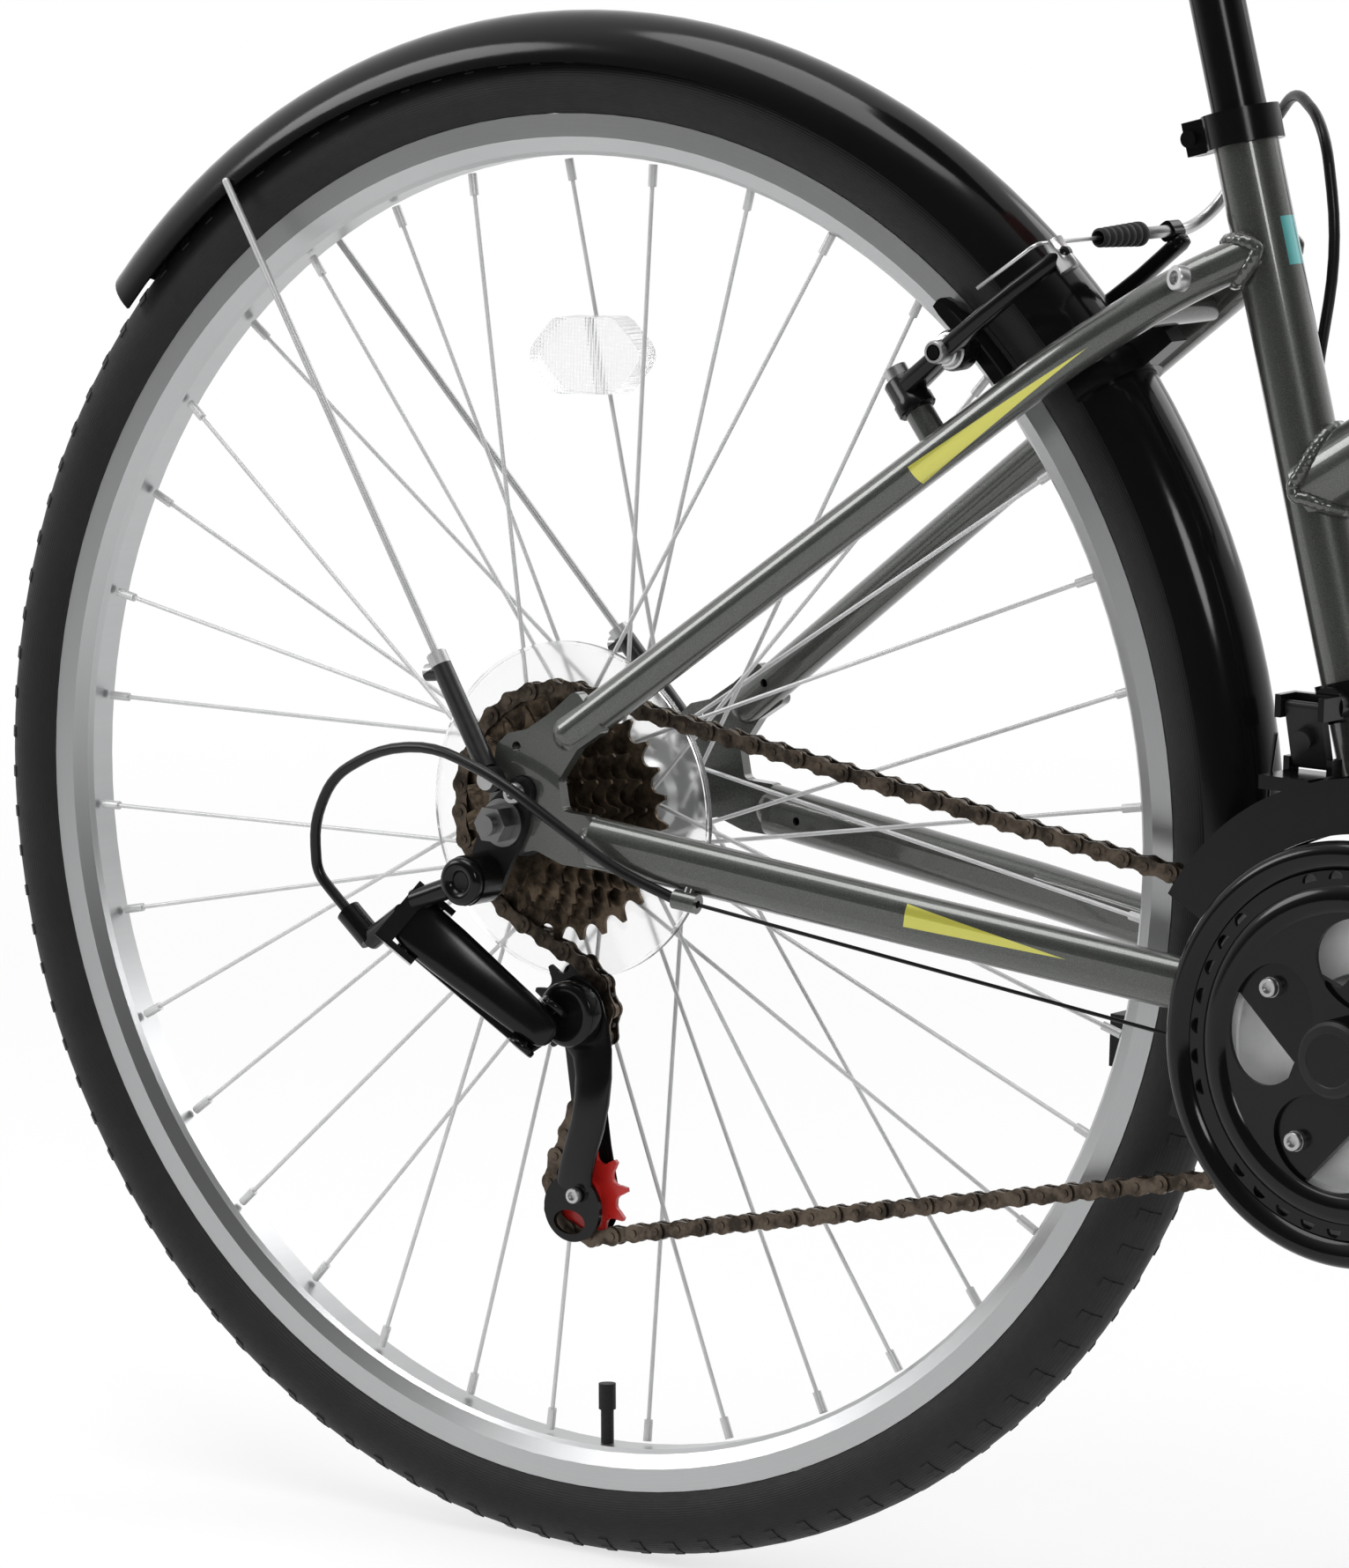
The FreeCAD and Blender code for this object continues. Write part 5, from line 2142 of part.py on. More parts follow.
def rear_reflector():
    """Red reflector on a band round the seatpost."""
    spot = SEAT_TOP + SEAT_DIR * POST_REFLECTOR_UP
    half = SEAT_DIR * (POST_BAND / 2)
    band = pipe(spot - half, spot + half, SEATPOST_D / 2 + POST_BAND_WALL, SEATPOST_D / 2 + SEAT_GAP / 2)
    back = SEAT_DIR.cross(LEFT)
    face = spot + back * POST_REFLECTOR_BACK
    arm = rod(spot + back * (SEATPOST_D / 2 + POST_BAND_WALL / 2), face, POST_BAND / 3)
    holder = band.fuse(arm).removeSplitter().cut(bore(spot - half, spot + half, SEATPOST_D / 2 + SEAT_GAP / 2))
    lens = block(face + back * (POST_REFLECTOR_DEEP / 2), LEFT, SEAT_DIR, back, POST_REFLECTOR_WIDTH,
                 POST_REFLECTOR_HEIGHT, POST_REFLECTOR_DEEP)
    return [holder, lens]


# Cables: every route is a list of points, measured from the rear wheel's centre or the bar's middle

def cord(name, points, diameter):
    """Cable or housing through the points, in straight runs and tangent arcs."""
    radii = corner_radii(points, False, 0)[1:-1]
    print(name, "arc radii", [round(radius, 1) for radius in radii])
    return bent(points, diameter / 2)


def routed(origin, places):
    """Points of a route from places measured from an origin."""
    return [origin + Vector(x, y, z) for x, y, z in places]


def gear_stop_end(side):
    """Front end of a gear cable's stop on the down tube."""
    place = down_stop_places()[0] if side > 0 else down_stop_places()[1]
    return place + DOWN_DIR * RUN_GAP


def rear_gear_housing():
    """Housing from the chain stay's stop, over the dropout and round to the derailleur's barrel."""
    stop = rear_point(CHAIN_STOP_X, -CHAIN_STOP_Y, CHAIN_STOP_Z)
    barrel = rear_point(BARREL_X, -BARREL_Y, BARREL_Z)
    along = Vector(CHAIN_STAY_MID_X - CHAIN_STAY_BACK_X, CHAIN_STAY_BACK_Y - CHAIN_STAY_MID_Y,
                   CHAIN_STAY_MID_Z - CHAIN_STAY_BACK_Z).normalize()
    points = [stop - along * (CABLE_STOP_LENGTH / 2 + RUN_GAP)]
    points += routed(REAR, REAR_GEAR_ROUTE)
    points += [barrel + barrel_way() * (BARREL_LENGTH * BARREL_LEAD_SHARE), barrel + barrel_way() * (BARREL_LENGTH / 2 + RUN_GAP)]
    return cord("rear gear housing", points, HOUSING_D)


def gear_cables():
    """Bare gear cables from the down tube's stops, under the bottom bracket, to the derailleurs."""
    stop = rear_point(CHAIN_STOP_X, -CHAIN_STOP_Y, CHAIN_STOP_Z)
    right = [down_stop_places()[1]] + routed(REAR, REAR_GEAR_WIRE_ROUTE) + [stop]
    anchor = (FD_PIVOT + FD_LOW) * 0.5 - FORWARD * (FD_ANCHOR_R * 3) - LEFT * FD_LINK_THICK
    left = [down_stop_places()[0]] + routed(REAR, FRONT_GEAR_WIRE_ROUTE) + [anchor]
    return [cord("rear gear cable", right, BRAKE_CABLE_D), cord("front gear cable", left, BRAKE_CABLE_D)]


def rear_brake_housing():
    """Housing from the top tube's front guide, through the back guide and up to the rear brake's noodle."""
    end = noodle_end(REAR_PIVOT, STAY_SLOPE, STAY_OUT, BRAKE_BOSS_REACH, 1)
    points = [top_stop_place(), top_back_stop_place() - TOP_DIR * CABLE_STOP_LENGTH]
    points += routed(REAR, REAR_BRAKE_ROUTE)
    points += [end + (STAY_SLOPE * NOODLE_UP + STAY_OUT * NOODLE_LIFT) * 0.5, end]
    return cord("rear brake housing", points, HOUSING_D)


def lever_outlet(side):
    """Inboard end of a brake lever's housing socket."""
    place = LEVER_PIVOT - BAR_DIR * (LEVER_PIVOT_D * LEVER_INLET_SHARE + FERRULE_LENGTH + RUN_GAP * 4)
    return Vector(place.x, -side * place.y, place.z)


def shifter_outlet(side):
    """Place under a shifter where its housing leaves."""
    place = BAR_END - BAR_DIR * (SHIFTER_AT + SHIFTER_LENGTH / 2) - UP * (SHIFTER_D / 2 + HOUSING_D)
    return Vector(place.x, -side * place.y, place.z)


def steering_cables():
    """Three housings that cross from the handlebar to the frame."""
    brake = [lever_outlet(1)] + routed(BAR_MIDDLE, BAR_BRAKE_ROUTE)
    brake += [top_stop_place() + TOP_DIR * (CABLE_STOP_LENGTH * 2), top_stop_place() + TOP_DIR * RUN_GAP]
    solids = [cord("rear brake housing, front", brake, HOUSING_D)]
    for side in (-1, 1):
        route = [(x, side * y, z) for x, y, z in BAR_GEAR_ROUTE]
        end = gear_stop_end(side)
        points = [shifter_outlet(side)] + routed(BAR_MIDDLE, route)
        points += [end + DOWN_DIR * (CABLE_STOP_LENGTH * 4), end]
        solids.append(cord("gear housing, front", points, HOUSING_D))
    return solids


def front_brake_cable():
    """Housing from the right lever to the front brake's noodle."""
    end = noodle_end(FRONT_PIVOT, STEER_DIR, STEER_FORWARD, FORK_BOSS_REACH, -1)
    points = [lever_outlet(-1)] + routed(BAR_MIDDLE, FRONT_BRAKE_ROUTE)
    points += [end + STEER_DIR * NOODLE_UP + STEER_FORWARD * NOODLE_LIFT, end]
    return cord("front brake housing", points, HOUSING_D)


os.makedirs("parts", exist_ok=True)

save("main_frame", [main_frame()])
save("rear_triangle", [rear_triangle()])
save("seat_clamp", seat_clamp())
save("headset_cups", headset())
save("bottom_bracket", bottom_bracket())
save("rear_axle", rear_axle())
save("derailleur_hanger", [derailleur_hanger()])
save("frame_bolts", frame_bolts())
save("rear_mudguard", rear_mudguard())
save("rear_mudguard_stays", guard_wires(REAR, GUARD_WIRE_DEG, guard_eyelet(-1), True))
save("frame_cables", [rear_gear_housing()] + gear_cables() + [rear_brake_housing()])
save("chain", chain())

save("rear_tyre", [tyre(REAR)] + valve(REAR))
save("rear_rim", [rim(REAR)])
save("rear_spokes", spokes(REAR, REAR_FLANGE_LEFT, REAR_FLANGE_RIGHT))
save("rear_hub", [rear_hub()])
save("spoke_protector", [spoke_protector()])
save("wheel_reflector", [wheel_reflector()])
save("sprockets", [sprockets()])

save("right_crank", right_crank())
save("left_crank", left_crank() + [crank_axle()])
save("chainrings", chainrings())
save("chain_guard", [chain_guard()])
save("chainring_bolts", chainring_bolts())
save("right_pedal", [pedal(-1)])
save("left_pedal", [pedal(1)])

save("derailleur_base", [derailleur_base()])
save("derailleur_outer_link", [outer_link()])
save("derailleur_inner_link", [inner_link()])
save("derailleur_knuckle", [cage_knuckle()])
save("derailleur_cage", derailleur_cage())
save("guide_pulley", [pulley(GUIDE, seat_phase(2))])
save("tension_pulley", [pulley(TENSION, seat_phase(3))])
save("front_derailleur_clamp", [front_derailleur_clamp()])
save("front_derailleur_link", [front_derailleur_link()])
save("front_derailleur_cage", [front_derailleur_cage()])

save("rear_brake_arm_right", brake_arm(REAR_PIVOT, STAY_SLOPE, STAY_OUT, BRAKE_BOSS_REACH, REAR, -1, True))
save("rear_brake_arm_left", brake_arm(REAR_PIVOT, STAY_SLOPE, STAY_OUT, BRAKE_BOSS_REACH, REAR, 1, False))
save("front_brake_arm_right", brake_arm(FRONT_PIVOT, STEER_DIR, STEER_FORWARD, FORK_BOSS_REACH, FRONT, -1, False))
save("front_brake_arm_left", brake_arm(FRONT_PIVOT, STEER_DIR, STEER_FORWARD, FORK_BOSS_REACH, FRONT, 1, True))

save("fork", [fork()])
save("stem", stem())
save("handlebar", [handlebar()])
save("grips", grips())
save("lever_brackets", [lever_bracket(), mirrored(lever_bracket())])
save("right_brake_lever", [brake_lever()])
save("left_brake_lever", [mirrored(brake_lever())])
save("right_shifter", [shifter()])
save("left_shifter", [mirrored(shifter())])
save("front_mudguard", front_mudguard())
save("front_axle", front_axle())
save("front_brake_cable", [front_brake_cable()])
save("steering_cables", steering_cables())

save("front_tyre", [tyre(FRONT)] + valve(FRONT))
save("front_rim", [rim(FRONT)])
save("front_spokes", spokes(FRONT, FRONT_FLANGE, FRONT_FLANGE))
save("front_hub", [front_hub()])

save("seatpost", [seatpost()])
save("saddle", saddle())
save("rear_reflector", rear_reflector())
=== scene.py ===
# %% [markdown]
# A hybrid bike, dressed for its picture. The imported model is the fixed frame: every tube, wheel and lever
# is already at its real place and size. This lesson adds what metal and rubber look like, and the small
# forms that repeat, such as tread blocks, weld ripples, chain links and screws.

# %% Load the frame
import json
import math
import bmesh
import bpy
from mathutils import Matrix, Vector
from mathutils.geometry import delaunay_2d_cdt


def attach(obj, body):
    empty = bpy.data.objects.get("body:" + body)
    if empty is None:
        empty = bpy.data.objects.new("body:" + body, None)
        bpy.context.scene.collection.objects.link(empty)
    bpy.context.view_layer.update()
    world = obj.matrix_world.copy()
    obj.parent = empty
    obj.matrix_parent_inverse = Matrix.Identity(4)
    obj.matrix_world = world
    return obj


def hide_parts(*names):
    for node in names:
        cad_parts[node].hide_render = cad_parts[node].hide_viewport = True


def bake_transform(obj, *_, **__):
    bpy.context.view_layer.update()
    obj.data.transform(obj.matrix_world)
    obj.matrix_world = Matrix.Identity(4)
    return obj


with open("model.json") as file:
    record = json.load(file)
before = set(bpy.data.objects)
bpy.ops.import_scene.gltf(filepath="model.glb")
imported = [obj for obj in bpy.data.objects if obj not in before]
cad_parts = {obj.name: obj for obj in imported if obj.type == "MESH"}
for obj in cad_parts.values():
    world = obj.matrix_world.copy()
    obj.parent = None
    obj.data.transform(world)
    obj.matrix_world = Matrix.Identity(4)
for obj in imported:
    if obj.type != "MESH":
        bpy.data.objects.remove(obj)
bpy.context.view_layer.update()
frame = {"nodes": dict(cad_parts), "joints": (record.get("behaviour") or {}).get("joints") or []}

NODES = frame["nodes"]
JOINTS = {joint["name"]: joint for joint in frame["joints"]}
SCENE = bpy.context.scene
LEFT = Vector((0, 1, 0))
RIGHT = -LEFT
UP = Vector((0, 0, 1))
AHEAD = Vector((1, 0, 0))
ORIGIN = Vector()


def joint_at(name):
    return Vector(JOINTS[name]["pos_m"])


REAR = joint_at("rear_wheel")
FRONT = joint_at("front_wheel")
CRANK = joint_at("crank")
SEAT_AXIS = Vector((-0.2706, 0.0, 0.9627))
SEAT_SIDE = Vector((0.9627, 0.0, 0.2706))

# %% [markdown]
# The picture was taken with a long lens from the rear right, a little above the axles and with a slight
# roll. The camera aims at a point by the rear hub, so all its numbers are measured from that wheel.

# %% Camera
CAMERA_AZIMUTH_DEG = 35.71
CAMERA_ELEVATION_DEG = 8.36
CAMERA_ROLL_DEG = 1.43
CAMERA_DISTANCE = 4.005
CAMERA_AIM = REAR + Vector((0.03915, 0.0, 0.01361))
CAMERA_LENS = 201.98
CAMERA_REACH = 100.0
SENSOR = 36.0

azimuth = math.radians(CAMERA_AZIMUTH_DEG)
elevation = math.radians(CAMERA_ELEVATION_DEG)
roll = math.radians(CAMERA_ROLL_DEG)
to_camera = Vector((math.sin(azimuth) * math.cos(elevation), -math.cos(azimuth) * math.cos(elevation),
                    math.sin(elevation)))
flat_right = Vector((math.cos(azimuth), math.sin(azimuth), 0))
flat_up = to_camera.cross(flat_right)
camera_right = flat_right * math.cos(roll) + flat_up * math.sin(roll)
camera_up = to_camera.cross(camera_right)
camera_turn = Matrix((camera_right, camera_up, to_camera)).transposed().to_4x4()
camera_data = bpy.data.cameras.new("camera")
camera_data.lens = CAMERA_LENS
camera_data.sensor_width = SENSOR
camera_data.clip_end = CAMERA_REACH
camera = bpy.data.objects.new("camera", camera_data)
camera.matrix_world = Matrix.Translation(CAMERA_AIM + to_camera * CAMERA_DISTANCE) @ camera_turn
SCENE.collection.objects.link(camera)
SCENE.camera = camera
SCENE.view_settings.view_transform = "Standard"
print("camera at", camera.location)

# %% [markdown]
# Node trees are easier to read as Python than as boxes and wires. One class builds any tree, another wraps
# one socket, so that the usual operators add Math nodes behind it. A third holds a material while it is
# being made.

# %% Shader maths

class Graph:
    """A node tree under construction."""

    def __init__(self, tree):
        self.tree = tree

    def plug(self, value, socket):
        """Link a value to a socket, or set the socket to a plain value."""
        if isinstance(value, Value):
            self.tree.links.new(value.socket, socket)
        else:
            socket.default_value = value

    def node(self, kind, settings, values, output=0):
        """Any node: its settings first, then the values of its sockets."""
        made = self.tree.nodes.new(kind)
        for name, setting in settings.items():
            setattr(made, name, setting)
        for name, value in values.items():
            self.plug(value, made.inputs[name])
        return Value(self, made.outputs[output])

    def maths(self, operation, *values):
        return self.node("ShaderNodeMath", {"operation": operation}, dict(enumerate(values)))

    def vector(self, operation, *values, output=0):
        return self.node("ShaderNodeVectorMath", {"operation": operation}, dict(enumerate(values)), output)

    def scaled(self, vector, factor):
        return self.node("ShaderNodeVectorMath", {"operation": "SCALE"}, {"Vector": vector, "Scale": factor})

    def step(self, value, low, high, first=0.0, last=1.0):
        """Smooth step from a first value at low to a last value at high."""
        return self.node("ShaderNodeMapRange", {"interpolation_type": "SMOOTHSTEP"},
                         {"Value": value, "From Min": low, "From Max": high, "To Min": first, "To Max": last})


class Value:
    """One socket of a tree, on which plain arithmetic works."""

    def __init__(self, graph, socket):
        self.graph = graph
        self.socket = socket

    def __add__(self, other):
        return self.graph.maths("ADD", self, other)

    def __sub__(self, other):
        return self.graph.maths("SUBTRACT", self, other)

    def __rsub__(self, other):
        return self.graph.maths("SUBTRACT", other, self)

    def __mul__(self, other):
        return self.graph.maths("MULTIPLY", self, other)

    def __truediv__(self, other):
        return self.graph.maths("DIVIDE", self, other)

    def sine(self):
        return self.graph.maths("SINE", self)

    def size(self):
        return self.graph.maths("ABSOLUTE", self)

    def most(self, other):
        return self.graph.maths("MAXIMUM", self, other)


class Finish(Graph):
    """A material under construction, with its main shader and helpers for its pattern."""

    def __init__(self, name, **constants):
        self.material = bpy.data.materials.new(name)
        self.material.use_nodes = True
        super().__init__(self.material.node_tree)
        self.shader = self.tree.nodes["Principled BSDF"]
        for words, value in constants.items():
            self.shader.inputs[words.replace("_", " ")].default_value = value
        self.place = self.node("ShaderNodeTexCoord", {}, {}, "Object")

    def feed(self, name, value):
        self.plug(value, self.shader.inputs[name])

    def noise(self, scale, detail, rough=0.5):
        return self.node("ShaderNodeTexNoise", {}, {"Scale": scale, "Detail": detail, "Roughness": rough,
                                                    "Vector": self.place})

    def along(self, centre, axis):
        """Distance from a centre along an axis."""
        moved = self.vector("SUBTRACT", self.place, centre)
        return self.vector("DOT_PRODUCT", moved, axis, output="Value")

    def from_axis(self, centre, axis):
        """Distance from a line through a centre."""
        moved = self.vector("SUBTRACT", self.place, centre)
        return self.vector("LENGTH", self.vector("CROSS_PRODUCT", moved, axis), output="Value")

    def band(self, value, low, high, soft):
        """1 between low and high, with soft edges."""
        return self.step(value, low - soft, low) * (1 - self.step(value, high, high + soft))

    def spread(self, value, low, high):
        """A 0 to 1 value brought to a range."""
        return self.node("ShaderNodeMapRange", {}, {"Value": value, "To Min": low, "To Max": high})

    def mix(self, factor, first, second):
        """Colour between two colours."""
        return self.node("ShaderNodeMix", {"data_type": "RGBA"}, {0: factor, 6: first, 7: second}, 2)

    def bump(self, height, depth, strength):
        values = {"Height": height, "Distance": depth, "Strength": strength}
        self.feed("Normal", self.node("ShaderNodeBump", {}, values))


def dress(finish, *names):
    """Give CAD nodes their material."""
    for name in names:
        for slot in NODES[name].material_slots:
            slot.material = finish.material


def grey(level, tint=0.0):
    """A neutral colour, a little cooler with a positive tint."""
    return (level * (1 - tint), level, level * (1 + tint), 1.0)


# %% [markdown]
# The frame is sprayed gunmetal with a green cast under clear lacquer. Fine aluminium flakes make it
# sparkle, the lacquer has a slight ripple, and small printed wedges follow the right stays. The flakes are
# a noise far smaller than a pixel on the whole bike, the wedges are masks measured along the tubes.

# %% Frame paint
PAINT = (0.082, 0.087, 0.078, 1.0)
PAINT_DARK = (0.048, 0.052, 0.047, 1.0)
PAINT_LIGHT = (0.128, 0.134, 0.122, 1.0)
FLAKE_SCALE = 2600.0
CLOUD_SCALE = 9.0
RIPPLE_SCALE = 420.0
RIPPLE_DEPTH = 0.00004
PRINT_YELLOW = (0.62, 0.60, 0.10, 1.0)
PRINT_TEAL = (0.10, 0.42, 0.42, 1.0)
BADGE_LOW = 0.337
BADGE_HIGH = 0.358
BADGE_HALF = 0.0055
BADGE_REACH = 0.0165
PRINT_EDGE = 0.0003
WEDGE_EDGE = 0.0002
WEDGE_FOOT_SHARE = 0.002
OUTSIDE_FROM = 0.0010
OUTSIDE_TO = 0.0015
# Foot from the rear hub, ways along and across the stay, length, half width, drift across.
WEDGES = [
    ((0.20352, -0.0485, 0.17276), (0.7858, 0.0921, 0.6116), (-0.6142, 0.0, 0.7892), 0.1041, 0.0046, -0.0011),
    ((0.20938, -0.0549, -0.01972), (0.9840, 0.1361, -0.1151), (0.1162, 0.0, 0.9932), 0.0810, 0.0052, -0.0026),
]


def frame_paint(name):
    """Gunmetal paint under lacquer."""
    paint = Finish(name, Metallic=0.55, Coat_Weight=1.0, Coat_Roughness=0.06)
    flake = paint.noise(FLAKE_SCALE, 1.0)
    cloud = paint.noise(CLOUD_SCALE, 3.0)
    dark = paint.mix(paint.step(flake, 0.35, 0.62), PAINT_DARK, PAINT)
    paint.colour = paint.mix(paint.step(flake, 0.60, 0.78) * 0.7, dark, PAINT_LIGHT)
    paint.feed("Base Color", paint.colour)
    paint.feed("Roughness", paint.spread(cloud, 0.28, 0.40))
    paint.bump(paint.noise(RIPPLE_SCALE, 1.0), RIPPLE_DEPTH, 0.35)
    return paint


def printed(paint, mask, colour):
    """Flat print under the lacquer."""
    paint.colour = paint.mix(mask, paint.colour, colour)
    paint.feed("Base Color", paint.colour)


def wedge(paint, foot, along, across, length, half, drift):
    """Mask of a tapered wedge on the outside of a right stay, widest at its foot."""
    out = along.cross(across)
    far = paint.along(foot, along) / length
    side = paint.along(foot, across) - far * drift
    inside = paint.step((1 - far) * half - side.size(), 0.0, WEDGE_EDGE)
    outside = paint.step(paint.along(foot, out), OUTSIDE_FROM, OUTSIDE_TO)
    return inside * paint.step(far, 0.0, WEDGE_FOOT_SHARE) * outside


tube_paint = frame_paint("gunmetal_paint")
dress(tube_paint, "main_frame", "fork")
up_seat = tube_paint.along(CRANK, SEAT_AXIS)
off_middle = tube_paint.along(ORIGIN, LEFT).size()
to_front = tube_paint.along(CRANK, SEAT_SIDE)
badge = tube_paint.band(up_seat, BADGE_LOW, BADGE_HIGH, PRINT_EDGE)
badge = badge * (1 - tube_paint.step(off_middle, BADGE_HALF, BADGE_HALF + PRINT_EDGE))
printed(tube_paint, badge * tube_paint.band(to_front, 0.0, BADGE_REACH, PRINT_EDGE), PRINT_TEAL)
weld_paint = frame_paint("gunmetal_paint_on_welds")
stay_paint = frame_paint("gunmetal_paint_with_wedges")
dress(stay_paint, "rear_triangle")
for foot, along, across, *measures in WEDGES:
    mask = wedge(stay_paint, REAR + Vector(foot), Vector(along), Vector(across), *measures)
    printed(stay_paint, mask, PRINT_YELLOW)
print("frame painted")

# %% [markdown]
# Black parts differ more than they seem to. Mudguards are gloss moulded plastic, brake arms are gloss
# enamel, nuts and the gear hanger are dull steel, the housings are smooth vinyl and the saddle's cover has
# a fine grain.

# %% Black finishes
WEAR_SCALE = 26.0
SHEEN_SCALE = 60.0
BLACK_GRAIN = 900.0
BLACK_DEPTH = 0.00002


def black(name, level, rough, spread, metal=0.0, grain=BLACK_GRAIN, depth=BLACK_DEPTH):
    """A black finish with faint cloudy wear and fine grain."""
    made = Finish(name, Metallic=metal, Specular_IOR_Level=0.24)
    cloud = made.noise(WEAR_SCALE, 4.0, 0.6)
    made.feed("Base Color", made.mix(cloud, grey(level * 0.8), grey(level * 1.25)))
    made.feed("Roughness", made.spread(made.noise(SHEEN_SCALE, 3.0), rough - spread, rough + spread))
    made.bump(made.noise(grain, 2.0), depth, 0.4)
    return made


guard_black = black("mudguard_gloss_black", 0.004, 0.12, 0.03)
dress(guard_black, "rear_mudguard", "front_mudguard", "chain_guard")
enamel_black = black("gloss_black_enamel", 0.004, 0.18, 0.05)
dress(enamel_black, "seat_clamp", "right_crank", "left_crank", "derailleur_base", "derailleur_outer_link",
      "derailleur_knuckle", "front_derailleur_clamp", "stem", "handlebar", "lever_brackets",
      "right_brake_lever", "left_brake_lever", "seatpost", "rear_brake_arm_right", "rear_brake_arm_left",
      "front_brake_arm_right", "front_brake_arm_left", "front_derailleur_cage")
dull_steel = black("dull_black_steel", 0.013, 0.34, 0.08, metal=0.3)
dress(dull_steel, "headset_cups", "bottom_bracket", "derailleur_hanger",
      "derailleur_inner_link", "derailleur_cage", "front_derailleur_link")
moulded_black = black("moulded_black", 0.012, 0.46, 0.06, grain=1600.0, depth=0.00006)
dress(moulded_black, "right_pedal", "left_pedal", "guide_pulley", "right_shifter", "left_shifter")
housing_black = black("cable_housing_black", 0.008, 0.28, 0.04)
dress(housing_black, "frame_cables", "steering_cables", "front_brake_cable")
grip_rubber = black("grip_rubber", 0.024, 0.62, 0.08, grain=2200.0, depth=0.00010)
dress(grip_rubber, "grips")
saddle_cover = black("saddle_cover_black", 0.016, 0.46, 0.06, grain=1400.0, depth=0.00018)
dress(saddle_cover, "saddle")
print("black parts done")

# %% [markdown]
# The tyre's side has fine moulded rings, which a wave of the distance from the axle gives. Rubber is never
# quite black: dust in the rings greys it a little.

# %% Tyre rubber
RINGS_PER_METRE = 900.0
DUST_SCALE = 38.0
RUBBER_SCALE = 240.0
RUBBER_GRAIN = 1800.0
RING_DEPTH = 0.00016


def tyre_rubber(name, centre):
    """Dusty black rubber with rings about an axle."""
    rubber = Finish(name, Specular_IOR_Level=0.26)
    rings = (rubber.from_axis(centre, LEFT) * (RINGS_PER_METRE * 2 * math.pi)).sine()
    dust = rubber.noise(DUST_SCALE, 5.0, 0.65)
    rubber.feed("Base Color", rubber.mix(dust, grey(0.006), grey(0.015)))
    rubber.feed("Roughness", rubber.spread(rubber.noise(RUBBER_SCALE, 3.0), 0.50, 0.68))
    rubber.bump(rings * 0.5 + rubber.noise(RUBBER_GRAIN, 2.0) * 0.6, RING_DEPTH, 0.6)
    return rubber


rear_rubber = tyre_rubber("rear_tyre_rubber", REAR)
dress(rear_rubber, "rear_tyre")
front_rubber = tyre_rubber("front_tyre_rubber", FRONT)
dress(front_rubber, "front_tyre")

# %% [markdown]
# The rim is anodised alloy with a machined brake track, on which the cutter leaves rings about the axle.
# Spokes and bolts are plated steel, the hubs are turned alloy like the rims. The mudguard's wire stays end
# in black sleeves.

# %% Silver finishes
SLEEVE_END = 0.0790
CUT_SCALE = 2600.0
CUT_DEPTH = 0.00005
DULL_SCALE = 14.0
PLATE_SCALE = 70.0
POLISH_SCALE = 300.0
SCRATCH_SCALE = 1200.0
SCRATCH_DEPTH = 0.00003
BRIGHTEST = 0.95


def turned_alloy(name, centre, level, rough):
    """Alloy with fine rings about an axle."""
    alloy = Finish(name, Metallic=1.0)
    ring = alloy.node("ShaderNodeTexNoise", {"noise_dimensions": "1D"},
                      {"W": alloy.from_axis(centre, LEFT), "Scale": CUT_SCALE, "Detail": 3.0})
    cloud = alloy.noise(DULL_SCALE, 4.0, 0.6)
    colour = alloy.mix(ring, grey(level * 0.82, 0.01), grey(min(level * 1.12, BRIGHTEST), 0.01))
    alloy.feed("Base Color", alloy.mix(cloud * 0.4, colour, grey(level * 0.7, 0.015)))
    alloy.feed("Roughness", alloy.spread(ring, rough - 0.06, rough + 0.10))
    alloy.bump(ring, CUT_DEPTH, 0.35)
    return alloy


def bright_steel(name, level, rough, metal=1.0, scratched=True):
    """Plain plated steel, mostly with small scratches."""
    steel = Finish(name, Metallic=metal)
    cloud = steel.noise(PLATE_SCALE, 4.0, 0.6)
    steel.colour = steel.mix(cloud, grey(level * 0.8, 0.01), grey(min(level * 1.1, BRIGHTEST)))
    steel.feed("Base Color", steel.colour)
    steel.feed("Roughness", steel.spread(steel.noise(POLISH_SCALE, 3.0), rough - 0.05, rough + 0.08))
    if scratched:
        steel.bump(steel.noise(SCRATCH_SCALE, 2.0), SCRATCH_DEPTH, 0.3)
    return steel


dress(turned_alloy("rear_rim_alloy", REAR, 0.52, 0.32), "rear_rim", "rear_hub")
dress(turned_alloy("front_rim_alloy", FRONT, 0.52, 0.32), "front_rim", "front_hub")
zinc = bright_steel("bright_zinc", 0.55, 0.34)
dress(bright_steel("ring_alloy", 0.74, 0.42, 0.2), "chainrings")
dress(zinc, "frame_bolts", "chainring_bolts")
dress(bright_steel("axle_steel", 0.24, 0.32), "rear_axle", "front_axle")
dress(bright_steel("spoke_steel", 0.62, 0.40, 0.4, scratched=False), "rear_spokes", "front_spokes")
stay_wire = bright_steel("stay_wire", 0.46, 0.32, 0.5)
dress(stay_wire, "rear_mudguard_stays")
beyond_sleeve = stay_wire.step(stay_wire.from_axis(REAR, LEFT), SLEEVE_END, SLEEVE_END + PRINT_EDGE)
stay_wire.feed("Base Color", stay_wire.mix(beyond_sleeve, grey(0.006), stay_wire.colour))
stay_wire.feed("Metallic", beyond_sleeve * 0.5)

# %% [markdown]
# Sprockets and chain are plain steel under brown oil. Oil gathers as darker, smoother patches.

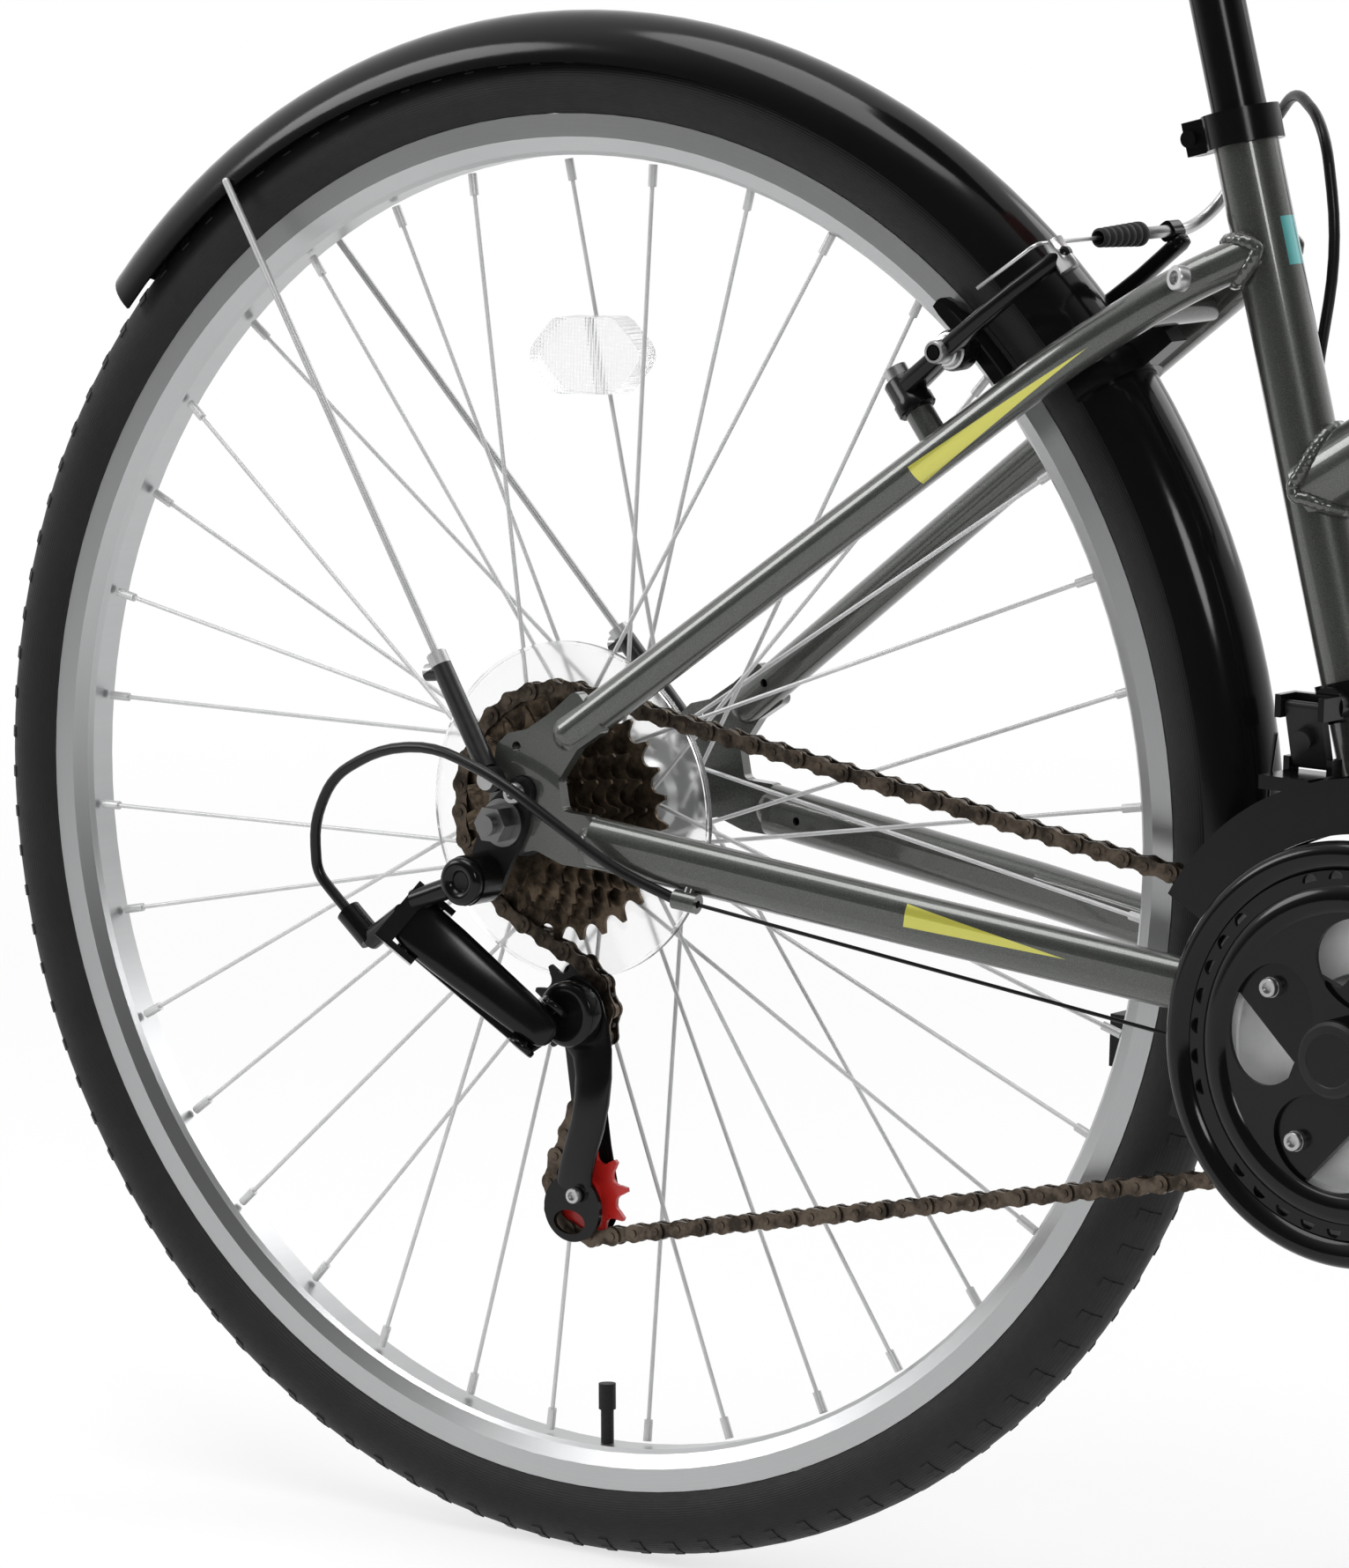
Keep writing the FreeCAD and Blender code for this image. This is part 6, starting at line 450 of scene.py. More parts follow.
# %% Oily steel
FILM_SCALE = 120.0
GRIT_SCALE = 900.0
GRIT_DEPTH = 0.00005


def oily_steel(name, light, dark):
    """Steel under a patchy film of oil."""
    steel = Finish(name, Metallic=0.85)
    film = steel.noise(FILM_SCALE, 5.0, 0.65)
    steel.feed("Base Color", steel.mix(steel.step(film, 0.35, 0.65), dark, light))
    steel.feed("Roughness", steel.spread(film, 0.24, 0.48))
    steel.bump(steel.noise(GRIT_SCALE, 3.0), GRIT_DEPTH, 0.4)
    return steel


dress(oily_steel("oily_sprocket_steel", (0.16, 0.118, 0.080, 1.0), (0.040, 0.030, 0.022, 1.0)), "sprockets")
chain_steel = oily_steel("oily_chain_steel", (0.125, 0.098, 0.074, 1.0), (0.034, 0.026, 0.020, 1.0))
dress(chain_steel, "chain")

# %% [markdown]
# Clear and red parts: the spoke protector and wheel reflector are clear mouldings, the lower jockey wheel
# and the rear reflector are red. Small prisms on the reflectors are crossed waves.

# %% Clear and coloured plastics
CLEAR_SCALE = 50.0
RED_SCALE = 80.0
RED_LIGHT = (0.52, 0.020, 0.015, 1.0)
RED_DARK = (0.36, 0.010, 0.008, 1.0)
CLEAR_PRISMS = 1800.0
CLEAR_PRISM_DEPTH = 0.0003
RED_PRISMS = 1600.0
RED_PRISM_DEPTH = 0.0006


def clear_plastic(name, prisms):
    clear = Finish(name, Base_Color=grey(0.94 if prisms else 1.0), IOR=1.49, Transmission_Weight=0.97)
    clear.feed("Roughness", clear.spread(clear.noise(CLEAR_SCALE, 3.0), 0.05, 0.16))
    if prisms:
        x = clear.along(REAR, AHEAD)
        z = clear.along(REAR, UP)
        clear.bump(((x + z) * prisms).sine() * ((x - z) * prisms).sine(), CLEAR_PRISM_DEPTH, 0.5)
    return clear


def red_plastic(name, prisms):
    red = Finish(name, Specular_IOR_Level=0.5)
    cloud = red.noise(RED_SCALE, 3.0)
    red.feed("Base Color", red.mix(cloud, RED_DARK, RED_LIGHT))
    red.feed("Roughness", red.spread(cloud, 0.22, 0.36))
    if prisms:
        y = red.along(ORIGIN, LEFT)
        z = red.along(ORIGIN, UP)
        red.bump((y * prisms).sine() * (z * prisms).sine(), RED_PRISM_DEPTH, 0.8)
    return red


dress(clear_plastic("clear_protector", 0), "spoke_protector")
dress(clear_plastic("clear_prism", CLEAR_PRISMS), "wheel_reflector")
dress(red_plastic("red_jockey_wheel", 0), "tension_pulley")
dress(red_plastic("red_prism", RED_PRISMS), "rear_reflector")

# %% [markdown]
# Small forms are built from plain solids: prisms, turned profiles and skins through rings of points. Each
# form stands on a point with its own Z along a chosen axis, so a bolt is written once and set anywhere.
# Long tables are in millimetres.

# %% Form tools
WITH_HOLES = 2
SAME_POINT = 1e-7
DOUBLED = 1e-6
TINY = 1e-4
DIGITS = 5
SHARP_DEG = 38.0
CAST_DEG = 50.0
SOFT_DEG = 60.0
ROUND_POWER = 0.62


def mm(*rows):
    """Rows of millimetres in metres."""
    return [tuple(number / 1000 for number in row) for row in rows]


def stand(origin, axis, side=LEFT):
    """Matrix that sets a form on a point, with its Z along an axis and its X towards a side."""
    z = Vector(axis).normalized()
    x = Vector(side) - z * z.dot(Vector(side))
    x = z.orthogonal().normalized() if x.length < TINY else x.normalized()
    return Matrix.Translation(origin) @ Matrix((x, z.cross(x), z)).transposed().to_4x4()


def out_right(spot):
    """Matrix of a form that starts on the middle plane and points to the right."""
    return stand(Vector((spot.x, 0, spot.z)), RIGHT, UP)


def circle(radius, count, centre=(0.0, 0.0)):
    """Points round a centre."""
    angles = [2 * math.pi * k / count for k in range(count)]
    return [(centre[0] + radius * math.cos(a), centre[1] + radius * math.sin(a)) for a in angles]


def soft_square(count):
    """Points round a soft rectangle of half size one."""
    soft = []
    for c, s in circle(1.0, count):
        soft.append((math.copysign(abs(c) ** ROUND_POWER, c), math.copysign(abs(s) ** ROUND_POWER, s)))
    return soft


def headings(line):
    """Each station of a line with the line's direction there, in the plane of its first two numbers."""
    for number, station in enumerate(line):
        before = line[max(number - 1, 0)]
        after = line[min(number + 1, len(line) - 1)]
        yield station, Vector((after[0] - before[0], after[1] - before[1])).normalized()


def mirrored(spot):
    """The same place on the bike's other side."""
    return Vector((spot.x, -spot.y, spot.z))


def shown(name, data):
    """A new object in the scene."""
    made = bpy.data.objects.new(name, data)
    SCENE.collection.objects.link(made)
    return made


def finished(name, solid, material, sharp_deg=SHARP_DEG):
    """An object from a bmesh, smooth but for its sharp edges."""
    mesh = bpy.data.meshes.new(name)
    solid.to_mesh(mesh)
    solid.free()
    mesh.shade_smooth()
    if sharp_deg:
        mesh.set_sharp_from_angle(angle=math.radians(sharp_deg))
    mesh.materials.append(material)
    return shown(name, mesh)


class Form:
    """A mesh under construction."""

    def __init__(self):
        self.mesh = bmesh.new()

    def ring(self, points):
        return [self.mesh.verts.new(point) for point in points]

    def skin(self, rings, caps=True):
        """Faces between closed rings of equal count."""
        rings = [self.ring(points) for points in rings]
        count = len(rings[0])
        for low, high in zip(rings, rings[1:]):
            for k in range(count):
                after = (k + 1) % count
                self.mesh.faces.new((low[k], low[after], high[after], high[k]))
        if caps:
            self.mesh.faces.new(rings[0][::-1])
            self.mesh.faces.new(rings[-1])

    def prism(self, outline, low, high, place, caps=True):
        self.skin([[place @ Vector((x, y, z)) for x, y in outline] for z in (low, high)], caps)

    def turned(self, profile, count, place):
        """A closed profile of (radius, height) pairs turned about Z."""
        rings = [[place @ Vector((x, y, z)) for x, y in circle(r, count)] for r, z in profile]
        self.skin(rings + rings[:1], caps=False)

    def plate(self, outlines, low, high, place):
        """A flat plate: the first outline is its edge, the others are holes."""
        flat = []
        loops = []
        for outline in outlines:
            loops.append(list(range(len(flat), len(flat) + len(outline))))
            flat += [Vector(point) for point in outline]
        points, _, faces, *_ = delaunay_2d_cdt(flat, [], loops, WITH_HOLES, SAME_POINT)
        for height in (low, high):
            made = self.ring([place @ Vector((p.x, p.y, height)) for p in points])
            for face in faces:
                self.mesh.faces.new([made[k] for k in face])
        for outline in outlines:
            self.prism(outline, low, high, place, caps=False)

    def object(self, name, finish, sharp_deg=SHARP_DEG):
        """The finished object."""
        bmesh.ops.remove_doubles(self.mesh, verts=self.mesh.verts, dist=SAME_POINT)
        bmesh.ops.recalc_face_normals(self.mesh, faces=self.mesh.faces)
        return finished(name, self.mesh, finish.material, sharp_deg)


def merged(node):
    """Copy of a CAD node's mesh whose doubled points are joined."""
    solid = bmesh.new()
    solid.from_mesh(NODES[node].data)
    bmesh.ops.remove_doubles(solid, verts=solid.verts, dist=DOUBLED)
    return solid


def islands(node):
    """Points of each separate solid of a CAD node, in the order in which they were modelled."""
    solid = merged(node)
    groups = []
    seen = set()
    for first in solid.verts:
        if first not in seen:
            seen.add(first)
            group = [first]
            for vertex in group:
                for edge in vertex.link_edges:
                    other = edge.other_vert(vertex)
                    if other not in seen:
                        seen.add(other)
                        group.append(other)
            groups.append([vertex.co.copy() for vertex in group])
    solid.free()
    return groups


def middle_of(points):
    low = Vector([min(p[k] for p in points) for k in range(3)])
    high = Vector([max(p[k] for p in points) for k in range(3)])
    return (low + high) / 2


def part_of(node, name, finish, keep):
    """Merged copy of some of a CAD node's solids, chosen by number."""
    solids = islands(node)
    chosen = {point.to_tuple(DIGITS) for number in keep for point in solids[number]}
    solid = merged(node)
    others = [vertex for vertex in solid.verts if vertex.co.to_tuple(DIGITS) not in chosen]
    bmesh.ops.delete(solid, geom=others, context="VERTS")
    return finished(name, solid, finish.material)


def seat_on(node, centre, axis, radius):
    """Place where a bolt along an axis meets the outside of a CAD node."""
    heights = []
    for vertex in NODES[node].data.vertices:
        away = vertex.co - centre
        if (away - axis * away.dot(axis)).length < radius:
            heights.append(away.dot(axis))
    return centre + axis * max(heights)


# %% [markdown]
# What repeats is made by Geometry Nodes. The first tree copies a form onto points, each with its own
# direction, side and size. It serves chain links and screws alike. The second bends a ring of blocks round
# a tyre. The third lays a weld bead along a seam, with the ripple that a welder's hand leaves.

# %% Geometry Nodes
BEAD_STEP = 0.0006
BEAD_SIDES = 14


class Tree(Graph):
    """A Geometry Nodes tree with named inputs."""

    def __init__(self, name, **inputs):
        super().__init__(bpy.data.node_groups.new(name, "GeometryNodeTree"))
        sockets = self.tree.interface
        sockets.new_socket("Geometry", in_out="OUTPUT", socket_type="NodeSocketGeometry")
        for words, kind in {"Geometry": "Geometry", **inputs}.items():
            sockets.new_socket(words.replace("_", " "), in_out="INPUT", socket_type="NodeSocket" + kind)
        self.start = self.tree.nodes.new("NodeGroupInput")
        self.end = self.tree.nodes.new("NodeGroupOutput")

    def input(self, name):
        return Value(self, self.start.outputs[name])

    def named(self, name, kind="FLOAT_VECTOR"):
        return self.node("GeometryNodeInputNamedAttribute", {"data_type": kind}, {"Name": name})

    def store(self, geometry, name, kind, value):
        return self.node("GeometryNodeStoreNamedAttribute", {"data_type": kind, "domain": "POINT"},
                         {"Geometry": geometry, "Name": name, "Value": value})

    def turn(self, way, side_axis, side):
        """Rotation that brings Z to a way and another axis to a side."""
        return self.node("FunctionNodeAxesToRotation", {"primary_axis": "Z", "secondary_axis": side_axis},
                         {"Primary Axis": way, "Secondary Axis": side})

    def set_out(self, points, form, **values):
        """Copies of a form on points, as the tree's result."""
        values = {"Points": points, "Instance": form, **values}
        self.finish(self.node("GeometryNodeInstanceOnPoints", {}, values))

    def finish(self, geometry):
        """Close the tree with real faces and a material."""
        real = self.node("GeometryNodeRealizeInstances", {}, {"Geometry": geometry})
        values = {"Geometry": real, "Material": self.input("Material")}
        self.plug(self.node("GeometryNodeSetMaterial", {}, values), self.end.inputs[0])

    def grow(self, mesh, **inputs):
        """Run the tree on a mesh and keep the result as a plain mesh."""
        holder = shown("holder", mesh)
        modifier = holder.modifiers.new("grow", "NODES")
        modifier.node_group = self.tree
        for socket in self.tree.interface.items_tree:
            words = socket.name.replace(" ", "_")
            if socket.in_out == "INPUT" and words in inputs:
                modifier[socket.identifier] = inputs[words]
        grown = evaluated(holder)
        bpy.data.objects.remove(holder)
        return grown


def evaluated(made):
    """The mesh of an object with its modifiers."""
    graph = bpy.context.evaluated_depsgraph_get()
    return bpy.data.meshes.new_from_object(made.evaluated_get(graph), depsgraph=graph)


copies = Tree("copies", Form="Object", Material="Material")
copy_form = copies.node("GeometryNodeObjectInfo", {}, {"Object": copies.input("Form")}, "Geometry")
copy_points = copies.node("GeometryNodeMeshToPoints", {}, {"Mesh": copies.input("Geometry")})
copy_turn = copies.turn(copies.named("way"), "X", copies.named("side"))
copies.set_out(copy_points, copy_form, Rotation=copy_turn, Scale=copies.named("size"))

blocks = Tree("ring_of_blocks", Blocks="Int", Ring_radius="Float", Section_radius="Float", Lean="Float",
              Block_size="Vector", Material="Material")
block_ring = blocks.node("GeometryNodeMeshCircle", {}, {"Vertices": blocks.input("Blocks"), "Radius": 1.0})
block_out = blocks.node("GeometryNodeInputPosition", {}, {})
block_rise = blocks.node("ShaderNodeCombineXYZ", {}, {"Z": blocks.input("Lean").sine()})
block_level = blocks.scaled(block_out, blocks.maths("COSINE", blocks.input("Lean")))
block_way = blocks.vector("ADD", block_level, block_rise)
block_spot = blocks.vector("ADD", blocks.scaled(block_out, blocks.input("Ring radius")),
                           blocks.scaled(block_way, blocks.input("Section radius")))
block_turn = blocks.turn(block_way, "Y", blocks.vector("CROSS_PRODUCT", block_way, block_out))
block_points = blocks.store(block_ring, "turn", "QUATERNION", block_turn)
block_points = blocks.node("GeometryNodeSetPosition", {}, {"Geometry": block_points, "Position": block_spot})
block_cube = blocks.node("GeometryNodeMeshCube", {}, {"Size": blocks.input("Block size")})
blocks.set_out(block_points, block_cube, Rotation=blocks.named("turn", "QUATERNION"))

beads = Tree("weld_bead", Bead_radius="Float", Ripples="Float", Depth="Float", Material="Material")
bead_line = beads.node("GeometryNodeMeshToCurve", {}, {"Mesh": beads.input("Geometry")})
bead_line = beads.node("GeometryNodeResampleCurve", {"mode": "LENGTH"},
                       {"Curve": bead_line, "Length": BEAD_STEP})
bead_far = beads.node("GeometryNodeSplineParameter", {}, {}, "Length")
bead_line = beads.store(bead_line, "far", "FLOAT", bead_far)
bead_section = beads.node("GeometryNodeCurvePrimitiveCircle", {},
                          {"Resolution": BEAD_SIDES, "Radius": beads.input("Bead radius")})
bead_tube = beads.node("GeometryNodeCurveToMesh", {}, {"Curve": bead_line, "Profile Curve": bead_section})
bead_wave = (beads.named("far", "FLOAT") * beads.input("Ripples")).sine() * beads.input("Depth")
bead_lift = beads.scaled(beads.node("GeometryNodeInputNormal", {}, {}), bead_wave)
beads.finish(beads.node("GeometryNodeSetPosition", {}, {"Geometry": bead_tube, "Offset": bead_lift}))


def spots_mesh(spots):
    """Points with a direction, a side and a size for the copies tree."""
    mesh = bpy.data.meshes.new("spots")
    mesh.from_pydata([spot[0] for spot in spots], [], [])
    for name, kind, column in (("way", "FLOAT_VECTOR", 1), ("side", "FLOAT_VECTOR", 2), ("size", "FLOAT", 3)):
        layer = mesh.attributes.new(name, kind, "POINT")
        for cell, spot in zip(layer.data, spots):
            if kind == "FLOAT":
                cell.value = spot[column]
            else:
                cell.vector = spot[column]
    return mesh


def joined(name, meshes):
    """One object from several meshes that share a material."""
    whole = bmesh.new()
    for mesh in meshes:
        whole.from_mesh(mesh)
    bmesh.ops.recalc_face_normals(whole, faces=whole.faces)
    for face in whole.faces:
        face.material_index = 0
    return finished(name, whole, [material for material in meshes[0].materials if material][0])


print("trees", [tree.name for tree in bpy.data.node_groups])

# %% [markdown]
# The chain is the same on every bike: outer plates pinned to inner plates, each shaped like a figure eight,
# with a roller at each pin. The imported chain says where each link lies. On the sprockets and rings the
# links stay, the free runs are set down where they lie, and the stretch round the two jockey wheels rides on
# the cage.

# %% Chain
PITCH = 0.0127
PLATE_R = 0.0043
WAIST_R = 0.0029
PLATE_THICK = 0.0010
PLATE_GAP = 0.0001
PLATE_STEPS = 6
PLATE_STEP_DEG = 20.0
INNER_FACE = 0.0015
ROLLER_R = 0.0039
ROLLER_SIDES = 14
PIN_R = 0.0019
PIN_OUT = 0.0005
PIN_SIDES = 10
SOLIDS_PER_PAIR = 3
SEATED = 0.0009
COG_TEETH = 28
JOCKEY_TEETH = 10
RING_TEETH = 24
STILL_LINKS = 7
FOLLOWING_LINKS = 1

figure_eight = []
for end in (1, -1):
    for k in range(-PLATE_STEPS, PLATE_STEPS + 1):
        a = math.radians(k * PLATE_STEP_DEG)
        figure_eight.append((end * (PITCH / 2 + PLATE_R * math.cos(a)), end * PLATE_R * math.sin(a)))
    figure_eight.append((0.0, end * WAIST_R))


def link_form(name, near, pinned):
    """Plates of one link along X, with its rollers or its pins."""
    form = Form()
    flat = Matrix()
    for side in (1, -1):
        low, high = sorted((side * near, side * (near + PLATE_THICK)))
        form.prism(figure_eight, low, high, flat)
    reach = near + PLATE_THICK + PIN_OUT if pinned else near
    radius, sides = (PIN_R, PIN_SIDES) if pinned else (ROLLER_R, ROLLER_SIDES)
    for end in (1, -1):
        form.prism(circle(radius, sides, (end * PITCH / 2, 0.0)), -reach, reach, flat)
    return form.object(name, chain_steel)


inner_link = link_form("inner_link", INNER_FACE, False)
outer_link = link_form("outer_link", INNER_FACE + PLATE_THICK + PLATE_GAP, True)
links = []
chain_solids = [middle_of(points) for points in islands("chain")]
for k in range(0, len(chain_solids), SOLIDS_PER_PAIR):
    inner, right_plate, left_plate = chain_solids[k:k + SOLIDS_PER_PAIR]
    links += [(inner, inner_link), ((right_plate + left_plate) / 2, outer_link)]
LINK_COUNT = len(links)
FD_MIDDLE_X = middle_of(islands("front_derailleur_cage")[0]).x
GUIDE = joint_at("guide_pulley")
TENSION = joint_at("tension_pulley")


def links_on(centre, teeth):
    """Numbers of the links that lie on a toothed wheel."""
    reach = PITCH / 2 / math.sin(math.pi / teeth) + SEATED
    return [k for k, (spot, _) in enumerate(links) if ((spot - centre) * (AHEAD + UP)).length < reach]


on_cog = links_on(REAR, COG_TEETH)
on_guide = links_on(GUIDE, JOCKEY_TEETH)
on_tension = links_on(TENSION, JOCKEY_TEETH)
on_ring = links_on(CRANK, RING_TEETH)
bottom_ring = min(k for k in on_ring if k > max(on_tension))
top_ring = max([k for k in on_ring if k < min(on_cog)] or [0])
under_cage = min(range(top_ring, min(on_cog)), key=lambda k: abs(links[k][0].x - FD_MIDDLE_X))
halfway = (max(on_tension) + bottom_ring) // 2


def spot_of(k):
    return tuple(links[k % LINK_COUNT][0])


def chain_piece(name, first, last):
    """Links from first to last as one piece."""
    meshes = []
    for form in (inner_link, outer_link):
        spots = []
        for k in range(first, last):
            spot, kind = links[k % LINK_COUNT]
            if kind is form:
                ahead = links[(k + 1) % LINK_COUNT][0] - links[(k - 1) % LINK_COUNT][0]
                across = LEFT - ahead * (ahead.dot(LEFT) / ahead.length_squared)
                spots.append((spot, across, ahead, 1.0))
        meshes.append(copies.grow(spots_mesh(spots), Form=form, Material=chain_steel.material))
    return joined(name, meshes)


ring_links = chain_piece("chain_on_ring", bottom_ring, LINK_COUNT + top_ring)
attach(ring_links, "frame")
cog_links = chain_piece("chain_on_sprocket", min(on_cog), max(on_cog))
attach(cog_links, "frame")
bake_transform(chain_piece("chain_top_front", top_ring, under_cage), "frame", "fd_cage",
         start=spot_of(top_ring), end=spot_of(under_cage))
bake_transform(chain_piece("chain_top_back", under_cage, min(on_cog)), "frame", "fd_cage",
         start=spot_of(min(on_cog)), end=spot_of(under_cage))
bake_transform(chain_piece("chain_to_guide", max(on_cog), min(on_guide)), "frame", "rd_knuckle",
         start=spot_of(max(on_cog)), end=spot_of(min(on_guide) - FOLLOWING_LINKS))
cage_links = chain_piece("chain_on_jockeys", min(on_guide), max(on_tension))
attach(cage_links, "rd_cage")
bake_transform(chain_piece("chain_low_back", max(on_tension), halfway), "rd_knuckle", "rd_cage",
         start=spot_of(halfway), end=spot_of(max(on_tension)))
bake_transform(chain_piece("chain_low_front", halfway, bottom_ring), "frame", "rd_knuckle",
         start=spot_of(bottom_ring - STILL_LINKS), end=spot_of(halfway))
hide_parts("chain")
for form in (inner_link, outer_link):
    bpy.data.objects.remove(form)
print("chain of", LINK_COUNT, "links")

# %% [markdown]
# The chainset carries a moulded guard: a thick rounded rim, a row of small half-round drain slots, a second
# ring and four arms between large oval windows. Through the windows shine the bare alloy rings.

# %% Chainset
GUARD_BACK = 0.0585
GUARD_PROFILE = mm((79, 0), (91.2, 0), (91.9, 2.2), (91.4, 5), (89.8, 7), (87.2, 8), (84.3, 7.6), (81.8, 6.2),
                   (80.1, 4.6), (79, 3))
INNER_PROFILE = mm((61, 4.6), (62.5, 6.2), (65.5, 7), (69, 6.8), (72.2, 5.6), (73.2, 4.6), (72, 3), (62.5, 3))
CAP_PROFILE = mm((0, 15), (16.5, 15), (16.5, 18.4), (15, 19.8), (12, 20), (11.2, 19.2), (0, 19))
GUARD_SIDES = 160
INNER_SIDES = 128
HUB_SIDES = 48
WEB_LOW = 0.0027
WEB_HIGH = 0.0049
WEB_R = 0.0795
WEB_HUB_R = 0.0150
WINDOW_R = 0.0400
WINDOW_RADIAL = 0.0205
WINDOW_ACROSS = 0.0270
WINDOW_SIDES = 44
SLOT_COUNT = 36
SLOT_R = 0.0757
SLOT_HALF = 0.0036
SLOT_STEPS = 8
ARM_DEG = 148.0
ARM_COUNT = 4
RING_BOLT_R = 0.0470

crank_face = stand(CRANK + RIGHT * GUARD_BACK, RIGHT, AHEAD)
outlines = [circle(WEB_R, GUARD_SIDES), circle(WEB_HUB_R, HUB_SIDES)]
for k in range(ARM_COUNT):
    a = -math.radians(ARM_DEG + (k + 0.5) * 360.0 / ARM_COUNT)
    window = []
    for radial, across in circle(1.0, WINDOW_SIDES):
        out = WINDOW_R + WINDOW_RADIAL * radial
        side = WINDOW_ACROSS * across
        window.append((out * math.cos(a) - side * math.sin(a), out * math.sin(a) + side * math.cos(a)))
    outlines.append(window)
for k in range(SLOT_COUNT):
    if k % (SLOT_COUNT // ARM_COUNT) not in (0, 1):
        a = -math.radians(ARM_DEG + (k - 0.5) * 360.0 / SLOT_COUNT)
        half_round = [a - math.pi / 2 + math.pi * step / SLOT_STEPS for step in range(SLOT_STEPS + 1)]
        outlines.append([(SLOT_R * math.cos(a) + SLOT_HALF * math.cos(b),
                          SLOT_R * math.sin(a) + SLOT_HALF * math.sin(b)) for b in half_round])
guard = Form()
guard.turned(GUARD_PROFILE, GUARD_SIDES, crank_face)
guard.turned(INNER_PROFILE, INNER_SIDES, crank_face)
guard.plate(outlines, WEB_LOW, WEB_HIGH, crank_face)
guard_piece = guard.object("guard_with_windows", guard_black, CAST_DEG)
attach(guard_piece, "crankset")
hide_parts("chain_guard")

cap = Form()
cap.turned(CAP_PROFILE, HUB_SIDES, crank_face)
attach(cap.object("crank_cap", moulded_black), "crankset")
print("guard with", len(outlines) - 2, "windows and slots")

# %% [markdown]
# One socket screw is enough for the whole bike. The copies tree sets it at each place, turned to its own
# axis and scaled to its own head.

# %% Screws
SCREW_PROFILE = mm((0, -1), (4.5, -1), (4.5, 2.4), (4.05, 3), (2.52, 3), (2.34, 1), (0, 0.8))
SCREW_SIDES = 24
RING_SCREW = 0.95
GUIDE_SCREW = 0.70
TENSION_SCREW = 0.80
HANGER_SCREW = 1.05
STAY_SCREW = 1.25
CAGE_HOLE_R = 0.004
HANGER_HOLE_R = 0.006
HANGER_BOLT = Vector((0.0083, 0.0, 0.0145))
STAY_BOLT = Vector((-0.2005, -0.0420, 0.6147))
STAY_BOLT_WAY = Vector((-0.35, -0.93, 0.10))


def set_on(name, body, form, spots):
    """Copies of a form on (place, axis, size) spots, riding on a body."""
    points = [(place, axis, axis.orthogonal(), size) for place, axis, size in spots]
    grown = copies.grow(spots_mesh(points), Form=form, Material=form.data.materials[0])
    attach(joined(name, [grown]), body)


screw_form = Form()
screw_form.turned(SCREW_PROFILE, SCREW_SIDES, Matrix())
screw = screw_form.object("screw", zinc)
ring_screws = []
for k in range(ARM_COUNT):
    a = math.radians(ARM_DEG + k * 360.0 / ARM_COUNT)
    spot = CRANK + Vector((RING_BOLT_R * math.cos(a), -GUARD_BACK - WEB_HIGH, RING_BOLT_R * math.sin(a)))
    ring_screws.append((spot, RIGHT, RING_SCREW))
set_on("ring_screws", "crankset", screw, ring_screws)
cage_bolt = seat_on("derailleur_cage", TENSION, RIGHT, CAGE_HOLE_R)
guide_bolt = seat_on("derailleur_cage", GUIDE, RIGHT, CAGE_HOLE_R)
set_on("cage_screw", "rd_cage", screw, [(cage_bolt, RIGHT, TENSION_SCREW), (guide_bolt, RIGHT, GUIDE_SCREW)])
hanger_bolt = seat_on("frame_bolts", REAR + HANGER_BOLT, RIGHT, HANGER_HOLE_R)
set_on("hanger_screw", "frame", screw, [(hanger_bolt, RIGHT, HANGER_SCREW)])
set_on("stay_screws", "frame", screw, [(STAY_BOLT, STAY_BOLT_WAY, STAY_SCREW),
                                       (mirrored(STAY_BOLT), mirrored(STAY_BOLT_WAY), STAY_SCREW)])
bpy.data.objects.remove(screw)

# %% [markdown]
# A linear-pull brake has two slim arms that bow outwards. Each turns on a sleeve, carries a curved pad on a
# bolt and ends in the cable's clamp or in the holder of a bent guide tube. A ribbed rubber boot covers the
# bare cable. All four arms are the same form, measured along the arm, outwards from the wheel and away from
# the bike's middle.

# %% Brakes
# Distance along the arm, away from the middle, half width, half thickness.
ARM_LINE = mm((5.6, 40.5, 8, 4.6), (12, 42, 7.8, 4.6), (23, 44, 7, 4.4), (33, 46.2, 6.4, 4.2),
              (45, 48.6, 5.2, 4), (62, 50.6, 4.4, 3.8), (80, 50.4, 4, 3.6), (96, 48.4, 4.2, 3.6),
              (106, 47, 4.6, 3.6), (109.6, 46.6, 3.6, 2.8), (110.8, 46.4, 1.8, 1.4))
ARM_SIDES = 20
ARM_PLANE = 0.0345
ARM_SHARP_DEG = 44.0
ARM_SLEEVE = mm((4.35, 23.2), (8.2, 23.2), (9, 24), (9, 28.8), (8.3, 29.6), (8.3, 39), (7.5, 40), (4.35, 40))
SLEEVE_SIDES = 40
PAD_AT = 0.0310
PAD_BOSS = mm((4, 33), (8.6, 33), (9.2, 34.5), (9.2, 42), (8, 44), (4, 44))
BOSS_SIDES = 36
PAD_STUD = mm((0, 20), (3.6, 20), (3.6, 56), (0, 56))
STUD_SIDES = 20
PAD_BOLT = mm((0, 42), (8.2, 42), (8.2, 44), (7.2, 44.4), (6.6, 46.2), (6.6, 47.4), (5.6, 47.8), (5.2, 50),
              (5.2, 55.2), (4.6, 56), (3, 56), (2.8, 53), (0, 52.8))
BOLT_SIDES = 32
PAD_R = 0.31125
PAD_HALF_TURN = 0.0900
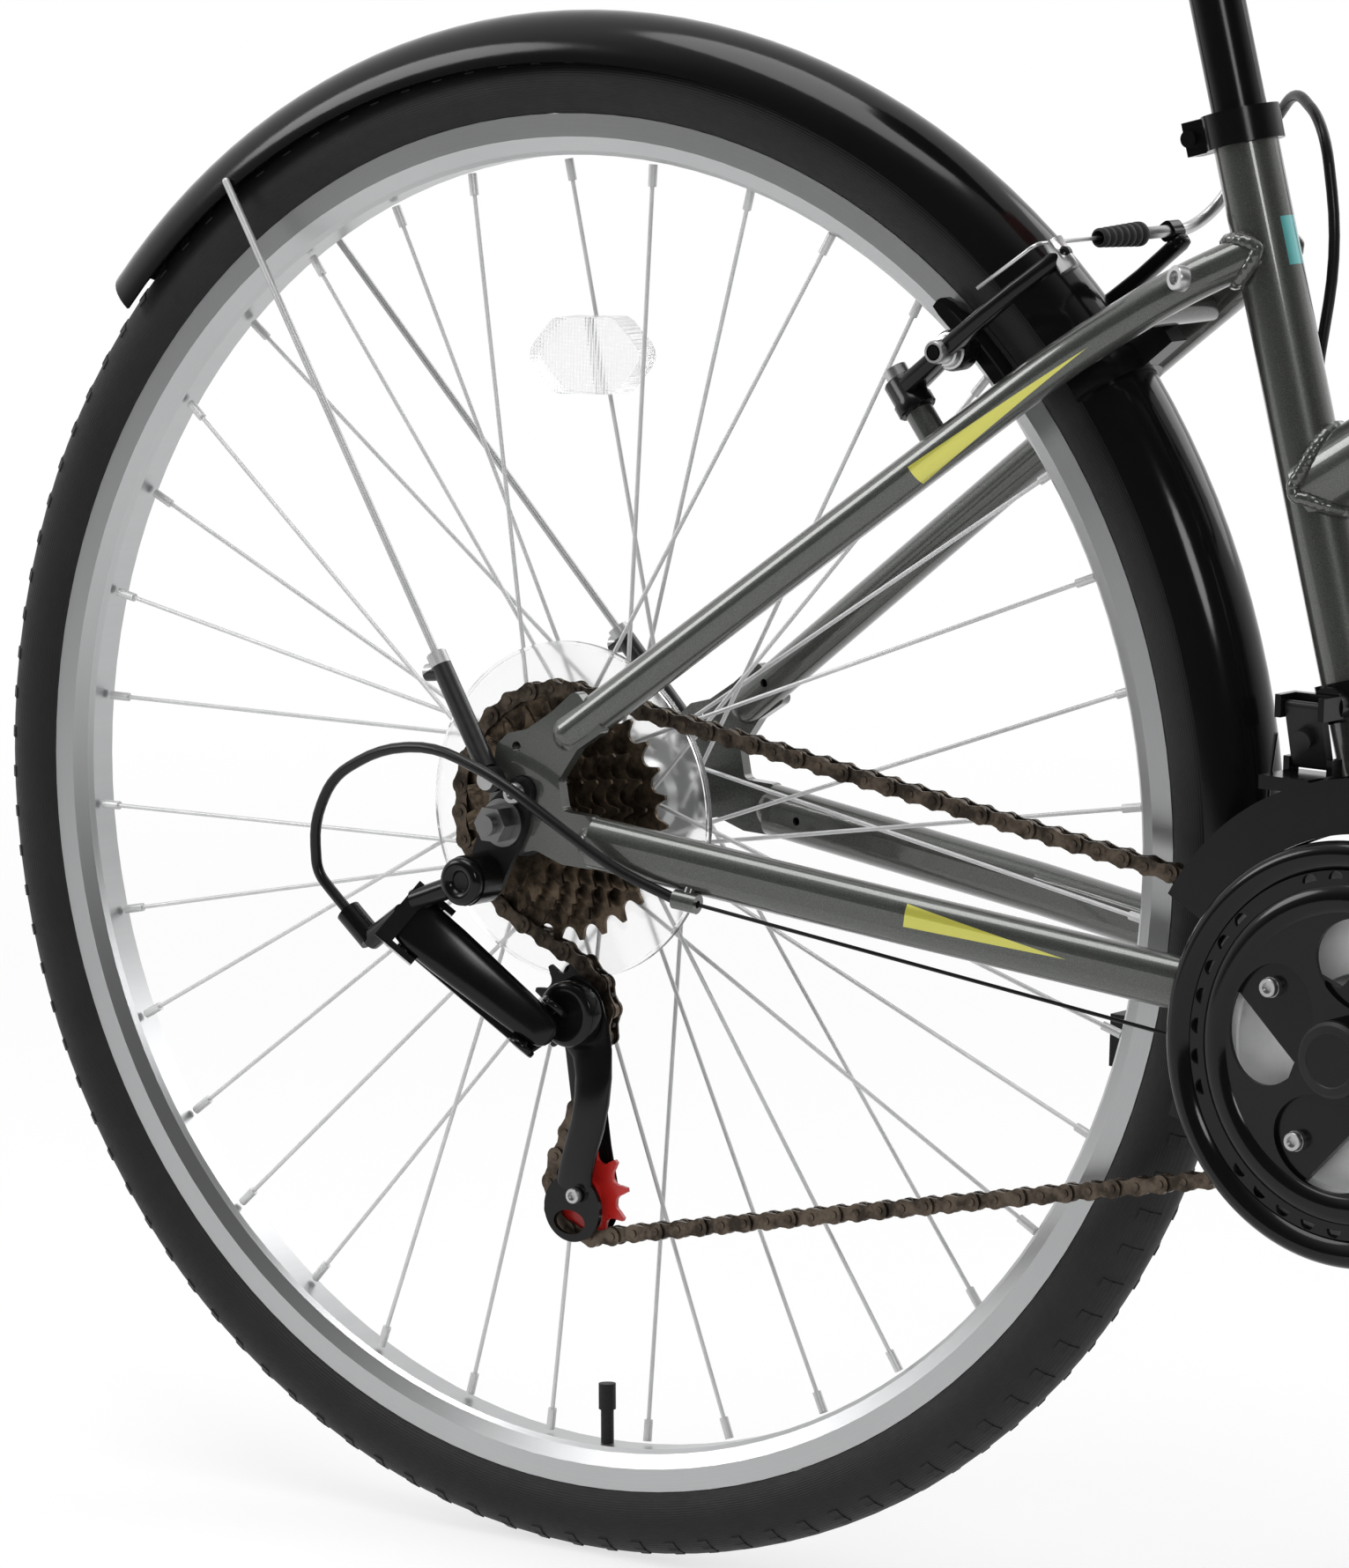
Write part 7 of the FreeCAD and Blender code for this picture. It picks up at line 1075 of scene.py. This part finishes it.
PAD_SECTION = mm((-4.5, 14.8), (-3.9, 14.2), (3.9, 14.2), (4.5, 14.8), (4.5, 22.2), (3, 24.2), (-3, 24.2),
                 (-4.5, 22.2))
PAD_STATIONS = 13
PAD_SLIMMING = 0.35
PAD_SLIM_POWER = 8
FRONT_LIFT = 0.0080
TIP_AT = 0.1060
TIP_LIFT = 0.0413
TIP_OUT = 0.0470
CLAMP_SOLIDS = [1, 2]
GUIDE_SOLIDS = [1]
HOLDER_HALF = 0.0042
HOLDER_SIDES = 24
BOOT_RIBS = 7
BOOT_START = 0.0220
BOOT_END = -0.0120
BOOT_BORE = 0.0034
BOOT_R = 0.0056
BOOT_TAPER = 0.0014
BOOT_RIB = 0.0011
BOOT_SIDES = 28


def boot_profile():
    """Section of a tapered boot, with a rib every step."""
    profile = [(BOOT_BORE, BOOT_END), (BOOT_BORE, BOOT_START)]
    step = (BOOT_END - BOOT_START) / BOOT_RIBS
    for k in range(BOOT_RIBS):
        thick = BOOT_R - BOOT_TAPER * (k + 0.5) / BOOT_RIBS
        middle = BOOT_START + step * (k + 0.5)
        profile.append((thick - BOOT_RIB, middle - step / 2))
        profile += [(thick, middle - step / 4), (thick, middle + step / 4)]
    return profile + [(BOOT_R - BOOT_TAPER - BOOT_RIB, BOOT_END)]


def brake_arm(body, node, axle, lift, clamps):
    """One arm with its pad, and with the loose pieces of its tip in their own finishes."""
    way = LEFT if body.endswith("left") else RIGHT
    pivot = joint_at(body)
    out = Vector(JOINTS[body]["axis"]).normalized()
    out = out if out.z > 0 else -out
    along = LEFT.cross(out)
    along = along if along.z > 0 else -along
    base = Vector((pivot.x, 0, pivot.z)) + out * lift

    def at(far, away, high):
        return base + along * far + way * away + out * high

    pad_middle = at(PAD_AT, 0, ARM_PLANE)
    pad_place = stand(pad_middle, way, out)
    form = Form()
    rings = []
    for (far, away, wide, thick), ahead in headings(ARM_LINE):
        rings.append([at(far - ahead.y * wide * x, away + ahead.x * wide * x, ARM_PLANE + thick * y)
                      for x, y in soft_square(ARM_SIDES)])
    form.skin(rings)
    form.turned(ARM_SLEEVE, SLEEVE_SIDES, stand(at(0, abs(pivot.y), 0), out))
    form.turned(PAD_BOSS, BOSS_SIDES, pad_place)
    form.turned(PAD_STUD, STUD_SIDES, pad_place)
    pad_way = pad_middle - axle
    pad_turn = math.atan2(pad_way.z, pad_way.x)
    arcs = []
    for k in range(PAD_STATIONS):
        share = 2 * k / (PAD_STATIONS - 1) - 1
        slim = 1 - PAD_SLIMMING * abs(share) ** PAD_SLIM_POWER
        a = pad_turn + PAD_HALF_TURN * share
        arcs.append([axle + Vector((math.cos(a), 0, math.sin(a))) * (PAD_R + r * slim) + way * y
                     for r, y in PAD_SECTION])
    form.skin(arcs)
    if not clamps:
        holder = [(x * HOLDER_HALF, y * HOLDER_HALF) for x, y in soft_square(HOLDER_SIDES)]
        form.prism(holder, -HOLDER_HALF, HOLDER_HALF, stand(at(TIP_AT, TIP_OUT, TIP_LIFT), way, out))
    arm = form.object(body + "_form", enamel_black, ARM_SHARP_DEG)
    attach(arm, body)
    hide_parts(node)
    bolt = Form()
    bolt.turned(PAD_BOLT, BOLT_SIDES, pad_place)
    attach(bolt.object(body + "_pad_bolt", zinc), body)
    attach(part_of(node, body + "_tip", zinc, CLAMP_SOLIDS if clamps else GUIDE_SOLIDS), body)
    if not clamps:
        boot = Form()
        boot.turned(boot_profile(), BOOT_SIDES, stand(at(TIP_AT, 0, TIP_LIFT), way, out))
        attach(boot.object(body + "_boot", grip_rubber, SOFT_DEG), body)


brake_arm("rear_arm_right", "rear_brake_arm_right", REAR, 0.0, True)
brake_arm("rear_arm_left", "rear_brake_arm_left", REAR, 0.0, False)
brake_arm("front_arm_right", "front_brake_arm_right", FRONT, FRONT_LIFT, False)
brake_arm("front_arm_left", "front_brake_arm_left", FRONT, FRONT_LIFT, True)
print("brake arms formed")

# %% [markdown]
# The gear's outer link is a swollen casting, widest at the top. A round cap closes the upper knuckle, and
# the lower knuckle is a short barrel with two ears for the links. The cage is a curved, rounded plate with
# a window over the lower jockey wheel, and a thin plate on the far side.

# %% Rear gear
LINK_TOP = Vector((-0.569, -0.085, 0.295))
LINK_LOW = Vector((-0.522, -0.058, 0.252))
LINK_FACE = Vector((0.62, -0.76, 0.19)).normalized()
# Distance along the link, half width, swell in front, swell behind.
LINK_LINE = mm((-12.4, 4, 1.2, 1.2), (-11.2, 7.2, 2.6, 2.4), (-7, 10.8, 3.8, 3.4), (0, 12.4, 5.2, 3.4),
               (16, 12.1, 6.6, 3.4), (36, 11, 7, 3.4), (56, 9.9, 5.8, 3), (69, 8.9, 4.6, 2.2),
               (74.8, 7, 3.8, 1.8), (77.2, 4.6, 2.6, 1.4), (78, 2.6, 1.4, 0.8))
LINK_SIDES = 28
B_BOLT = REAR + Vector((-0.0105, 0.0, -0.0263))
B_CAP = mm((0, 90.5), (10.5, 90.5), (11.1, 92), (10.9, 94.5), (9.7, 96.2), (7.3, 96.6), (5.2, 95.7),
           (4.2, 93.8), (0, 93.6))
B_CAP_SIDES = 40
P_BOLT = joint_at("rd_cage")
P_BARREL = mm((0, 42.2), (15, 42.2), (15, 49), (14.2, 49.9), (12, 50.3), (10, 50.2), (9, 49.7), (0, 49.6))
BARREL_SIDES = 48
EAR = mm((0, -1.6), (6.2, -1.6), (6.8, -1), (6.8, 1), (6.2, 1.6), (0, 1.6))
EAR_SIDES = 28
EAR_AT = 0.0118
ELBOW_BACK = 0.0090
ROOT_Y = 0.0465
NECK_WIDE = 0.0016
NECK_R = 0.0055
NECK_SIDES = 16
# Place ahead of and above the hub, half width, outer face.
CAGE_LINE = mm((11.8, -74.5, 4.5, 41.4), (12.6, -76, 8.5, 41.4), (14.2, -81.5, 13.6, 41.6),
               (17, -89.5, 15.8, 41.6), (22.2, -98.5, 13.8, 41.6), (26.2, -107.5, 11.2, 41.8),
               (28, -118, 9.8, 44), (27.8, -128.4, 9.2, 45.2), (25.8, -140, 8.8, 45.4), (22.4, -151, 8.6, 45),
               (19.4, -161, 9, 43.8), (17.8, -169, 9.8, 42.4), (17.6, -172, 9, 41.6))
CAGE_NEAR = 0.0392
CAGE_SIDES = 24
CAGE_FOOT = Vector((0.0172, 0.0, -0.1800))
CAGE_FOOT_R = 0.0156
CAGE_FOOT_FAR = 0.0416
CAGE_FOOT_SIDES = 64
CAGE_WINDOW = (0.0088, 0.0056)
CAGE_WINDOW_SHIFT = (-0.0012, -0.0066)
CAGE_WINDOW_SIDES = 40
BACK_NEAR = 0.0272
BACK_FAR = 0.0286
# Share of the way between the jockey wheels, half width.
BACK_LINE = [(-0.23, 0.0050), (-0.21, 0.0080), (-0.14, 0.0118), (0.0, 0.0138), (0.25, 0.0112), (0.5, 0.0100),
             (0.75, 0.0112), (1.0, 0.0138), (1.14, 0.0118), (1.21, 0.0080), (1.23, 0.0050)]
JOCKEY_BOLT = mm((0, 27.2), (3, 27.2), (3, 41.4), (0, 41.4))
JOCKEY_SIDES = 20

link_way = (LINK_LOW - LINK_TOP).normalized()
link_face = (LINK_FACE - link_way * LINK_FACE.dot(link_way)).normalized()
link_side = link_way.cross(link_face)
outer = Form()
outer.skin([[LINK_TOP + link_way * far + link_side * (wide * x) + link_face * (y * (swell if y > 0 else back))
             for x, y in soft_square(LINK_SIDES)] for far, wide, swell, back in LINK_LINE])
outer_piece = outer.object("swollen_link", enamel_black, SOFT_DEG)
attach(outer_piece, "rd_outer_link")
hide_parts("derailleur_outer_link")
hanger_cap = Form()
hanger_cap.turned(B_CAP, B_CAP_SIDES, out_right(B_BOLT))
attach(hanger_cap.object("hanger_cap", enamel_black, CAST_DEG), "frame")

knuckle = Form()
knuckle.turned(P_BARREL, BARREL_SIDES, out_right(P_BOLT))
root = Vector((P_BOLT.x, -ROOT_Y, P_BOLT.z))
for side in (1, -1):
    ear = LINK_LOW + link_side * (side * EAR_AT)
    elbow = ear - link_face * ELBOW_BACK
    knuckle.turned(EAR, EAR_SIDES, stand(ear, link_side))
    neck = [link_side * (NECK_WIDE * x) + link_way * (NECK_R * y) for x, y in soft_square(NECK_SIDES)]
    knuckle.skin([[spot + away for away in neck]
                  for spot in (root, root.lerp(elbow, 0.5), elbow, elbow.lerp(ear, 0.5), ear)])
knuckle_piece = knuckle.object("round_knuckle", enamel_black, CAST_DEG)
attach(knuckle_piece, "rd_knuckle")
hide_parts("derailleur_knuckle")


def cage_skin(form, line, near):
    """Rounded plate along a line of (x, z, half width, outer face) stations measured from the hub."""
    rings = []
    for (x, z, half, far), ahead in headings(line):
        middle = REAR + Vector((x, -(near + far) / 2, z))
        across = Vector((-ahead.y, 0, ahead.x)) * half
        out = RIGHT * ((far - near) / 2)
        rings.append([middle + across * u + out * v for u, v in soft_square(CAGE_SIDES)])
    form.skin(rings)


cage = Form()
cage_skin(cage, CAGE_LINE, CAGE_NEAR)
back_line = []
for share, half in BACK_LINE:
    spot = GUIDE.lerp(TENSION, share) - REAR
    back_line.append((spot.x, spot.z, half, BACK_FAR))
cage_skin(cage, back_line, BACK_NEAR)
cage_window = [(x * CAGE_WINDOW[0] + CAGE_WINDOW_SHIFT[0], y * CAGE_WINDOW[1] + CAGE_WINDOW_SHIFT[1])
               for x, y in circle(1.0, CAGE_WINDOW_SIDES)]
cage.plate([circle(CAGE_FOOT_R, CAGE_FOOT_SIDES), cage_window], CAGE_NEAR, CAGE_FOOT_FAR,
           stand(REAR + CAGE_FOOT, RIGHT, AHEAD))
for spot in (GUIDE, TENSION):
    cage.turned(JOCKEY_BOLT, JOCKEY_SIDES, out_right(spot))
cage_piece = cage.object("curved_cage", enamel_black, CAST_DEG)
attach(cage_piece, "rd_cage")
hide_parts("derailleur_cage")
print("rear gear formed")

# %% [markdown]
# Every tube is welded to its neighbour. A seam is where one tube's wall meets the other's, found line by
# line along the smaller tube, and the bead tree lays the rippled metal on it.

# %% Welds
BEAD_R = 0.0030
BEAD_LIFT = 0.0029
BEAD_RIPPLES = 2 * math.pi / 0.0034
BEAD_DEPTH = 0.00012
SEAM_POINTS = 72
STEER_AXIS = Vector(JOINTS["steering"]["axis"])
TOP_AXIS = Vector((0.8430, 0.0, 0.5380))
DOWN_AXIS = Vector((0.6800, 0.0, 0.7332))
TOP_R = 0.01745
DOWN_R = 0.0200
STAY_R = 0.0090
STAY_SPREAD = 0.009
TOP_FOOT = CRANK + SEAT_AXIS * 0.241
TOP_BACK = TOP_FOOT + TOP_AXIS * 0.10
TOP_FRONT = TOP_FOOT + TOP_AXIS * 0.30
DOWN_FRONT = Vector((0.33804, 0.0, 0.75428)) - DOWN_AXIS * 0.20
STAY_ROOT = CRANK + SEAT_AXIS * 0.346
STAY_HIGH = REAR + Vector((0.318, -0.027, 0.262))
# Point on the axis, way, radius with the bead's lift.
SEAT_TUBE = (CRANK, SEAT_AXIS, 0.0143 + BEAD_LIFT)
HEAD_TUBE = (Vector((0.35206, 0.0, 0.71469)), STEER_AXIS, 0.0185 + BEAD_LIFT)


def seam(start, way, radius, trunk):
    """Points where lines along a tube's wall first meet a trunk tube."""
    trunk_foot, trunk_way, trunk_radius = trunk
    way = way.normalized()
    across = way.orthogonal().normalized()
    other = way.cross(across)
    drift = way - trunk_way * way.dot(trunk_way)
    points = []
    for x, y in circle(radius, SEAM_POINTS):
        spot = start + across * x + other * y
        gap = spot - trunk_foot
        gap -= trunk_way * gap.dot(trunk_way)
        a, b, c = drift.dot(drift), gap.dot(drift), gap.dot(gap) - trunk_radius ** 2
        inside = max(b * b - a * c, 0.0)
        points.append(spot + way * ((-b - math.sqrt(inside)) / a))
    return points


def bead(name, loops):
    """Rippled weld beads along closed loops of points."""
    mesh = bpy.data.meshes.new("seams")
    points = []
    edges = []
    for loop in loops:
        base = len(points)
        points += loop
        edges += [(base + k, base + (k + 1) % len(loop)) for k in range(len(loop))]
    mesh.from_pydata(points, edges, [])
    grown = beads.grow(mesh, Bead_radius=BEAD_R, Ripples=BEAD_RIPPLES, Depth=BEAD_DEPTH,
                       Material=weld_paint.material)
    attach(joined(name, [grown]), "frame")


stays = [(STAY_HIGH, STAY_ROOT + RIGHT * STAY_SPREAD), (mirrored(STAY_HIGH), STAY_ROOT + LEFT * STAY_SPREAD)]
bead("welds", [
    seam(TOP_BACK, -TOP_AXIS, TOP_R, SEAT_TUBE),
    seam(TOP_FRONT, TOP_AXIS, TOP_R, HEAD_TUBE),
    seam(DOWN_FRONT, DOWN_AXIS, DOWN_R, HEAD_TUBE),
] + [seam(low, high - low, STAY_R, SEAT_TUBE) for low, high in stays])
print("welds laid")

# %% [markdown]
# The tread is smooth in the middle, with small blocks along both shoulders. One ring of blocks is grown for
# each lean of the tyre's round section.

# %% Tread
TREAD_RING_R = 0.3296
TREAD_SECTION_R = 0.01690
TREAD_BLOCKS = 112
TREAD_LEANS_DEG = [30.0, 46.0, -30.0, -46.0]
TREAD_BLOCK = (0.0060, 0.0052, 0.0016)

for name, centre, finish, body in (("rear_tread", REAR, rear_rubber, "rear_wheel"),
                                   ("front_tread", FRONT, front_rubber, "front_wheel")):
    rings = []
    for lean in TREAD_LEANS_DEG:
        seed = bpy.data.meshes.new("seed")
        ring = blocks.grow(seed, Blocks=TREAD_BLOCKS, Ring_radius=TREAD_RING_R, Lean=math.radians(lean),
                           Section_radius=TREAD_SECTION_R, Block_size=TREAD_BLOCK, Material=finish.material)
        ring.transform(Matrix.Translation(centre) @ Matrix.Rotation(math.pi / 2, 4, "X"))
        rings.append(ring)
    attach(joined(name, rings), body)
print("tread blocks", 2 * len(TREAD_LEANS_DEG) * TREAD_BLOCKS)

# %% [markdown]
# The saddle is foam under a smooth cover: wide and rounded at the back, narrow at the nose, with a shallow
# channel along the middle. Its rails stay as modelled.

# %% Saddle
SADDLE_BACK = -0.4101
SADDLE_LENGTH = 0.265
SADDLE_TOP = 0.9760
# Share of the length, half width, height, drop of the top.
SADDLE_STATIONS = [
    (0.000, 0.040, 0.026, 0.000), (0.015, 0.062, 0.036, -0.002), (0.060, 0.078, 0.046, -0.001),
    (0.160, 0.0885, 0.056, 0.000), (0.300, 0.0885, 0.058, 0.000), (0.420, 0.074, 0.056, -0.003),
    (0.520, 0.055, 0.052, -0.006), (0.640, 0.038, 0.048, -0.008), (0.780, 0.028, 0.044, -0.008),
    (0.920, 0.024, 0.038, -0.009), (0.980, 0.018, 0.030, -0.012), (1.000, 0.010, 0.022, -0.015),
]
SADDLE_ROUND = 28
SADDLE_LEVELS = 2
SADDLE_SHARP_DEG = 180.0
SIDE_POWER = 0.75
TUCK = 0.88
DOME_SHARE = 0.42
DOME_POWER = 0.62
BELLY_POWER = 0.45
CHANNEL_DEPTH = 0.0045
CHANNEL_HALF = 0.011
CHANNEL_STRETCH = 1.15


def saddle_ring(share, half, tall, drop):
    """One cross section of the saddle, round on top and tucked in below."""
    x = SADDLE_BACK + SADDLE_LENGTH * share
    points = []
    for k in range(SADDLE_ROUND):
        turn = 2 * math.pi * (k + 0.5) / SADDLE_ROUND
        c, s = math.cos(turn), math.sin(turn)
        y = half * math.copysign(abs(c) ** SIDE_POWER, c) * (1.0 if s > 0 else TUCK)
        if s > 0:
            channel = CHANNEL_DEPTH * math.exp(-(y / CHANNEL_HALF) ** 2)
            down = tall * DOME_SHARE * (1 - s ** DOME_POWER)
            down += channel * math.sin(math.pi * min(share * CHANNEL_STRETCH, 1.0))
        else:
            down = tall * (DOME_SHARE + (1 - DOME_SHARE) * abs(s) ** BELLY_POWER)
        points.append(Vector((x, y, SADDLE_TOP + drop - down)))
    return points


pad = Form()
pad.skin([saddle_ring(*station) for station in SADDLE_STATIONS])
saddle_pad = pad.object("saddle_pad", saddle_cover, SADDLE_SHARP_DEG)
saddle_pad.modifiers.new("rounder", "SUBSURF").levels = SADDLE_LEVELS
rounded = evaluated(saddle_pad)
saddle_pad.modifiers.clear()
saddle_pad.data = rounded
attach(saddle_pad, "seatpost")
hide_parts("saddle")

saddle_solids = islands("saddle")
cover = max(range(len(saddle_solids)), key=lambda number: len(saddle_solids[number]))
rails = part_of("saddle", "saddle_rails", dull_steel, [k for k in range(len(saddle_solids)) if k != cover])
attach(rails, "seatpost")
print("saddle", len(rounded.polygons), "faces")

# %% [markdown]
# The grips are turned rubber with a row of soft ribs, and the housings that cross the steering are kept as
# they run from the frame to the bar.

# %% Grips and crossing cables
GRIP_LENGTH = 0.121
GRIP_CAP = 0.003
GRIP_EDGE = 0.0008
GRIP_BORE = 0.0112
GRIP_R = 0.0160
GRIP_RIB = 0.0010
GRIP_RIBS = 22
GRIP_SIDES = 48
# Share of a rib's length, share of its height.
GRIP_WAVE = ((0.15, 0.0), (0.35, 1.0), (0.65, 1.0), (0.85, 0.0))

grip_half = GRIP_LENGTH / 2
grip_profile = [(GRIP_BORE, -grip_half), (GRIP_R - GRIP_EDGE, -grip_half)]
for k in range(GRIP_RIBS):
    for share, height in GRIP_WAVE:
        far = GRIP_LENGTH * (k + share) / GRIP_RIBS
        grip_profile.append((GRIP_R - GRIP_RIB * (1 - height), far - grip_half))
grip_profile += [(GRIP_R, grip_half - GRIP_EDGE), (GRIP_R - GRIP_EDGE, grip_half), (0.0, grip_half),
                 (0.0, grip_half - GRIP_CAP), (GRIP_BORE, grip_half - GRIP_CAP)]
grip_form = Form()
for points in islands("grips"):
    middle = middle_of(points)
    axis = Vector(JOINTS["right_shifter" if middle.y < 0 else "left_shifter"]["axis"])
    axis = axis if axis.y * middle.y > 0 else -axis
    grip_form.turned(grip_profile, GRIP_SIDES, stand(middle, axis))
grip_piece = grip_form.object("ribbed_grips", grip_rubber, CAST_DEG)
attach(grip_piece, "steering")
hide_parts("grips")

crossing = merged("steering_cables")
crossing_piece = finished("crossing_cables", crossing, housing_black.material, sharp_deg=None)
cords = islands("steering_cables")
frame_ends = [min(points, key=lambda point: point.z) for points in cords]
bar_ends = [max(points, key=lambda point: point.z) for points in cords]
rise = ((sum(bar_ends, Vector()) - sum(frame_ends, Vector())) * (AHEAD + UP)).normalized()
still = max(frame_ends, key=rise.dot)
moving = min(bar_ends, key=rise.dot)
still = Vector((still.x, 0, still.z))
moving = still + rise * (moving - still).dot(rise)
print("crossing cables bend from", tuple(still), "to", tuple(moving))
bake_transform(crossing_piece)
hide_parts("steering_cables")

# %% [markdown]
# Light: a white studio. A broad soft box overhead and to the left, weaker ones by the camera, behind and on
# the far side, and a white world. The floor is pale and fades into the background, so that only the soft
# shadow is left.

# %% Studio
WORLD_LIGHT = 0.55
ROOM_LIGHT = 0.05
BACKDROP_RISE = 0.45
BACKDROP_FROM = -0.35
BACKDROP_TO = 0.45
FLOOR_SHADE_SHARE = 0.30
FLOOR_SOLID = 1.2
FLOOR_RADIUS = 3.2
FLOOR_SIDES = 96
FLOOR_DROP = 0.0005
LAMP_TARGET = Vector((0, 0, 0.4))
LAMPS = [
    ("top_box", (-0.9, -0.6, 3.0), 1.9, 42.0),
    ("camera_box", (2.6, -2.8, 2.2), 1.1, 30.0),
    ("rear_box", (-3.0, -1.8, 1.8), 1.3, 28.0),
    ("far_box", (0.6, 3.0, 2.4), 2.4, 30.0),
]


def ray(graph, kind):
    """1 for one kind of light ray, 0 for the others."""
    return graph.node("ShaderNodeLightPath", {}, {}, kind)


world = bpy.data.worlds.new("studio")
world.use_nodes = True
SCENE.world = world
sky = Graph(world.node_tree)
seen = ray(sky, "Is Camera Ray").most(ray(sky, "Is Transmission Ray"))
shiny = ray(sky, "Is Glossy Ray")
backdrop_way = (UP * BACKDROP_RISE - Vector((to_camera.x, to_camera.y, 0))).normalized()
looking = sky.node("ShaderNodeTexCoord", {}, {}, "Generated")
facing = sky.vector("DOT_PRODUCT", looking, backdrop_way, output="Value")
backdrop = sky.step(facing, BACKDROP_FROM, BACKDROP_TO, ROOM_LIGHT, 1.0)
background = sky.tree.nodes["Background"]
background.inputs["Color"].default_value = grey(1.0)
strength = seen.most(shiny * backdrop) + (1 - seen.most(shiny)) * WORLD_LIGHT
sky.plug(strength, background.inputs["Strength"])

for name, spot, width, power in LAMPS:
    lamp = bpy.data.lights.new(name, "AREA")
    lamp.shape = "DISK"
    lamp.size = width
    lamp.energy = power
    turn = (Vector(spot) - LAMP_TARGET).to_track_quat("Z", "Y").to_matrix().to_4x4()
    shown(name, lamp).matrix_world = Matrix.Translation(Vector(spot)) @ turn

floor_mesh = bpy.data.meshes.new("floor")
sheet = bmesh.new()
bmesh.ops.create_circle(sheet, cap_ends=True, segments=FLOOR_SIDES, radius=FLOOR_RADIUS)
sheet.to_mesh(floor_mesh)
sheet.free()
floor = shown("floor", floor_mesh)
floor.location.z = -FLOOR_DROP
pale = Finish("pale_floor", Base_Color=grey(0.90), Roughness=0.9, Specular_IOR_Level=0.1)
looked_at = ray(pale, "Is Camera Ray").most(ray(pale, "Is Glossy Ray")).most(ray(pale, "Is Transmission Ray"))
fade = pale.step(pale.from_axis(ORIGIN, UP), FLOOR_SOLID, FLOOR_RADIUS)
lit_share = 1 - (1 - fade) * FLOOR_SHADE_SHARE
glow = pale.node("ShaderNodeEmission", {}, {})
surface = pale.node("ShaderNodeMixShader", {},
                    {0: looked_at * lit_share, 1: Value(pale, pale.shader.outputs[0]), 2: glow})
pale.plug(surface, pale.tree.nodes["Material Output"].inputs["Surface"])
floor_mesh.materials.append(pale.material)
print("studio lit by", len(LAMPS), "soft boxes")
